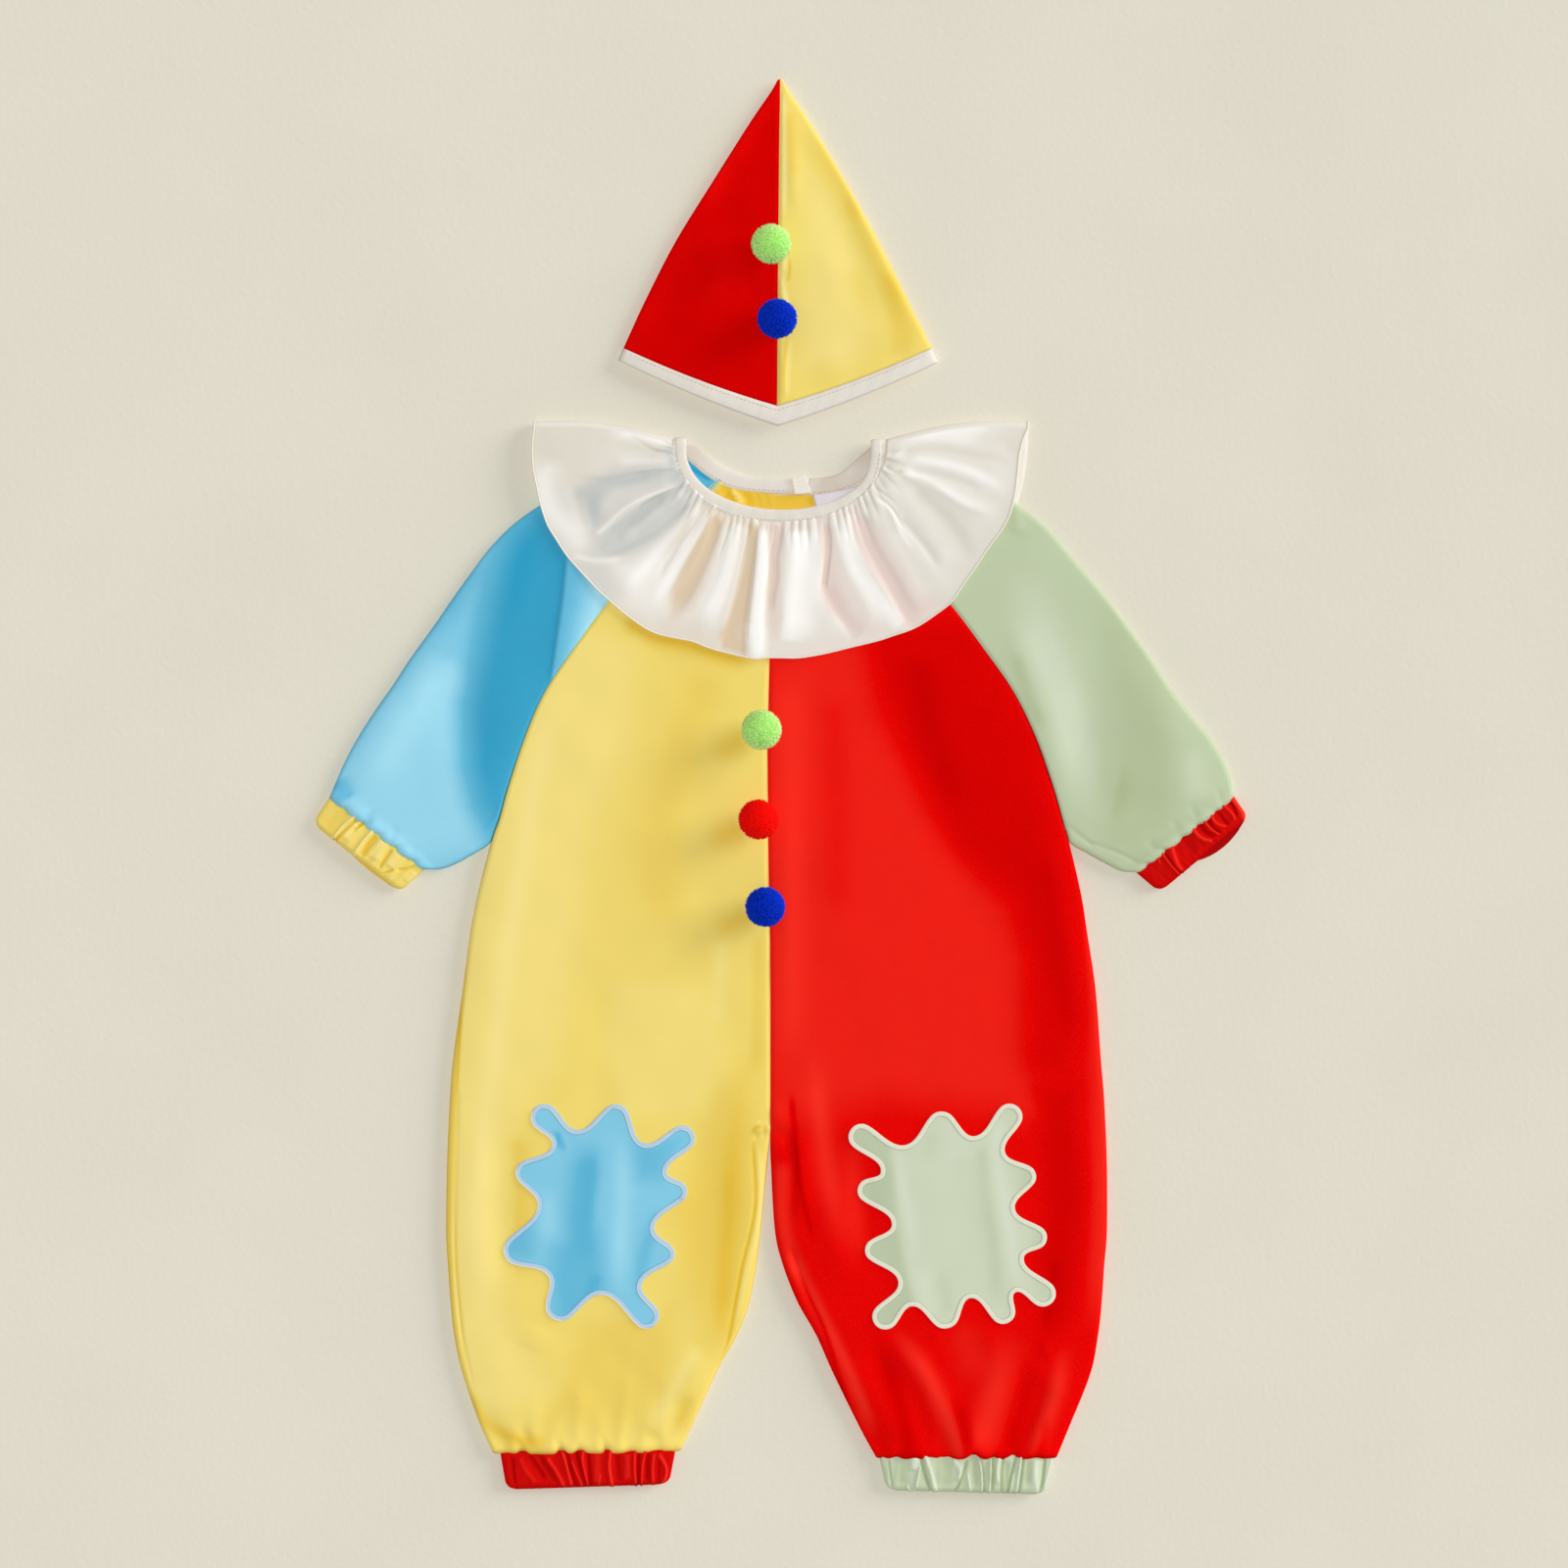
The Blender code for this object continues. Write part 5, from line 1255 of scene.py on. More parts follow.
RED_CUFF_CREASES = [
    Crease((214.5, -35.5, 215.6, -40, 218, -45), 0.8, 0.8, 0.9),
    Crease((217, -34.5, 221.5, -42, 228, -49.5), 0.6, 0.8, 1.5, fade0=0.0, fade1=0.0),
    Crease((218.6, -36, 224.3, -44, 229, -49.3), 0.7, 0.5, -1.5, fade0=0.0, fade1=0.0),
    Crease((223, -32, 225.5, -40, 228.5, -46.5, 232, -46.2), 1.2, 1.5, 1.3),
    Crease((231, -25, 234, -33, 238, -38), 3, 3, -0.7),
    Crease((235, -20, 237, -25, 241, -29, 247.5, -31), 0.9, 1.3, 1.4, fade1=0.1),
    Crease((239.5, -18, 242.5, -24.5, 249, -29), 0.9, 0.9, -1.2),
    Crease((243, -15, 242, -18.5, 246, -23.5, 251.5, -27.5), 0.6, 0.8, 1.5, fade1=0.1),
    Crease((244, -17.5, 248, -23.5, 252.5, -26.5), 0.7, 0.5, -1.4),
    Crease((245.5, -13, 248, -19, 252.5, -22, 256.5, -22), 0.8, 1.0, 1.2),
    Crease((249.5, -13, 253, -18, 257, -22), 1.0, 1.0, -1.1),
    Crease((251.5, -9, 256, -12.5, 259.5, -17, 259, -20.5), 0.6, 0.8, 1.4),
    Crease((256, -7, 259, -11, 261.5, -17), 0.8, 0.6, -1.3),
    Crease((258.5, -5.5, 262.5, -11, 265.5, -17), 2.5, 2.0, 1.7, fade0=0.0, fade1=0.0),
]
RED_LEG_CREASES = [
    Crease((-153.5, -382, -152.7, -391, -151.5, -400), 1.2, 1.0, -0.9),
    Crease((-149, -382, -145, -391, -138, -399), 1.6, 1.6, 0.6),
    Crease((-144, -381, -139, -389, -133, -397), 1.5, 1.5, -0.9),
    Crease((-139, -380, -133.5, -389, -127.5, -398), 1.3, 1.2, -1.0),
    Crease((-134, -382, -128.5, -390, -123.5, -399), 1.0, 1.0, 1.1, fade1=0.0),
    Crease((-124.5, -379, -122.5, -386, -119.3, -398), 0.8, 0.9, 1.5, fade0=0.0, fade1=0.0),
    Crease((-122.3, -379, -119.5, -390, -116.5, -399), 0.7, 0.8, -1.4, fade0=0.0, fade1=0.0),
    Crease((-119.5, -384, -116.5, -391.5, -113, -399), 0.5, 0.5, 1.3, fade1=0.0),
    Crease((-117, -379, -114, -389, -111, -399), 0.9, 0.7, -1.4, fade0=0.0, fade1=0.0),
    Crease((-112.5, -379, -112.8, -386, -110, -399), 0.7, 0.8, 1.4, fade0=0.0, fade1=0.0),
    Crease((-109.8, -379, -109.2, -390, -108.5, -399), 0.9, 0.7, -1.4, fade0=0.0, fade1=0.0),
    Crease((-105, -380, -104.5, -399), 2.5, 2, 0.6),
    Crease((-103, -392, -103.6, -399), 0.6, 0.6, 1.0, fade1=0.0),
    Crease((-96.8, -377, -97.6, -388, -96, -399), 0.9, 0.9, 1.7, fade0=0.0, fade1=0.0),
    Crease((-93.5, -381, -92.8, -398), 2.0, 1.0, -0.9), Crease((-87.5, -380, -87, -397), 2, 2, 0.7),
    Crease((-83, -378, -83.2, -390, -82.3, -399), 0.6, 0.6, 1.5, fade0=0.0, fade1=0.0),
    Crease((-81, -380, -81, -399), 0.8, 0.5, -1.4, fade1=0.0),
    Crease((-77, -379, -78.8, -389, -79.2, -399), 0.6, 0.6, 1.3, fade0=0.0, fade1=0.0),
    Crease((-75.5, -380, -76, -390, -76, -398), 1.2, 0.8, -1.2),
    Crease((-72, -380, -73, -390, -72.5, -398), 0.9, 0.8, 1.1, fade1=0.0),
    Crease((-70, -380, -65, -389.5, -67, -399), 0.9, 0.9, 1.4, fade1=0.0),
    Crease((-69.3, -385, -69.7, -398), 0.9, 0.9, -1.0),
]
SAGE_LEG_CREASES = [
    Crease((62, -384, 63, -394, 64.5, -402), 0.7, 0.7, -1.0), Crease((69, -383, 69, -400), 4, 4, -0.5),
    Crease((76.8, -381, 76, -391), 2.6, 2.4, 1.3),
    Crease((80.3, -387, 78.8, -394, 77.2, -401), 0.5, 0.5, 1.3, fade1=0.1),
    Crease((72, -399, 75, -402.5, 77.5, -400.5), 0.6, 0.6, 1.2),
    Crease((80.3, -382, 82.3, -391, 84, -397, 85.8, -402), 0.8, 0.6, -1.8, fade0=0.0, fade1=0.0),
    Crease((83, -382, 86, -391, 89, -402), 1.0, 1.4, 1.4, fade0=0.0, fade1=0.0),
    Crease((94, -382, 94, -401), 4.5, 4.5, -0.6),
    Crease((99, -383, 102.8, -391, 101, -397), 1.6, 1.8, 1.1),
    Crease((107, -384, 104.5, -392, 101.8, -399, 100, -402), 0.6, 0.6, -1.7, fade1=0.0),
    Crease((106.8, -391, 108.8, -403), 0.7, 0.6, 1.1, fade1=0.0),
    Crease((110.5, -381, 111.5, -391, 112, -401), 1.6, 1.6, -0.9),
    Crease((113.2, -382, 115, -391, 115.4, -403), 0.6, 0.6, 1.4, fade0=0.0, fade1=0.0),
    Crease((114.4, -383, 116.2, -392, 116.7, -403), 0.6, 0.4, -1.6, fade0=0.0, fade1=0.0),
    Crease((118.2, -385, 118.5, -398), 1.4, 1.2, -0.7),
    Crease((120.3, -384, 120, -395, 119.4, -403), 0.5, 0.5, 1.4, fade0=0.0, fade1=0.0),
    Crease((121.3, -382, 121.9, -392, 121, -402), 0.7, 0.5, -1.7, fade0=0.0, fade1=0.0),
    Crease((125.3, -382, 124, -391, 124.5, -399), 1.4, 1.2, 1.2),
    Crease((127.6, -382, 126.4, -392, 126.5, -403), 0.8, 0.8, -1.2, fade1=0.0),
    Crease((129.3, -385, 129, -400), 1.6, 1.4, -0.5),
    Crease((134.8, -383, 132.3, -392, 130.2, -403), 0.6, 0.6, -1.6, fade0=0.0, fade1=0.0),
    Crease((133.4, -391, 131.3, -403), 0.6, 0.5, 1.2, fade1=0.0),
    Crease((138, -382, 136.5, -391, 135, -403), 0.7, 0.7, 1.3, fade0=0.0, fade1=0.0),
    Crease((139, -384, 137.7, -395, 136.3, -404), 0.6, 0.6, -1.7, fade0=0.0, fade1=0.0),
    Crease((141.3, -384, 141.2, -399), 2, 2, -0.6),
    Crease((146.5, -383, 145.8, -394, 147, -405), 2, 2, 1.3, fade1=0.0),
    Crease((151.3, -384, 150, -396, 147.8, -405), 0.8, 1.0, -1.6, fade0=0.0, fade1=0.0),
    Crease((155.5, -384, 153, -395, 150.5, -404), 0.8, 0.9, 1.2, fade0=0.0, fade1=0.0),
]
# Painted shade (above 0) and painted light (below 0) on the blue patch
BLUE_PATCH_TONES = [
    Shade((-200, -340, -40, -340, -40, -160, -200, -160), 1, -0.4),
    Crease((-106, -198, -109, -225, -111, -245, -113, -275), 5, 11, 0.6, fade0=0.3, fade1=0.4),
    Shade((-130, -262, -103, -256, -99, -290, -110, -308, -128, -304, -133, -280), 9, 0.35),
    Crease((-104, -277, -110, -292, -118, -301), 2.5, 2.5, 0.3),
    Crease((-129, -194, -126.5, -200, -123.5, -209), 1.5, 2.0, 0.7, fade0=0.4, fade1=0.4),
    Crease((-133, -225, -132, -266), 6, 6, -0.25, fade0=0.4, fade1=0.4),
    Crease((-90, -192, -90, -235, -93, -296), 6, 6, -0.35, fade0=0.35, fade1=0.35),
    Shade((-84, -204, -56, -200, -62, -215, -70, -224, -82, -224), 7, 0.3),
    Shade((-160, -240, -140, -235, -142, -268, -165, -270), 7, 0.3),
    Crease((-66, -240, -74, -255, -80, -280, -75, -298), 4, 4, 0.3),
]
# Painted shade (above 0) and painted light (below 0) on the sage patch
GREEN_PATCH_TONES = [
    Shade((35, -185, 58, -185, 63, -205, 66, -235, 70, -268, 77, -296, 62, -314, 45, -312, 38, -250), 3,
        0.75),
    Crease((67.5, -200, 69, -225, 73, -245, 75.5, -260, 75, -280), 4.5, 2, -0.5, fade0=0.3, fade1=0.4),
    Crease((86, -192, 85, -218), 4, 4, 0.25, fade0=0.4, fade1=0.4),
    Shade((94, -190, 108, -197, 110, -210, 98, -212), 6, -0.35),
    Crease((114.5, -200, 117, -232, 122, -262, 124, -300), 4, 4, 0.4),
    Crease((126, -184, 124, -210, 128, -235, 131, -255, 134.5, -275, 137, -294), 4, 4, -0.6),
    Crease((141, -212, 140, -236), 4, 4, 0.4), Crease((148, -250, 148, -270), 4, 4, 0.4),
    Crease((147, -279, 153, -293), 4, 4, 0.3), Crease((80, -270, 86, -304), 4, 4, -0.4, fade0=0.4),
    Crease((91, -272, 97, -303), 4, 4, 0.3, fade0=0.4),
]
# The strip's two edges: behind to the left of its opening, in front, and behind to the right of it
NECK_FREE_EDGES = (
    plan_points(
        -52.7, 196.5, -48.4, 195.2, -43.3, 191.6, -35.8, 186.2, -26.9, 181.1, -16.5, 177.8, -5, 176.9, 8,
        176.8, 16.5, 176.8,
    ),
    plan_points(
        -53.5, 196.3, -53.2, 188.0, -49.5, 179.5, -43.5, 172.6, -36, 167.5, -28, 163.9, -20, 161.3, -10,
        159.4, 0, 158.8, 10, 159.1, 20, 160.8, 28, 163, 36, 166.6, 42.5, 170.7, 47.5, 176, 50.3, 182.5,
        51.6, 190, 51.8, 195.3,
    ),
    plan_points(
        16.8, 176.8, 26.5, 177.5, 35.4, 180.5, 41.4, 185.7, 47.3, 190.9, 52.0, 195.0,
    ),
)
NECK_SEAM_EDGES = (
    plan_points(
        -60.2, 196.3, -56.0, 189.6, -49.3, 183.7, -41.8, 177.8, -32.9, 172.6, -22.4, 169.7, -10, 168.4, 0,
        168.0, 15.0, 167.2,
    ),
    plan_points(
        -60.8, 196.3, -60.7, 189.4, -58.9, 180.5, -54.5, 171.8, -48, 164.2, -40, 158.4, -30, 154, -20,
        151.6, -8, 150.4, 4, 150.2, 16, 151.1, 27, 153.4, 37, 157.5, 46, 163.7, 53, 171.4, 57.3, 180.2,
        58.9, 189, 59.0, 195.3,
    ),
    plan_points(
        15.3, 167.2, 20, 167.0, 29.5, 167.6, 38.4, 169.8, 46, 173, 53, 179.5, 57.5, 188, 59.0, 195.0,
    ),
)
COLLAR_HEM = [
    (-140.4, 205.4), (-141.4, 197), (-141.4, 188), (-140.8, 181), (-139, 172), (-136.8, 162),
    (-133, 150.5), (-128, 142), (-122, 132.8), (-116, 125.8), (-110, 119.2), (-104, 112.8), (-97.5, 107),
    (-90, 100.5), (-80, 93), (-71, 88.2), (-60, 85.5), (-50, 83.5), (-40, 79.6), (-30, 76.9), (-20, 74.6),
    (-13, 73.4), (-9, 74.1), (0, 74.2), (10, 74.1), (20, 75.5), (30, 77.6), (40, 80.1), (50, 82.5),
    (58, 84.6), (65, 87), (72, 89.3), (80, 93), (90, 99.8), (98, 106.2), (104, 115), (110, 123.5),
    (116, 132.5), (121.5, 140.5), (127, 147.8), (131.3, 156.5), (133.8, 166.5), (135.4, 178),
    (136.6, 190), (138.8, 199), (141.6, 205.4),
]
COLLAR_CREASES = [
    Crease((-60, 197, -72, 199, -85, 204, -96, 207), 5, 4, 2.0),
    Crease((-61, 191.5, -70, 192, -78, 196, -86, 203), 1.5, 1.0, -1.6),
    Crease((-70, 190, -85, 194.5, -98, 195.5), 4, 3, -0.9),
    Crease((-62, 186, -80, 185.5, -98, 185), 3, 4, 1.2),
    Crease((-60.5, 181.2, -70, 180.7, -80, 179.3, -90, 177.2), 1.0, 0.7, -2.2, fade0=0.0, fade1=0.5),
    Crease((-74, 180, -90, 177, -103, 175.5, -120, 176), 4.0, 2.0, -1.5),
    Crease((-61, 176, -80, 172, -98, 165, -108, 155), 6, 5, 2.0),
    Crease((-57, 173.3, -67, 169, -80, 162.3, -92, 153.5, -101, 146, -106, 141), 0.8, 4, 2.0, fade1=0.1),
    Crease((-56.5, 171.8, -66, 167.6, -78, 161.3, -86, 155.6), 0.9, 0.5, -2.2, fade0=0.0, fade1=0.5),
    Crease((-66, 166.5, -80, 158.5, -92, 149.5, -101, 142), 4.8, 1.0, -1.7),
    Crease((-54, 169, -66, 161, -80, 150, -93, 139), 3, 3.5, 1.6),
    Crease((-101, 135, -92, 141), 0.5, 0.5, 0.7),
    Crease((-48, 164.8, -57, 157.5, -66, 149.5, -78, 141.3, -93, 134, -106, 130.5), 3.0, 1.4, -2.0, 1.3),
    Crease((-47.5, 165.5, -55, 159.5, -63, 152.8), 0.8, 0.5, -1.2, fade0=0.0, fade1=0.4),
    Crease((-119, 131.3, -107, 130.2, -96, 129.3, -84, 131.5), 1.2, 0.8, 0.7),
    Crease((-112, 168, -108.5, 155, -105.5, 145), 8, 1.0, -1.0),
    Crease((-124, 172, -117.5, 155, -113, 142), 3.5, 7, 1.5),
    Crease((-45, 163, -55, 152, -68, 138, -80, 124, -93, 110), 3.4, 3.6, 2.4, 1.5),
    Crease((-42.3, 160.8, -50, 150, -58, 139, -66, 126, -71, 116), 1.3, 1.3, -1.4, 1.3),
    Crease((-39, 158.5, -47, 146, -56, 133, -66, 117, -76, 102), 2.2, 3.0, 2.0, 1.6),
    Crease((-34.5, 156, -38.5, 143, -44, 130, -51, 116, -60, 103, -67, 96), 2.2, 2.4, -2.7, 2.1, 3),
    Crease((-27.5, 153.5, -29.5, 147, -33.5, 135, -36.5, 126), 0.6, 1.0, -1.2, fade0=0.0, fade1=0.5),
    Crease((-37, 157.5, -39.5, 150, -44, 141), 0.6, 0.6, -1.2, fade0=0.0, fade1=0.6),
    Crease((-24, 152.8, -26, 143, -29, 130, -34.5, 112, -43, 95, -50, 86), 2.8, 2.8, 2.2, 1.9, 3, 0.06,
        0.3),
    Crease((-15, 151.8, -16.3, 142, -18.2, 130, -21.5, 112, -24.5, 95, -27.5, 77), 2.1, 2.3, -2.8, 3.0, 5,
        0.05, 0.0),
    Crease((-17.2, 152.5, -18.2, 145, -21.8, 131, -25, 119), 0.9, 0.5, -1.3, fade0=0.0, fade1=0.5),
    Crease((-12.9, 152, -13.5, 141, -14.5, 130, -16.3, 112, -18.3, 95, -19.2, 77), 0.4, 0.8, -0.9,
        fade0=0.0),
    Crease((-10.9, 152, -10.9, 140, -10.6, 130, -12.2, 112, -13.6, 95, -13, 75), 2.6, 3.0, 2.2, 2.0, 3,
        0.05, 0.0),
    Crease((-0.6, 151.3, -1.5, 142, -3.6, 131, -3.5, 120, -5.5, 109, -6.5, 97), 2.6, 2.6, -2.6, 1.0, 3),
    Crease((-3, 151.5, -4, 141, -6.8, 130, -6.8, 119, -9.3, 109, -9, 99), 0.8, 0.4, -1.1, fade0=0.0,
        fade1=0.4),
    Crease((-8, 151, -8.6, 145), 0.5, 0.5, -1.5, fade0=0.0, fade1=0.6),
    Crease((8, 150.5, 7, 140, 6, 125, 4, 105, 2, 82), 6.5, 4.5, 1.8),
    Crease((9, 147, 8, 138, 8, 127), 3.0, 4.0, 0.9),
    Crease((4.6, 151, 4.1, 147, 3.3, 142), 0.8, 0.8, -1.6, fade0=0.0, fade1=0.6),
    Crease((14.3, 151, 16.4, 146.5, 16, 139), 0.6, 0.8, -1.8, fade0=0.0, fade1=0.5),
    Crease((11, 151, 9.6, 146, 9, 141), 0.5, 0.5, -1.0, fade0=0.0, fade1=0.6),
    Crease((21.3, 151.5, 22.4, 143, 22.4, 130, 21.4, 119, 21.6, 111, 25.5, 103, 31.5, 94, 39, 84), 2.2,
        5.0, 1.8, 1.4),
    Crease((25.4, 152, 26.6, 143, 26.6, 133, 25.5, 122, 24.3, 113), 1.9, 1.6, -3.4, 1.0, 4, 0.04, 0.1),
    Crease((25, 116, 29.5, 105, 36.5, 94.5, 44, 84.5), 5.0, 2.4, -2.4, 1.2, 2, 0.15, 0.1),
    Crease((28.6, 147, 28.9, 139, 28.7, 131), 0.6, 0.6, -1.0),
    Crease((33, 153, 35, 140, 41, 122, 50, 104, 55, 88), 4.5, 4.0, 1.2),
    Crease((36.5, 157.8, 38.4, 150, 40, 143, 43.5, 135.5, 49, 126.5, 55, 117.3, 60, 109.2, 65, 100.7,
        69.5, 93.6, 72, 90.2), 2.2, 5.0, 2.2, 1.4, 2, 0.08, 0.0),
    Crease((44.6, 158, 46.6, 148, 50.3, 138, 56.3, 127, 63.3, 115, 69.5, 103, 75, 94), 4.2, 2.2, -2.6,
        1.5, 3, 0.08, 0.1),
    Crease((49, 156, 50, 147, 51.5, 138), 2.5, 2.5, -0.8, fade1=0.5),
    Crease((42.5, 160, 44, 152.5, 45.6, 147), 0.7, 0.7, -1.6, fade0=0.0, fade1=0.4),
    Crease((53, 161, 58, 150, 65, 137, 73, 122, 83, 102), 4, 5, 1.3, 1.4),
    Crease((52, 165.8, 57, 162.8, 61.5, 159.6, 64.5, 153.5, 70, 145.5, 76, 138, 83, 129.5, 91, 119, 97,
        110), 3.0, 5.0, 1.2, 1.3, 2, 0.06, 0.4),
    Crease((54, 166.8, 60, 162.8, 65.2, 157, 69, 150, 74, 144), 0.9, 0.5, -1.9, fade0=0.0, fade1=0.5),
    Crease((67, 155, 76, 145, 84.5, 134, 91, 124), 3.0, 1.2, -1.5),
    Crease((55.3, 170.4, 60, 166.8, 66, 163.2), 0.7, 0.7, -1.7, fade0=0.0, fade1=0.5),
    Crease((57.5, 173, 64, 170, 72, 165, 82, 152, 92, 137, 98, 122), 5.0, 5.0, 1.1),
    Crease((74, 170.5, 86, 161.5, 97, 150.5, 105, 139, 110.5, 127), 3.6, 4.0, -1.6, 1.2),
    Crease((66, 178, 72, 177.8, 80, 174.8, 90, 170, 100, 165.3, 112, 160, 125, 155), 3.6, 2.4, 1.7, 1.2),
    Crease((58.8, 179.6, 63, 178.2, 67, 179.6, 71, 180.6), 0.8, 0.8, -2.0, fade0=0.0),
    Crease((72, 181.6, 88, 178.8, 102, 174.8, 117, 168.6), 3.6, 2.2, -1.5),
    Crease((72, 187.5, 90, 184.8, 106, 180.5, 120, 173.5, 130, 166), 3.5, 3.5, 1.8),
    Crease((66, 192.5, 88, 193.3, 106, 190.5, 122, 187, 134, 184.5), 3.2, 2.8, -1.4),
    Crease((62, 185.5, 66, 189.6, 71, 193.2, 79, 196.6), 1.0, 1.0, 1.4),
    Crease((70, 200, 90, 203.5, 115, 205, 135, 203), 4, 5, 1.4),
    Crease((122, 203, 129.5, 197, 132, 189), 4, 4, -0.9),
]
# Painted shade (above 0) in the ruffle's valleys and top corners, and painted light (below 0) on its ridges
COLLAR_TONES = [
    Crease((15, 149, 16.5, 131, 17, 114, 16, 96, 14, 82), 6, 6, -0.5),
    Crease((70, 199, 92, 199, 118, 199), 5, 5, -0.4, fade0=0.3, fade1=0.3),
    Shade((-134, 190, -60, 196, -56, 172, -50, 160, -84, 132, -104, 130, -122, 150), 14, 0.42),
    Shade((-150, 216, -96, 216, -94, 200, -116, 190, -136, 186, -150, 190), 12, 0.8),
    Shade((74, 170, 96, 162, 118, 150, 104, 122, 90, 112, 76, 134), 12, 0.22),
    Crease((-99, 203, -91, 200.5, -82, 205, -71.6, 202, -61, 197.6), 3.5, 3.0, -0.7),
    Crease((-106, 197, -98, 198, -90, 203, -86, 208), 2, 5, 0.3),
    Crease((-96, 192, -80.6, 193.5, -72, 192.6, -62.7, 191.7), 3.5, 0.8, 0.6, fade0=0.6, fade1=0.0),
    Crease((-104, 176, -92, 176.5, -80, 178.5, -62.7, 180.2), 1.0, 7, 0.5, fade0=0.6, fade1=0.0),
    Crease((-92, 186, -78, 186.5, -63, 186), 2.5, 2.5, -0.35),
    Shade((-127, 188, -116, 190, -95, 181, -62, 179, -58, 173, -86, 162, -107, 143, -113, 150, -119, 166),
        12, 0.34),
    Crease((-100, 160, -112, 168, -122, 178), 8, 9, 0.25),
    Crease((-107.4, 141.7, -97, 151.5, -86.5, 160.5, -72, 167.5, -56.7, 172), 1.2, 0.8, -0.75),
    Shade((-107, 136, -98, 147, -86, 158.5, -72, 166.5, -56, 171, -50, 164, -63, 150, -86, 135, -101,
        131), 8, 0.4),
    Crease((-57, 170.5, -72, 165.5, -80, 158, -88, 148), 5, 1.0, 0.35),
    Crease((-78, 160, -90, 149, -97, 139), 2, 2, -0.25),
    Crease((-128, 190, -134.5, 176, -130, 158, -115, 142, -107.4, 131.3), 7, 7, -0.85),
    Crease((-119.4, 132.8, -104.4, 129.3, -88, 131.3), 1.6, 2.0, -0.6),
    Shade((-120, 130, -104, 127, -88, 120, -98, 106, -110, 116), 6, 0.2),
    Shade((-94, 127, -72, 136, -58, 136, -56, 116, -74, 94, -90, 104), 9, -0.45),
    Crease((-49.3, 156.1, -55, 146, -63, 135, -70, 126), 1.2, 3.0, 0.4, fade1=0.5),
    Crease((-44, 158, -50, 147, -58, 134), 1.6, 1.6, -0.4),
    Crease((-38.5, 156.6, -41.8, 149.2, -49.3, 135.8, -58.2, 119.4, -64.9, 104.4), 7, 1.0, 0.85, 1.4,
        fade0=0.05),
    Shade((-38.5, 155, -32.9, 153, -34, 140, -40, 118, -49.3, 101.5, -62.7, 95.5, -63, 106, -57, 119.4,
        -48, 136), 3, 0.3),
    Crease((-28, 152, -30, 138, -37, 116, -46, 94), 5, 5, -0.45, 1.3),
    Shade((-17.8, 151, -12.7, 149.2, -13.8, 131.3, -15.5, 110.4, -18, 95.5, -19.5, 76, -33, 80.6, -34.5,
        88, -28.5, 98.5, -23.8, 111.9, -20.2, 126.8, -18, 140), 2.4, 0.8),
    Crease((-19, 95, -24, 82), 7, 7, -0.3),
    Crease((-9, 150, -9.7, 125, -11.4, 110, -12.5, 78), 2.6, 3, -0.75, 1.5, fade1=0.0),
    Shade((-5.3, 151, 3.4, 150, 1.5, 131, 1, 113, 2, 97, -1, 85, -5, 85, -7.5, 98.5, -6.4, 119.4, -5.3,
        134.3), 2.5, 0.62),
    Crease((-4, 150, -4.6, 132, -6, 115), 2.2, 0.8, 0.35),
    Crease((11, 149, 10, 131, 8.5, 110, 5.6, 82), 6, 5, -0.6, 1.2, fade1=0.05),
    Crease((23.9, 150, 25, 139, 25.2, 128, 23.8, 114, 27, 103, 34, 92), 9, 1.0, 0.6, 1.3, fade0=0.05),
    Shade((24, 147, 28.7, 147, 29, 135.8, 33, 124, 41, 111, 50, 98.5, 55, 88, 42, 86, 33, 94, 26, 105, 25,
        128), 6, 0.5),
    Crease((32.5, 150, 36.4, 140, 42.4, 125, 54, 110.4, 63, 98.5, 69.7, 91), 4.5, 4, -0.65, 1.2,
        fade1=0.05),
    Crease((41.4, 154.5, 43.2, 143.2, 47, 132.8, 54.5, 119.4, 63, 105.9, 72, 92.5), 10, 1.0, 0.55, 1.5,
        fade0=0.05, fade1=0.0),
    Shade((43, 154, 52, 156, 60, 150.7, 67, 137.3, 80, 119.4, 92, 106, 80, 97, 73, 93, 63, 106, 54, 119.4,
        46, 133), 9, 0.48),
    Crease((47.3, 164, 59.3, 159.8, 64.5, 152.5, 68, 143), 1.0, 4, 0.45),
    Crease((56, 163.5, 64, 157, 67.5, 148, 76, 134), 2.2, 0.8, -0.5),
    Crease((80, 150, 92, 132, 104, 115), 8, 8, -0.12),
    Crease((60.8, 178.5, 80.2, 176, 92.1, 169.5, 104, 160.5, 116, 156), 0.9, 5, 0.32, 1.6),
    Crease((60.8, 179.5, 80.2, 177, 92.1, 170.5, 104, 161.5, 118, 157), 3.5, 0.8, -0.45, 1.4),
    Crease((68, 187, 80, 194.5, 101, 191.5, 125, 182.5), 4, 5, 0.32),
    Crease((69.7, 183.5, 86, 185.5, 108.5, 180, 123.4, 170), 4, 5, -0.4),
    Crease((66, 190, 77.2, 202, 101, 206.4, 128, 207), 4, 4, -0.4),
    Shade((114, 214, 142, 214, 142, 190, 120, 192), 6, 0.35),
    Crease((61, 183.5, 66, 179.5, 71, 180.5), 1.0, 1.0, 0.6, fade0=0.0),
]


# ---- Sub-assemblies ----


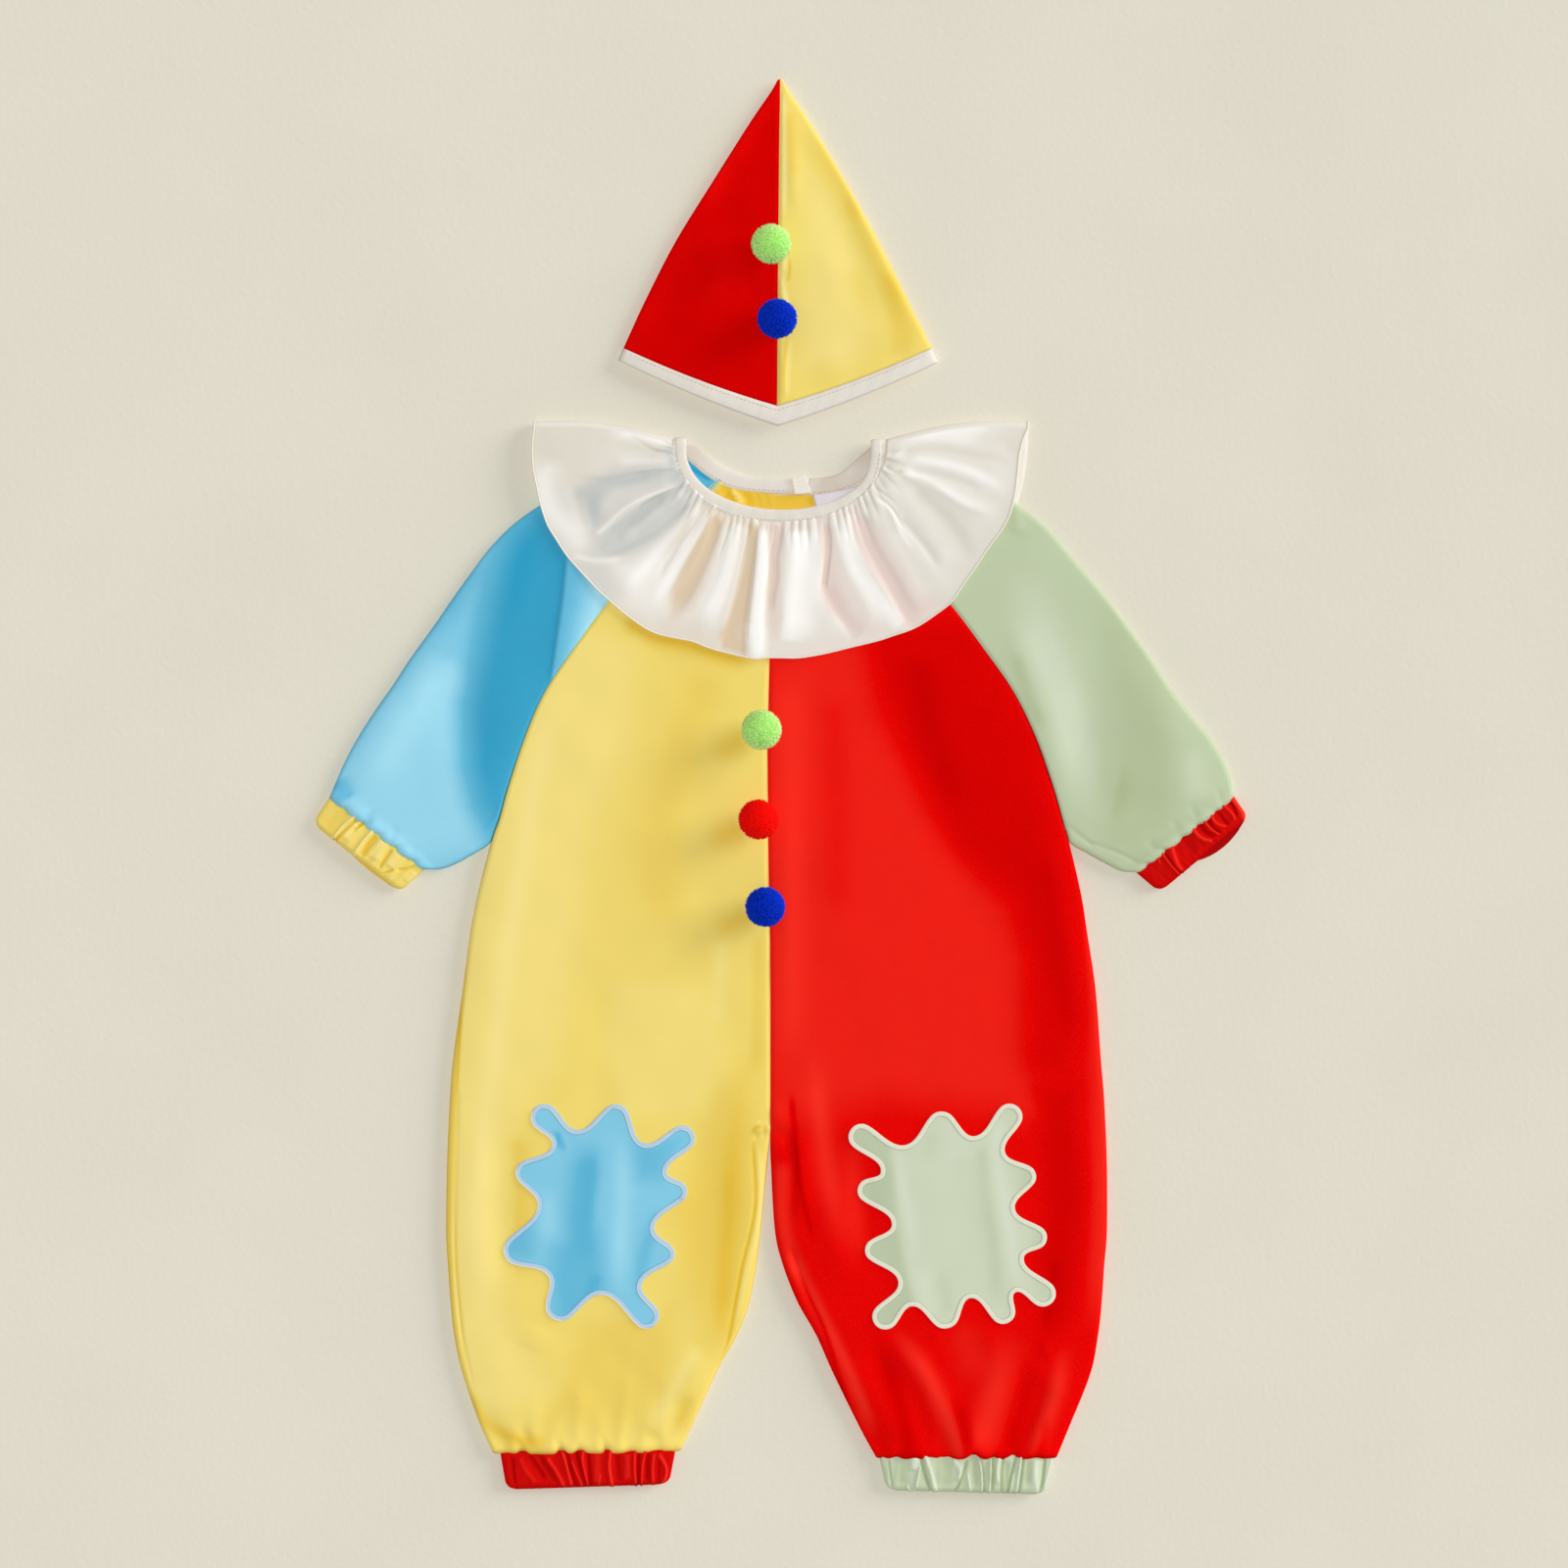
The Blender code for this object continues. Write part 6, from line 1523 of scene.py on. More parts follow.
def puffed(outer: Array, down: Array, run: Array, share: Array, pinches: list[Pinch]) -> Array:
    """A gathered hem's cloth, puffed out over its cuff: it swells, hangs over the hem and turns under.

    The swelling is a bell curve 3 mm up from the hem. Each pinch is one along the hem that draws it up.

    Args:
        outer: The piece's outer points, rows by columns.
        down: How far each is from the hem.
        run: How far along its row each is.
        share: The share of the full height at each.
        pinches: Where the hem is drawn up.

    Returns:
        The points moved.
    """
    drawn = sum(pinch.depth * bell(run - pinch.along, pinch.width) for pinch in pinches)
    row = outer[0, :, :2]
    way = unit(row[np.argmax(np.linalg.norm(row - row[0], axis=1))] - row[0])
    out = np.array([way[1], -way[0]])
    out = out * -np.sign((outer[-1].mean(axis=0)[:2] - outer[0].mean(axis=0)[:2]) @ out)
    near = bell(down, 5.0)
    hang = (1.5 - drawn) * near * np.abs(share)
    swell = (1.3 - 0.45 * drawn) * bell(down - 3.0, 3.2) - bell(down, 1.0)
    moved = outer.copy()
    moved[..., :2] += hang[..., None] * out
    moved[..., 2] = np.maximum(moved[..., 2] + swell * np.clip(share, -0.3, 1), CLEAR)
    return moved


def edge_share(run: Array, turn: Array) -> tuple[Array, Array]:
    """Shares of the full height that the turns at the rows' first and last ends leave.

    Args:
        run: How far along its row each point is.
        turn: How round each row's first and last ends are, two columns.

    Returns:
        The first end's share and the last end's.
    """
    width = run[:, -1:]
    radius = np.minimum(EDGE_ROUND, 0.45 * width)
    first = 1 - turn[:, :1] * (1 - turned(run, radius))
    last = 1 - turn[:, 1:] * (1 - turned(width - run, radius))
    return first, last


def seam_roll(distance: Array, run: Array, flatness: Array, seed: int) -> Array:
    """Height of the cloth beside a seam: it rolls down into the seam, with small uneven puckers along it.

    Args:
        distance: How far each point is from the seam.
        run: How far along the seam it is.
        flatness: 1 where the seam lies flat, 0 where the edge is turned.
        seed: Picks the puckers' phases.

    Returns:
        Heights.
    """
    phases = np.random.default_rng(seed).uniform(0, 2 * np.pi, 3)
    lengths = (5.3, 8.1, 13.7)
    waves = sum(np.sin(2 * np.pi * run / length + phase) for length, phase in zip(lengths, phases))
    dip = bell(distance, 1.2)
    return flatness * (0.07 * waves * np.exp(-distance / 4.0) * (1 - dip) - 0.9 * dip)


@dataclass
class BodyHalf:
    """One colour's half of the romper with its leg: a front and a back panel."""

    colour: str
    dye: Dye
    rows: list[BodyRow]
    folds: list[Stroke]
    tones: list[Stroke]
    creases: list[Stroke]
    pinches: list[Pinch]
    seed: int
    flat: Pair = (0.19, 0.56)
    area: float = 0.085
    front_grid: tuple[int, int] = (270, 116)
    back_grid: tuple[int, int] = (110, 56)

    def build(self) -> None:
        """Builds both panels."""
        self.front()
        self.back()

    def panel(
        self, rows: list[BodyRow], grid: tuple[int, int], depth: float, squareness: Pair
    ) -> tuple[Array, Array, Array]:
        """The plan of a panel: rows between its smooth side and middle edges, bent to the neck at its top.

        Args:
            rows: Its table of rows.
            grid: How many rows and columns of points.
            depth: The neckline's depth.
            squareness: How square its left and right halves are.

        Returns:
            Plan points, each row's turns at its two ends, and the row numbers.
        """
        table = np.array(rows)
        middle_line = (table[:, 0:2] + table[:, 2:4]) / 2
        places = even_places(middle_line, 1200)
        crowded = 1 - (1 - np.linspace(0, 1, grid[0])) ** (1.5 if rows is not self.rows else 1.0)
        places = np.interp(crowded, np.linspace(0, 1, 1200), places)
        smooth = smooth_rows(table, places)
        side, middle, turns = smooth[:, 0:2], smooth[:, 2:4], np.clip(smooth[:, 4:6], 0, 1)
        if rows[0].side_x > rows[0].middle_x:
            side, middle, turns = middle, side, turns[:, ::-1]
        across = unit(middle - side)
        left, right = side + SEAM * across, middle - SEAM * across
        columns = spread(grid[1])
        plan = left[:, None] + columns[None, :, None] * (right - left)[:, None]
        bend = ease((places - len(rows) + 3) / 2)[:, None, None]
        plan = plan + bend * (neck_row(left[-1, 0], right[-1, 0], columns, depth, squareness) - plan[-1])
        return plan, turns, places

    def leg_gathers(self, plan: Array) -> Array:
        """Height that the gathered hem adds: a bell curve across each crease that dies away up the leg."""
        hem = self.rows[0]
        side, middle = np.array([hem.side_x, hem.side_y]), np.array([hem.middle_x, hem.middle_y])
        inwards = np.sign(middle[0] - side[0])
        height = np.zeros(plan.shape[:2])
        for crease in LEG_CREASES:
            foot = side + crease.along * (middle - side)
            up = (plan[..., 1] - foot[1]) / crease.length
            across = plan[..., 0] - foot[0] - inwards * crease.drift * up
            width = LEG_CREASE_HALF_WIDTH * (0.7 + 0.5 * np.clip(up, 0, 1))
            height += 0.28 * crease.height * bell(across, width) * np.clip(1 - up, 0, 1) ** 1.5
        return height

    def rolls(self, run: Array, down: Array, turns: Array, seed: int) -> Array:
        """Height of a panel beside its two seams, from a seed and the next one."""
        first = seam_roll(run, down, 1 - turns[:, :1], seed)
        return first + seam_roll(run[:, -1:] - run, down, 1 - turns[:, 1:], seed + 1)

    def front(self) -> None:
        """The front panel, with its folds, its creases and its rolled seams."""
        plan, turns, _ = self.panel(self.rows, self.front_grid, NECK_FRONT_DEPTH, FRONT_SQUARENESS)
        run = run_of(plan, 1)
        share = np.prod(edge_share(run, turns), axis=0)
        middle = (TOP + floor_under(plan)) / 2
        base = middle + (TOP - middle) * share + SEAM * (1 - share)
        folds = RELIEF * lay(self.folds, plan) + self.leg_gathers(plan)
        folds = folds + swells(plan, PANEL_WAVE, UNEVEN, self.seed) + lay(self.creases, plan)
        down = run_of(plan)
        height = base + folds * share + self.rolls(run, down, turns, self.seed + 1)
        from_side = run if self.rows[0].side_x < self.rows[0].middle_x else run[:, -1:] - run
        outer = puffed(np.dstack([plan, height]), down, from_side, share, self.pinches)
        # Painted shade and light from the table, and painted shade along the hem where it hangs over the cuff
        tone = lay(self.tones, plan) + 0.5 * bell(down, 1.2)
        obj = add_cloth(f"{self.colour}_front", outer, self.dye, tone, smooth=np.dstack([plan, base]))
        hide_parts(f"front_{self.colour}")

    def back_rows(self) -> list[BodyRow]:
        """The back's rows: its neck is higher, and its middle seam leans towards the neck opening."""
        rows = self.rows
        crotch_x, crotch_y = rows[CROTCH_ROW].middle_x, rows[CROTCH_ROW].middle_y
        neck_y = NECK[1] - NECK_BACK_DEPTH
        made = []
        for number, row in enumerate(rows):
            if number > CROTCH_ROW:
                lean = (row.middle_y - crotch_y) / (rows[-1].middle_y - crotch_y)
                leaning_x = crotch_x + lean * (BACK_OPENING_X - crotch_x)
                row = row._replace(middle_x=leaning_x, middle_y=crotch_y + lean * (neck_y - crotch_y))
            made.append(row)
        side_x, side_y = back_neck_corner(np.sign(rows[-1].side_x))
        made[-1] = made[-1]._replace(side_x=side_x, side_y=side_y)
        return made

    def back(self) -> None:
        """The back panel: it lies on the floor, so its soft folds only lift it."""
        plan, turns, _ = self.panel(self.back_rows(), self.back_grid, NECK_BACK_DEPTH, BACK_SQUARENESS)
        run = run_of(plan, 1)
        share = np.prod(edge_share(run, turns), axis=0)
        rest = floor_under(plan)
        middle = (TOP + rest) / 2
        base = middle + (rest - middle) * share - SEAM * (1 - share)
        lifted = 0.5 * np.abs(lay(self.folds, plan)) + np.abs(swells(plan, 40.0, 0.3, self.seed + 7))
        rolls = self.rolls(run, run_of(plan), turns, self.seed + 3)
        gathered = np.clip(lay(INSIDE_FOLDS, plan), 0, 1.4)
        outer = np.dstack([plan, base + np.minimum(lifted, 1.6) * share + np.abs(rolls) + gathered])
        # Painted shade and light from the table, fainter; inside adds the painted shade inside the neck
        tone = 0.6 * lay(self.tones, plan)
        inside = tone + lay(INSIDE_TONES, plan)
        smooth = np.dstack([plan, base])
        obj = add_cloth(f"{self.colour}_back", outer, self.dye, tone, smooth=smooth, inside=inside)
        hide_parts(f"back_{self.colour}")


def folded(
    fold: Array,
    seams: tuple[Array, Array],
    seam_turn: Array,
    grid: tuple[int, int],
    neck_bend: Optional[Array] = None,
    squeeze: Optional[Array] = None,
    bow: Optional[Array] = None,
) -> tuple[Array, Array, Array]:
    """A piece folded along its outer edge: from its seam to the fold in front, and back to its seam behind.

    Args:
        fold: Plan points of the fold, row by row.
        seams: Plan points of the front and back seams.
        seam_turn: How round the seam edge is, row by row.
        grid: Columns in front and behind.
        neck_bend: How far each row has bent to the neckline, for a sleeve.
        squeeze: Share of its height that each row keeps.
        bow: How far each row bends down between its ends.

    Returns:
        Outer points, each point's distance from its seam, and the share of the full height that it reaches.
    """
    squeeze = np.ones(len(fold)) if squeeze is None else squeeze
    bow = np.zeros(len(fold)) if bow is None else bow
    layers, distances, shares = [], [], []
    for seam, count, face, depth, squareness in (
        (seams[0], grid[0], 1.0, NECK_FRONT_DEPTH, FRONT_SQUARENESS),
        (seams[1], grid[1], -1.0, NECK_BACK_DEPTH, BACK_SQUARENESS),
    ):
        columns = spread(count)
        starts = seam + SEAM * unit(fold - seam)
        plan = starts[:, None] + columns[None, :, None] * (fold - starts)[:, None]
        plan[..., 1] -= bow[:, None] * 4 * columns * (1 - columns)
        if neck_bend is not None:
            arc = neck_row(seam[-1, 0], fold[-1, 0], columns, depth, squareness)
            plan = plan + neck_bend[:, None, None] * (arc - plan[-1])
        run = run_of(plan, 1)
        at_seam, at_fold = edge_share(run, np.column_stack([seam_turn, np.ones(len(fold))]))
        share = at_seam * at_fold
        rest = floor_under(plan)
        middle = (TOP + rest) / 2
        reach = (TOP - rest) / 2
        height = middle + face * squeeze[:, None] * (reach * share + SEAM * (1 - at_seam))
        layers.append(np.dstack([plan, height]))
        distances.append(run)
        shares.append(face * share)
    layers[0][:, -1, 2] = (TOP + floor_under(layers[0][:, -1])) / 2
    joined = [np.concatenate([front, back[:, -2::-1]], axis=1) for front, back in (layers, distances, shares)]
    return joined[0], joined[1], joined[2]


@dataclass
class Sleeve:
    """A raglan sleeve: a tube below the armhole, and a strip between the front and back seams above it."""

    colour: str
    dye: Dye
    tube: list[FoldRow]
    shoulder: list[Pair]
    body: BodyHalf
    folds: list[Stroke]
    tones: list[Stroke]
    seed: int
    flat: Pair = (0.23, 0.3)
    area: float = 0.045
    rows: int = 170
    grid: tuple[int, int] = (72, 34)

    def build(self) -> None:
        """Builds the sleeve."""
        tube = np.array(self.tube)
        armhole = np.array(self.body.rows)[:, 0:2]
        fold_knots = np.concatenate([tube[:, 0:2], np.array(self.shoulder)])
        front_knots = np.concatenate([tube[:, 2:4], armhole[UNDERARM_ROW:]])
        back_knots = front_knots.copy()
        back_knots[-1] = back_neck_corner(np.sign(self.tube[0].fold_x))
        turn_knots = np.concatenate([np.ones(len(tube)), np.array(self.body.rows)[UNDERARM_ROW:, 4]])
        places = even_places((fold_knots + front_knots) / 2, self.rows)
        fold = smooth_rows(fold_knots, places)
        # Above the underarm the seam is the body's own edge, so that both follow one curve
        start = len(tube)
        on_body = smooth_rows(armhole, np.maximum(places, start) - start + UNDERARM_ROW)
        above = (places >= start)[:, None]
        front_seam = np.where(above, on_body, smooth_rows(front_knots, places))
        back_seam = smooth_rows(back_knots, places)
        turn = np.clip(smooth_rows(turn_knots[:, None], places)[:, 0], 0, 1)
        bend = ease((places - len(fold_knots) + 3) / 2)
        outer, distance, share = folded(fold, (front_seam, back_seam), turn, self.grid, neck_bend=bend)
        base = outer.copy()
        down = run_of(outer)
        folds = RELIEF * lay(self.folds, outer) + swells(outer, 36.0, UNEVEN, self.seed)
        front = np.clip(share, 0, 1)
        behind = np.clip(-share, 0, 1)
        outer[..., 2] += folds * front + np.minimum(0.5 * np.abs(folds), 1.5) * behind
        outer[..., 2] += seam_roll(distance, down, 1 - turn[:, None], self.seed + 1) * (front - behind)
        outer = puffed(outer, down, distance, share, SLEEVE_PINCHES)
        # Painted shade and light from the table, fainter behind
        tone = lay(self.tones, outer) * (front + 0.6 * behind)
        obj = add_cloth(f"{self.colour}_sleeve", outer, self.dye, tone, smooth=base)
        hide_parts(f"sleeve_{self.colour}")


@dataclass
class Cuff:
    """A gathered band round the end of a sleeve or leg, flattened: its layers meet at its free edge."""

    node: str
    name: str
    dye: Dye
    seam_line: tuple[Pair, Pair]
    hem_line: tuple[Pair, Pair]
    creases: list[Crease]
    seed: int
    mouth: Pair
    tone: float
    flat: Pair
    corner: float = 5.0
    top: float = 6.0
    rows: int = 28
    columns: int = 220
    back_columns: int = 56

    def build(self) -> None:
        """Builds the cuff as one ring after another, from its seam to its free edge.

        The rings' ends draw in by a quarter circle towards the free edge's corners. The front's height is its
        creases' and a fine unevenness, and it sinks to the free edge by a bell curve. Where the mouth gapes,
        the front's edge draws back a little and the back's juts out, by a half sine along the edge.
        """
        seam, hem = np.array(self.seam_line), np.array(self.hem_line)
        down = np.linspace(0, 1, self.rows)[:, None]
        drop = hem.mean(axis=0) - seam.mean(axis=0)
        length, out = math.hypot(*drop), unit(drop)
        quarter = np.clip((down * length - length) / self.corner + 1, 0, 1)
        inset = self.corner * (1 - np.sqrt(1 - quarter**2)) * unit(hem[1] - hem[0])
        start = seam[0] + down * (hem[0] - seam[0]) + inset
        end = seam[1] + down * (hem[1] - seam[1]) - inset
        total = np.linalg.norm(end - start, axis=1)[:, None]
        gape, opening = self.mouth
        rings, tones = [], []
        for count, face in ((self.columns, 1.0), (self.back_columns, -1.0)):
            across = spread(count)[None, :] + 0 * down
            plan = start[:, None] + across[..., None] * (end - start)[:, None]
            run = across * total
            share = turned(np.minimum(run, total - run), EDGE_ROUND)
            marks = lay(self.creases, plan)
            ribbed = np.dstack([plan @ unit(hem[1] - hem[0]), 0.25 * (plan @ out)])
            uneven = swells(ribbed, 3.6, 0.16, self.seed)
            gaping = gape * np.sin(np.pi * np.clip((across - opening) / (1 - opening), 0, 1)) ** 0.7 * down**3
            edge = bell((1 - down) * length, 1.5)
            if face > 0:
                lift = marks + uneven - 0.7 * bell(down * length, 1.5)
                height = self.top / 2 + (self.top / 2 + lift) * share * (1 - 0.5 * edge)
                beyond = 0.30 * (marks + uneven) * down**4 * share - 0.15 * gaping
            else:
                height = np.maximum(self.top / 2 - self.top / 2 * share + 0.2 * np.abs(uneven), 0)
                beyond = 0.85 * gaping + 0.3 * uneven * down**4
            grid = np.dstack([plan + beyond[..., None] * out, height])
            # Painted light on the creases' ridges, painted shade in their troughs and by the free edge, and
            # behind, painted shade in the gaping mouth; the cuff's tone shifts it all
            tone = self.tone + np.clip(-0.62 * marks - 0.2 * uneven, -1, 1) + 0.25 * edge
            if face < 0:
                tone = tone * 0.3 + 0.6 * gaping
            rings.append(grid if face > 0 else grid[:, -2:0:-1])
            tones.append(tone if face > 0 else tone[:, -2:0:-1])
        outer = np.concatenate(rings, axis=1)
        obj = add_cloth(self.name, outer, self.dye, np.concatenate(tones, axis=1), around=True)
        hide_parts(self.node)


@dataclass
class NeckBinding:
    """The strip folded over the neck's raw edges, with its piping, its stitches and its closing tab."""

    back: float = 10.2
    thickness: float = 3.0
    top: float = 8.3
    tab_end: float = 17.9
    side_points: int = 45
    front_points: int = 140
    flat: Pair = (0.01, 0.33)

    def edge(self, left: Array, front: Array, right: Array) -> Array:
        """One edge of the strip: behind from its opening to the left, across the front, and behind again.

        Args:
            left: Its plan points behind, from the left fold to the opening.
            front: Its plan points in front, from left to right.
            right: Its plan points behind, from the opening to the right fold.

        Returns:
            Points at the middle of the strip's thickness.
        """
        heights = np.array([self.thickness / 2, self.top - self.thickness / 2, self.thickness / 2])
        runs = []
        counts = (self.side_points, self.front_points, self.side_points)
        for row, height, count in zip((left[::-1], front, right[::-1]), heights, counts):
            row = smooth_rows(row, even_places(row, count))
            runs.append(np.column_stack([row, np.full(count, height)]))
        turn = np.linspace(0, np.pi, 10)[1:-1, None]
        folds = [
            end + (start - end) * (1 - np.cos(turn)) / 2 + [0, abs(start[2] - end[2]) / 2, 0] * np.sin(turn)
            for end, start in ((runs[0][-1], runs[1][0]), (runs[1][-1], runs[2][0]))
        ]
        return np.concatenate([runs[0], folds[0], runs[1], folds[1], runs[2]])

    def build(self) -> None:
        """Builds the binding and what is sewn on it."""
        inner, outer = self.edge(*NECK_FREE_EDGES), self.edge(*NECK_SEAM_EDGES)
        centre = (inner + outer) / 2
        half = (outer - inner) / 2
        heading = unit(np.gradient(centre, axis=0))
        raised = unit(np.cross(heading, half))
        front_first = len(centre) // 2
        if raised[front_first, 2] < 0:
            raised = -raised
        ring = oval(1.0, self.thickness / 2, 26, 2.7)
        # A few slow ripples, because the strip is cut on the bias and pulled round the curve
        run = run_of(centre)
        ripple = 0.18 * np.sin(run * 2 * np.pi / 17.0) + 0.12 * np.sin(run * 2 * np.pi / 7.3 + 1.0)
        lift = (1 + ripple / self.thickness)[:, None, None]
        points = centre[:, None] + ring[None, :, :1] * half[:, None]
        points = points + lift * ring[None, :, 1:] * raised[:, None]
        points[..., 2] = np.maximum(points[..., 2], CLEAR)
        count, sides = points.shape[:2]
        flat = np.column_stack([np.repeat(run, sides), np.tile(ring[:, 0] * 4, count)])
        order = np.arange(count)
        behind = order >= count - self.side_points
        # Painted shade: deep on the strip's right part behind, with a slow wave along it, and by its left
        # fold
        tone = 0.2 + 0.5 * behind + 0.25 * np.sin(run / 5.0) * behind
        tone += 0.6 * bell(order - self.side_points + 4, 6.0)
        faces, marks = tube_faces(count, sides), tape_marks(np.repeat(tone, sides))
        obj = add_mesh("neck_strip", points.reshape(-1, 3), faces, Dye.CREAM.value, flat, marks)
        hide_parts("neck_binding")
        self.piping(outer)
        self.topstitch(inner, outer)
        self.tab()

    def piping(self, outer: Array) -> None:
        """The fine roll along the seam edge in front."""
        line = outer[self.side_points - 1 : 3 - self.side_points].copy()
        line[:, 2] += 0.9 * np.clip(line[:, 2] / self.top, 0, 1)
        points, faces = sweep(along(line, 1.0), oval(0.55, 0.5, 8))
        marks = tape_marks(np.full(len(points), 0.25))
        add_mesh("neck_piping", points, faces, Dye.CREAM.value, points[:, :2], marks)

    def topstitch(self, inner: Array, outer: Array) -> None:
        """Rows of stitches: by the seam edge in front, and by the lower edge behind."""
        raised = [0, 0, self.thickness / 2 * 0.97]
        width = outer - inner
        front = slice(self.side_points + 11, -self.side_points - 11)
        line = inner[front] + 0.72 * width[front] + raised
        stitch_row("neck_front_stitches", line, 2.6, 0.72)
        left = slice(2, self.side_points - 3)
        right = slice(3 - self.side_points, -2)
        for name, part in (("neck_back_left_stitches", left), ("neck_back_right_stitches", right)):
            stitch_row(name, inner[part] + 0.8 * width[part] + raised, 2.8, 0.7)

    def tab(self) -> None:
        """The strip's left end, lapped over its right one: a folded end with a column of zigzag stitches."""
        places = np.linspace(7.4, self.tab_end - 1.9, 16)
        plan = np.stack([places, 172.1 + 0.022 * (places - 2) ** 1.5], axis=-1)
        path = np.column_stack([plan, np.full(len(plan), self.thickness + 0.2)])
        points, faces = sweep(path, oval(self.back / 2 - 0.2, 0.5, 20, 3.5))
        points[:, 0] -= 0.28 * (points[:, 1] - plan[8, 1]) * np.clip((points[:, 0] - 6) / 9, 0, 1)
        points[:, 1] += 1.6 * np.clip((points[:, 0] - 9) / 6, 0, 1) * (points[:, 1] > plan[8, 1])
        marks = tape_marks(np.full(len(points), -0.2))
        add_mesh("neck_tab", points, faces, Dye.CREAM.value, points[:, :2], marks)
        foot, head = plan[2] - [-0.4, self.back / 2], plan[2] + [-2.2, self.back / 2]
        steps = np.linspace(0, 1, 11)[:, None]
        column = foot + steps * (head - foot)
        column[:, 0] += np.where(np.arange(11) % 2, 0.8, -0.8)
        zigzag = np.column_stack([column, np.full(11, self.thickness + 0.8)])
        add_stitches("neck_tab_stitches", zigzag[:-1], zigzag[1:], 0.22, Yarn.PEACH)


@dataclass
class Collar:
    """The gathered ruffle: its folds run from the neck to the hem, and its gathers bunch it at the neck."""

    gathers: int = 38
    gather_height: float = 1.1
    valley: float = 2.6
    softness: float = 0.3
    columns: int = 500
    behind: int = 40
    rows: int = 56
    flat: Pair = (0.82, 0.085)
    rise: float = 10.2
    bulge: float = 4.0
    outset: float = SEAM + 0.15

    def angles(self) -> Array:
        """The front columns' angles at the neck, in degrees."""
        return np.linspace(0, 180, self.columns + 1)

    def hem_line(self) -> Array:
        """The front hem's plan points. Its columns crowd less at the corners than the neck's do."""
        knots = np.array(COLLAR_HEM)
        places = even_places(knots, 2000)
        share = np.interp(self.angles(), [0, 24, 155, 180], [0, 0.25, 0.735, 1])
        return smooth_rows(knots, np.interp(share, np.linspace(0, 1, 2000), places))

    def relief(self, plan: Array, place: Array) -> tuple[Array, Array]:
        """The front's folds and gathers.

        The folds are its creases' sum above the valleys' floor, kept above the panel by a soft maximum. The
        gathers are sines of the neck angle that die away from the seam.

        Args:
            plan: The front's points.
            place: Rows' places from neck (0) to hem (1), as a column.

        Returns:
            How far the cloth stands above its base, and its tone: painted shade in valleys, painted light on
            ridges.
        """
        neck = self.angles()
        ends = np.clip(np.minimum(neck, 180 - neck) / 4, 0, 1)
        draw = np.random.default_rng(12)
        wander = 0.35 * np.sin(np.radians(neck) * 5 + 1.0) + 0.25 * np.sin(np.radians(neck) * 11)
        phase = self.gathers * neck / 180 + wander + 1
        sizes = draw.uniform(0.1, 1.0, self.gathers + 4)
        gathers = sizes[phase.astype(int)] * np.abs(np.sin(np.pi * phase)) ** 0.85
        floor = self.valley * ease(place / 0.12) * (1 - 0.55 * ease((place - 0.8) / 0.2))
        folds = floor + lay(COLLAR_CREASES, plan) * (0.35 + 0.65 * ease(place / 0.1))
        folds = folds + swells(plan, 22.0, 0.12, 13)
        kept = 0.5 * (folds + np.sqrt(folds**2 + 0.4))
        drawn = self.gather_height * gathers * bell(place, 0.15)
        # Painted shade in the valleys and painted light on the ridges, from the folds' height and the table,
        # and painted shade between the gathers by the neck
        tone = np.clip(0.2 * (self.valley + 0.1 - kept), -0.75, 0.4) + lay(COLLAR_TONES, plan)
        tone = tone + 0.55 * (0.45 - gathers) * bell(place, 0.17)
        return ends * (self.softness * kept + drawn), tone * ease(place / 0.05)

    def loop(
        self, half_width: float, depths: Pair, squareness: tuple[Pair, Pair], rise: float = 0.0
    ) -> Array:
        """One line round the neck: from the opening behind, over the left fold, across the front, and back.

        Each half is a superellipse about the neck's centre, and each fold a half circle up to the front.

        Args:
            half_width: Half width of the loop.
            depths: Its depths in front and behind.
            squareness: How square it is on its left and right, in front and behind.
            rise: How far its centre is above the neck's.

        Returns:
            Points.
        """
        radius = COLLAR_TOP / 2
        opening = neck_place(NECK[0], half_width, squareness[1])
        parting = 0.15 / half_width
        turn = np.linspace(0, np.pi, 10)[1:-1]

        def level(angle: Array, depth: float, height: float, powers: Pair) -> Array:
            plan = NECK + [0, rise] + neck_curve(angle, half_width, depth, powers)
            return np.column_stack([plan, np.full(len(angle), height)])

        def bent(angle: float, steps: Array) -> Array:
            corner = level(np.full(len(steps), angle), depths[0], 0.0, squareness[0])
            return corner + radius * np.column_stack([0 * steps, np.sin(steps), 1 - np.cos(steps)])

        def behind(start: float, end: float) -> Array:
            return level(np.linspace(start, end, self.behind + 1), depths[1], 0.0, squareness[1])

        front = level(np.radians(self.angles()), depths[0], COLLAR_TOP, squareness[0])
        left, right = behind(opening - parting, 0), behind(np.pi, opening + parting)
        return np.concatenate([left, bent(0.0, turn), front, bent(np.pi, turn[::-1]), right])

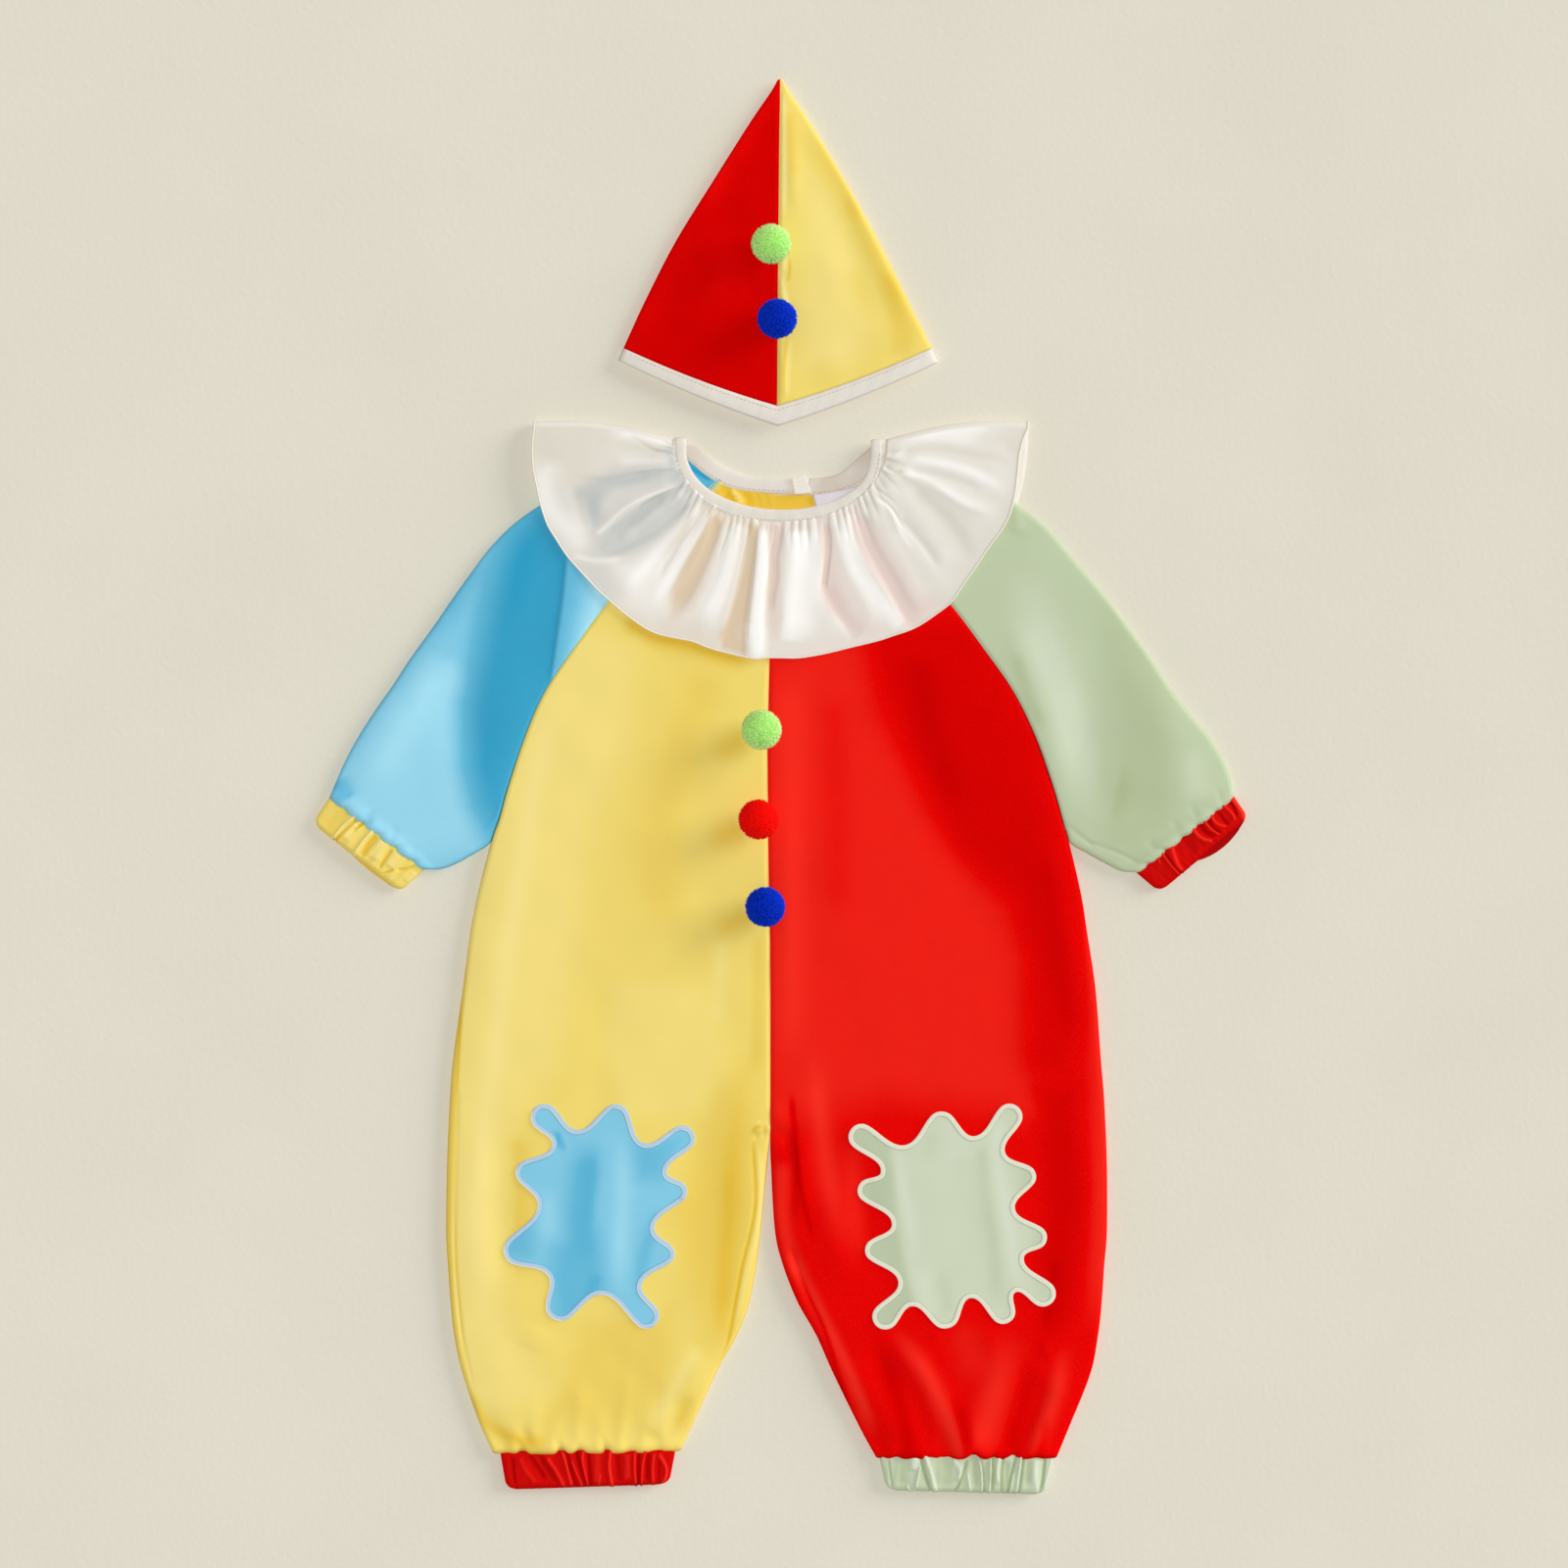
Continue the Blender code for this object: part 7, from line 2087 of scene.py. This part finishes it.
    def build(self) -> None:
        """Builds the ruffle and its overlocked hem."""
        neck_depths = (NECK_FRONT_DEPTH + self.outset, NECK_BACK_DEPTH + self.outset)
        neck = self.loop(NECK_HALF_WIDTH + self.outset, neck_depths, (FRONT_SQUARENESS, BACK_SQUARENESS))
        depths = (COLLAR_FRONT_DEPTH, COLLAR_BACK_DEPTH)
        hem = self.loop(COLLAR_HALF_WIDTH, depths, (COLLAR_SQUARENESS, COLLAR_SQUARENESS), self.rise)
        first = self.behind + 9
        front = slice(first, first + self.columns + 1)
        hem[front, :2] = self.hem_line()
        place = np.linspace(0, 1, self.rows)[:, None]
        grid = neck[None] + place[..., None] * (hem - neck)[None]
        beside = np.clip(1 - (NECK[1] - grid[..., 1]) / 30, 0, 1)
        grid[..., 1] += self.bulge * np.sin(np.pi * place) * beside
        base = grid.copy()
        height, folds_tone = self.relief(grid[:, front], place)
        grid[:, front, 2] += height
        tone = np.full(grid.shape[:2], 0.1)
        tone[:, front] = folds_tone
        obj = add_cloth("collar_cloth", grid, Dye.CREAM, tone, smooth=base, marks={"under": self.under(grid)})
        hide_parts("collar_ruffle")
        self.hem(grid[-1])

    def under(self, grid: Array) -> Array:
        """The colour of the ruffle's painted show-through and painted shade at each point: that of the panel
        beneath it, and that of the floor where no panel lies beneath.
        """
        left = np.array([[-134.4, 55.0], [-41.4, 164.4]])
        right = np.array([[133.3, 55.0], [42.6, 164.4]])

        def past(line: Array) -> Array:
            way = unit(line[1] - line[0])
            return (grid[..., :2] - line[0]) @ np.array([-way[1], way[0]])

        blue = ease(past(left) / 14 + 0.5)[..., None]
        green = ease(0.5 - past(right) / 14)[..., None]
        red = ease((grid[..., 0] + 5.6) / 12 + 0.5)[..., None]
        body = np.array([0.71, 0.56, 0.40]) * (1 - red) + np.array([0.76, 0.62, 0.57]) * red
        mixed = body * (1 - blue) + np.array([0.55, 0.565, 0.55]) * blue
        mixed = mixed * (1 - green) + np.array([0.63, 0.61, 0.51]) * green
        bare = ease((grid[..., 1] - 197 + 0.4545 * (np.abs(grid[..., 0]) - 60)) / 10 + 0.5)[..., None]
        mixed = mixed * (1 - bare) + np.array([0.72, 0.68, 0.59]) * bare
        return np.concatenate([mixed, np.ones_like(blue)], axis=-1)

    def hem(self, line: Array) -> None:
        """The hem's overlocked edge: a fine roll whose thickness beats with its stitches."""
        path = along(line, 0.62)
        beat = 1 + 0.22 * np.cos(np.pi * np.arange(len(path)))
        ring = oval(0.55, 0.5, 6)[None] * beat[:, None, None]
        points, faces = sweep(path, ring)
        points[:, 2] = np.maximum(points[:, 2], CLEAR)
        add_mesh("collar_hem_thread", points, faces, Yarn.CREAM.value)


def bowed(points: Sequence[Pair], bow: float, count: int) -> Array:
    """A line through three points, each half of it bowed down, with an even number of points a half."""
    places = np.linspace(0, 1, count)[:, None]
    halves = []
    for start, end in zip(np.array(points)[:-1], np.array(points)[1:]):
        half = start + places * (end - start)
        half[:, 1:] -= 4 * bow * places * (1 - places)
        halves.append(half)
    return np.concatenate([halves[0], halves[1][1:]])


@dataclass
class HatHalf:
    """One half of the pointed hat, folded along its side and seamed down the middle, in front and behind."""

    colour: str
    dye: Dye
    table: list[FoldRow]
    folds: list[Stroke]
    tones: list[Stroke]
    seed: int
    flat: Pair = (0.18, 0.19)
    area: float = 0.0182
    rows: int = 120
    grid: tuple[int, int] = (56, 26)

    def build(self) -> None:
        """Builds the half."""
        table = np.array(self.table)
        places = even_places((table[:, 0:2] + table[:, 2:4]) / 2, self.rows)
        smooth = smooth_rows(table, places)
        fold, seam = smooth[:, 0:2], smooth[:, 2:4]
        width = np.linalg.norm(fold - seam, axis=1)
        squeeze = np.clip((width + 1.5) / (TOP + 1.5), 0, 1)
        bow = HAT_BOW * (width / width[0]) ** 3
        turn = np.zeros(self.rows)
        outer, distance, share = folded(fold, (seam, seam), turn, self.grid, squeeze=squeeze, bow=bow)
        base = outer.copy()
        front, behind = np.clip(share, 0, 1), np.clip(-share, 0, 1)
        kept = squeeze[:, None] ** 2
        folds = RELIEF * lay(self.folds, outer) + swells(outer, 26.0, UNEVEN, self.seed)
        outer[..., 2] += kept * (folds * front + np.minimum(0.5 * np.abs(folds), 1.2) * behind)
        roll = seam_roll(distance, run_of(outer), np.ones((self.rows, 1)), self.seed + 1)
        outer[..., 2] += kept * roll * (front - behind)
        # Painted shade and light from the table, fainter behind
        tone = lay(self.tones, outer) * (front + 0.6 * behind)
        obj = add_cloth(f"hat_cloth_{self.colour}", outer, self.dye, tone, smooth=base)
        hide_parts(f"hat_{self.colour}")


@dataclass
class HatBand:
    """The turned band round the hat's hem, with a row of stitches near its upper edge."""

    seam_line: tuple[Pair, ...] = ((-89.6, 251.2), (-1.7, 218.1), (86.8, 251.2))
    hem_line: tuple[Pair, ...] = ((-92.6, 244.4), (-1.3, 206.8), (91.0, 243.4))
    top: float = 6.7
    half_columns: int = 60
    rows: int = 12
    flat: Pair = (0.4, 0.011)

    def build(self) -> None:
        """Builds the band and its stitches."""
        seam = bowed(self.seam_line, HAT_BOW, self.half_columns)
        hem = bowed(self.hem_line, HAT_BOW, self.half_columns)
        seam = seam + 0.1 * unit(hem - seam)
        down = np.linspace(0, 1, self.rows)[:, None]
        plan = seam[None] + down[..., None] * (hem - seam)[None]
        run = run_of(plan, 1)
        share = turned(np.minimum(run, run[:, -1:] - run), EDGE_ROUND)
        puff = 0.5 * np.sin(np.pi * down) ** 0.7
        waves = 0.06 * np.sin(run * 2 * np.pi / 11.0 + 0.7)
        waves = waves + 0.05 * np.sin(run * 2 * np.pi / 5.3 + 0.06 * run)
        front = np.dstack([plan, self.top / 2 + (self.top / 2 + puff + waves) * share])
        back = np.dstack([plan, self.top / 2 - self.top / 2 * share])
        outer = np.concatenate([front, back[:, -2:0:-1]], axis=1)
        tone = np.full(outer.shape[:2], 0.15)
        obj = add_cloth("hat_band_cloth", outer, Dye.CREAM, tone, around=True, marks=tape_marks(tone))
        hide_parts("hat_band")
        line = seam + 0.22 * (hem - seam)
        height = self.top + 0.35 + 0 * line[:, :1]
        stitch_row("hat_band_stitches", np.concatenate([line, height], axis=1)[3:-3], 2.5, 0.7)


@dataclass
class Patch:
    """A splash of cloth laid on a leg, with its edge closed by satin stitch."""

    node: str
    name: str
    dye: Dye
    rim: Yarn
    lobes: list[Lobe]
    centre: Pair
    panel: BodyHalf
    tones: list[Stroke]
    steps: int = 11
    pitch: float = 2.4
    rim_half_width: float = 1.5
    flat: Pair = (0.12, 0.13)
    area: float = 0.0088

    def outline(self) -> Array:
        """The wavy edge: a smooth cubic by each hollow and round each lobe's head, tangent to its circle."""
        table = np.array(self.lobes)
        head, radius, after = table[:, 0:2], table[:, 2:3], table[:, 3:5]
        before = np.roll(after, 1, axis=0)
        leaning = unit(head - (after + before) / 2)
        touches, ways = [], []
        for hollow, side in ((before, 1.0), (after, -1.0)):
            apart = head - hollow
            distance = np.linalg.norm(apart, axis=1, keepdims=True)
            sine = np.clip(radius / distance, 0, 0.95)
            cosine = np.sqrt(1 - sine**2)
            towards = apart / distance
            aside = np.column_stack([towards[:, 1], -towards[:, 0]]) * side
            touches.append(head + radius * (cosine * aside - sine * towards))
            ways.append(side * unit(touches[-1] - hollow))
        tip = head + radius * leaning
        round_tip = np.column_stack([-leaning[:, 1], leaning[:, 0]])
        past = unit(unit(np.roll(touches[0], -1, axis=0) - after) + unit(after - touches[1]))
        knots = np.stack([touches[0], tip, touches[1], after], axis=1).reshape(-1, 2)
        heading = np.stack([ways[0], round_tip, ways[1], past], axis=1).reshape(-1, 2)
        following = np.roll(knots, -1, axis=0)
        fullness = np.tile([[1.15], [1.15], [1.0], [1.0]], (len(head), 1))
        reach = np.linalg.norm(following - knots, axis=1, keepdims=True) * fullness
        t = (np.arange(self.steps) / self.steps)[None, :, None]
        leave, arrive = (reach * heading)[:, None], (reach * np.roll(heading, -1, axis=0))[:, None]
        curve = cubic(t, knots[:, None], leave, following[:, None], arrive)
        return curve.reshape(-1, 2) + np.array(self.centre)

    def seat(self, plan: Array) -> Array:
        """Height of the leg's front under plan points."""
        folds = RELIEF * lay(self.panel.folds, plan) + swells(plan, PANEL_WAVE, UNEVEN, self.panel.seed)
        return TOP + folds + self.panel.leg_gathers(plan[None])[0]

    def build(self) -> None:
        """Builds the patch: a net of triangles inside its edge, and the satin rim over the edge."""
        edge = self.outline()
        around = len(edge)
        low, high = edge.min(axis=0), edge.max(axis=0)
        xs, ys = np.meshgrid(*(np.arange(low[axis], high[axis], self.pitch) for axis in range(2)))
        spots = np.column_stack([xs.ravel(), ys.ravel()])
        spots = spots[depth_inside(edge, spots) > 1.3]
        net = delaunay_2d_cdt(np.concatenate([edge, spots]).tolist(), [], [list(range(around))], 1, 1e-5)
        plan, triangles = np.array(net[0]), np.array(net[2])
        under = np.column_stack([plan, self.seat(plan) + 0.15])
        over = under + [0, 0, 0.55]
        count = len(plan)
        ring = np.arange(around)
        after = np.roll(ring, -1)
        faces = [
            np.concatenate([triangles + count, triangles[:, ::-1]]),
            np.stack([ring, after, after + count, ring + count], axis=1),
        ]
        # tone: the patch's painted shade and painted light from its table
        points, marks = np.concatenate([under, over]), {"tone": np.tile(lay(self.tones, plan), 2)}
        obj = add_mesh(self.name, points, faces, self.dye.value, np.tile(plan, (2, 1)), marks)
        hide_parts(self.node)
        self.rim_over(edge)

    def rim_over(self, edge: Array) -> None:
        """The satin rim: half an oval carried round just inside the edge."""
        inwards = unit(np.roll(edge, -1, axis=0) - np.roll(edge, 1, axis=0)) @ np.array([[0, 1], [-1, 0]])
        smooth = unit(sum(np.roll(inwards, shift, axis=0) for shift in range(-3, 4)))
        line = edge + (self.rim_half_width - 0.35) * smooth
        path = np.column_stack([line, self.seat(line) + 0.6])
        profile = oval(self.rim_half_width, 0.5, 14, 2.3)
        points, faces = sweep(path, profile, closed=True)
        sides = len(profile)
        run = run_of(np.concatenate([path, path[:1]]))[:-1]
        place = (profile[:, 0] / self.rim_half_width + 1) / 2
        cloth = np.stack([np.tile(place, len(path)), np.repeat(run, sides)], axis=1)
        # The lit mark: painted highlight on the side of the roll that faces the light, painted shade on the
        # side turned from it
        facing = smooth @ np.array(RIM_LIGHT)
        lit = np.clip(facing[:, None] * (profile[:, 0] / self.rim_half_width) * 1.15, -1, 1)
        add_mesh(f"{self.name}_rim", points, faces, self.rim.value, cloth, {"lit": lit.ravel()})


@dataclass
class Pompom:
    """A ball of cut fibres, even and dense, on the front of the romper or hat."""

    node: str
    name: str
    yarn: Yarn
    x: float
    y: float
    seat: float
    seed: int
    radius: float = 12.4
    fibres: int = 2300
    core_share: float = 0.86
    core_rings: int = 14
    core_sides: int = 24

    def build(self) -> None:
        """Builds the ball: a core, and spikes that stand on it along a golden spiral."""
        draw = np.random.default_rng(self.seed)
        order = np.arange(self.fibres) + 0.5
        polar = np.arccos(1 - 2 * order / self.fibres)
        turn = np.pi * (1 + math.sqrt(5)) * order
        out = np.stack([np.sin(polar) * np.cos(turn), np.sin(polar) * np.sin(turn), np.cos(polar)], axis=1)
        out = unit(out + draw.normal(0, 0.02, out.shape))
        lean = draw.normal(0, 0.10, out.shape)
        tip_way = unit(out + lean)
        clump = swells(out[:, :2] * 10 + out[:, 2:] * 7, 6.0, 0.35, self.seed)
        length = self.radius - 0.7 + 0.3 * clump + draw.uniform(-0.45, 0.35, self.fibres)
        length = np.minimum(length, self.radius + 0.25)
        across = unit(np.cross(out, np.array([0.3, 0.2, 0.93])))
        other = np.cross(out, across)
        ring = oval(0.36, 0.36, 3)
        foot = out * (self.radius * 0.72)
        waist = (foot + 0.62 * (tip_way * length[:, None] - foot)) + 0.25 * lean
        tip = tip_way * length[:, None]
        rings = []
        for spot, size in ((foot, 1.0), (waist, 0.95)):
            offsets = size * (ring[:, :1] * across[:, None] + ring[:, 1:] * other[:, None])
            rings.append(spot[:, None] + offsets)
        points = np.concatenate([*rings, tip[:, None]], axis=1)
        each = points.shape[1]
        shifts = each * np.arange(self.fibres)[:, None, None]
        sides = np.array([[0, 1, 4, 3], [1, 2, 5, 4], [2, 0, 3, 5]])
        points_at = np.array([[3, 4, 6], [4, 5, 6], [5, 3, 6], [2, 1, 0]])
        spikes = [(sides[None] + shifts).reshape(-1, 4), (points_at[None] + shifts).reshape(-1, 3)]
        core, core_quads, core_caps = self.core()
        count = each * self.fibres
        # The tip mark: low at the fibres' roots and on the core, for painted shade, and 1 at their tips, for
        # painted light
        tips = np.concatenate([np.tile([0, 0, 0, 0.6, 0.6, 0.6, 1.0], self.fibres), np.full(len(core), 0.15)])
        centre = np.array([self.x, self.y, self.seat + self.radius + 0.1])
        everything = np.concatenate([points.reshape(-1, 3), core]) + centre
        faces = [
            np.concatenate([core_quads + count, spikes[0]]),
            np.concatenate([core_caps + count, spikes[1]]),
        ]
        obj = add_mesh(self.name, everything, faces, self.yarn.value, marks={"tip": tips})
        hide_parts(self.node)

    def core(self) -> tuple[Array, Array, Array]:
        """The ball under the fibres: a sphere on a grid of angles, closed at its poles."""
        rings, sides, size = self.core_rings, self.core_sides, self.core_share * self.radius
        polar = np.linspace(0, np.pi, rings + 2)[1:-1, None]
        turn = np.linspace(0, 2 * np.pi, sides, endpoint=False)[None]
        ball = [np.sin(polar) * np.cos(turn), np.sin(polar) * np.sin(turn), np.cos(polar) + 0 * turn]
        points = size * np.stack(ball, axis=-1).reshape(-1, 3)
        first = np.arange(sides)
        last = (rings - 1) * sides + first
        caps = [
            np.stack([np.full(sides, len(points)), first, np.roll(first, -1)], axis=1),
            np.stack([np.full(sides, len(points) + 1), np.roll(last, -1), last], axis=1),
        ]
        points = np.concatenate([points, [[0, 0, size], [0, 0, -size]]])
        return points, grid_quads(rings, sides, True)[:, ::-1], np.concatenate(caps)


def seam_overlock() -> None:
    """The overlocked threads over the raglan seam where it shows inside the neck."""
    line = np.array([-34.9, 174.6]) + np.linspace(0, 1, 9)[:, None] * np.array([-6.8, -6.3])
    across = np.array([0.69, -0.72]) * 2.4
    height = floor_under(line[None])[0].ravel() + 2.3
    starts = np.column_stack([line - across, height])
    add_stitches("sleeve_seam_overlock", starts, np.column_stack([line + across, height]), 0.32, Yarn.MINT)


def neck_facing() -> None:
    """The pale cloth inside the back neck, to the right of its opening."""
    columns = np.linspace(0, 1, 30)
    upper = neck_row(18.4, 52.6, columns, NECK_BACK_DEPTH + GAP, BACK_SQUARENESS)
    lower = upper - np.column_stack([np.linspace(-7.0, 0.0, 30), np.linspace(24.0, 16.0, 30)])
    rows = np.linspace(0, 1, 16)[:, None, None]
    plan = lower + rows * (upper - lower)
    outer = np.dstack([plan, floor_under(plan) + 1.5 + swells(plan, 14.0, UNEVEN, 5)])
    obj = add_cloth("neck_facing_cloth", outer, Dye.FACING, 0.2 * swells(plan, 12.0, 0.5, 6))
    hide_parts("neck_facing")


@dataclass
class Studio:
    """The floor, the lights and the camera."""

    picture_width: float = 896.0
    picture_centre: Pair = (2.24, 1.96)
    camera_height: float = 3000.0
    sensor: float = 36.0
    key_share: float = 0.19
    key_azimuth: float = 25.0
    key_elevation: float = 15.0
    key_width: float = 34.0
    fill_share: float = 0.53
    sky_share: float = 0.28
    floor_reach: float = 4000.0
    floor_height: float = -0.05

    def build(self) -> None:
        """Builds all three."""
        self.floor()
        self.lights()
        self.camera()

    def floor(self) -> None:
        """A wide pale floor just under the costume."""
        side = np.linspace(-self.floor_reach, self.floor_reach, 9)
        xs, ys = np.meshgrid(side, side)
        points = np.stack([xs, ys, np.full_like(xs, self.floor_height)], axis=-1).reshape(-1, 3)
        mesh = bpy.data.meshes.new("costume_floor")
        mesh.from_pydata((points * MM).tolist(), [], grid_quads(9, 9).tolist())
        mesh.materials.append(FloorFinish().material())
        obj = bpy.data.objects.new("costume_floor", mesh)
        bpy.context.scene.collection.objects.link(obj)

    def sun(self, name: str, share: float, elevation: float, width: float, shadow: bool) -> None:
        """A distant lamp.

        A level white surface reflects the lamp's share: a sun gives its strength times the sine of its
        elevation, over pi.

        Args:
            name: The lamp's name.
            share: Its share of the light.
            elevation: Its elevation in degrees.
            width: Its width in degrees.
            shadow: Whether it casts shadows.
        """
        lamp = bpy.data.lights.new(name, "SUN")
        lamp.energy = share * math.pi / math.sin(math.radians(elevation))
        lamp.angle = math.radians(width)
        lamp.color = (1.0, 0.99, 0.97)
        lamp.use_shadow = shadow
        lamp.specular_factor = 1.0 if shadow else 0.0
        obj = bpy.data.objects.new(name, lamp)
        obj.location = (1.5, 0.6, 1.2)
        obj.rotation_euler = (math.radians(90 - elevation), 0.0, math.radians(self.key_azimuth + 90))
        bpy.context.scene.collection.objects.link(obj)

    def lights(self) -> None:
        """A low broad key light from the right, an even fill from above without shadows, and a pale sky."""
        self.sun("key_light", self.key_share, self.key_elevation, self.key_width, True)
        self.sun("fill_light", self.fill_share, 90.0, 0.0, False)
        world = bpy.data.worlds.new("pale_sky")
        world.use_nodes = True
        backdrop = world.node_tree.nodes["Background"]
        backdrop.inputs["Color"].default_value = (1.0, 0.995, 0.98, 1.0)
        backdrop.inputs["Strength"].default_value = self.sky_share
        bpy.context.scene.world = world
        bpy.context.scene.view_settings.view_transform = "Standard"

    def camera(self) -> None:
        """A camera straight above the set, whose lens takes in the picture's width at the cloth's height."""
        data = bpy.data.cameras.new("camera")
        data.sensor_width = self.sensor
        data.lens = self.sensor * (self.camera_height - TOP) / self.picture_width
        obj = bpy.data.objects.new("camera", data)
        obj.location = (self.picture_centre[0] * MM, self.picture_centre[1] * MM, self.camera_height * MM)
        bpy.context.scene.collection.objects.link(obj)
        bpy.context.scene.camera = obj


def main() -> None:
    """Builds the costume piece by piece, from what lies lowest to what lies on top."""
    logging.basicConfig(level=logging.INFO, format="%(message)s")
    Studio().build()
    yellow = BodyHalf(
        "yellow", Dye.YELLOW, YELLOW_ROWS, YELLOW_FOLDS, YELLOW_TONES, YELLOW_SEAMS, YELLOW_LEG_PINCHES, 21
    )
    red = BodyHalf("red", Dye.RED, RED_ROWS, RED_FOLDS, RED_TONES, [], RED_LEG_PINCHES, 31)
    for half in (yellow, red):
        half.build()
    Sleeve("blue", Dye.BLUE, BLUE_TUBE, BLUE_SHOULDER, yellow, BLUE_FOLDS, BLUE_TONES, 41).build()
    Sleeve("green", Dye.SAGE, GREEN_TUBE, GREEN_SHOULDER, red, GREEN_FOLDS, GREEN_TONES, 51).build()
    sleeve_cuff, leg_cuff = (0.165, 0.019), (0.25, 0.022)
    for node, name, dye, seam_line, hem_line, creases, mouth, tone, flat in (
        ("sleeve_cuff_yellow", "yellow_sleeve_cuff", Dye.YELLOW, ((-257.6, -5.3), (-203.3, -46.8)),
         ((-267.3, -20.5), (-217.6, -60.0)), YELLOW_CUFF_CREASES, (1.4, 0.4), 0.0, sleeve_cuff),
        ("sleeve_cuff_red", "red_sleeve_cuff", Dye.CUFF_RED, ((203.5, -48.5), (259.5, -5.0)),
         ((217.0, -60.0), (268.0, -17.5)), RED_CUFF_CREASES, (4.4, 0.42), 0.1, sleeve_cuff),
        ("leg_cuff_red", "red_leg_cuff", Dye.CUFF_RED, ((-160.2, -379.9), (-59.5, -377.5)),
         ((-156.5, -401.5), (-63.5, -398.4)), RED_LEG_CREASES, (0.0, 0.5), 0.1, leg_cuff),
        ("leg_cuff_green", "green_leg_cuff", Dye.SAGE, ((56.4, -381.5), (157.0, -381.5)),
         ((61.0, -401.8), (151.5, -404.2)), SAGE_LEG_CREASES, (0.0, 0.5), -0.3, leg_cuff),
    ):
        seed = 61 + len(creases)
        Cuff(node, name, dye, seam_line, hem_line, creases, seed, mouth, tone, flat).build()
    neck_facing()
    seam_overlock()
    Collar().build()
    NeckBinding().build()
    HatHalf("red", Dye.RED, HAT_LEFT, HAT_RED_FOLDS, HAT_RED_TONES, 71).build()
    HatHalf("yellow", Dye.YELLOW, HAT_RIGHT, HAT_YELLOW_FOLDS, HAT_YELLOW_TONES, 72).build()
    HatBand().build()
    for node, name, dye, rim, lobes, centre, panel, tones in (
        ("patch_blue", "blue_patch", Dye.BLUE, Yarn.BLUE_SATIN, BLUE_PATCH, (-105.5, -244.5), yellow,
         BLUE_PATCH_TONES),
        ("patch_green", "green_patch", Dye.PATCH, Yarn.GREEN_SATIN, GREEN_PATCH, (98.0, -246.5), red,
         GREEN_PATCH_TONES),
    ):
        Patch(node, name, dye, rim, lobes, centre, panel, tones).build()
    for node, name, yarn, x, y, seed in (
        ("pompom_chest_green", "green_chest_pompom", Yarn.GREEN_FUR, -10.6, 32.8, 81),
        ("pompom_chest_red", "red_chest_pompom", Yarn.RED_FUR, -12.3, -18.2, 82),
        ("pompom_chest_blue", "blue_chest_pompom", Yarn.BLUE_FUR, -8.4, -68.0, 83),
        ("pompom_hat_green", "green_hat_pompom", Yarn.GREEN_FUR, -5.0, 309.4, 84),
        ("pompom_hat_blue", "blue_hat_pompom", Yarn.BLUE_FUR, -1.7, 266.8, 85),
    ):
        Pompom(node, name, yarn, x, y, TOP - 0.4, seed).build()


if __name__ == "__main__":
    main()
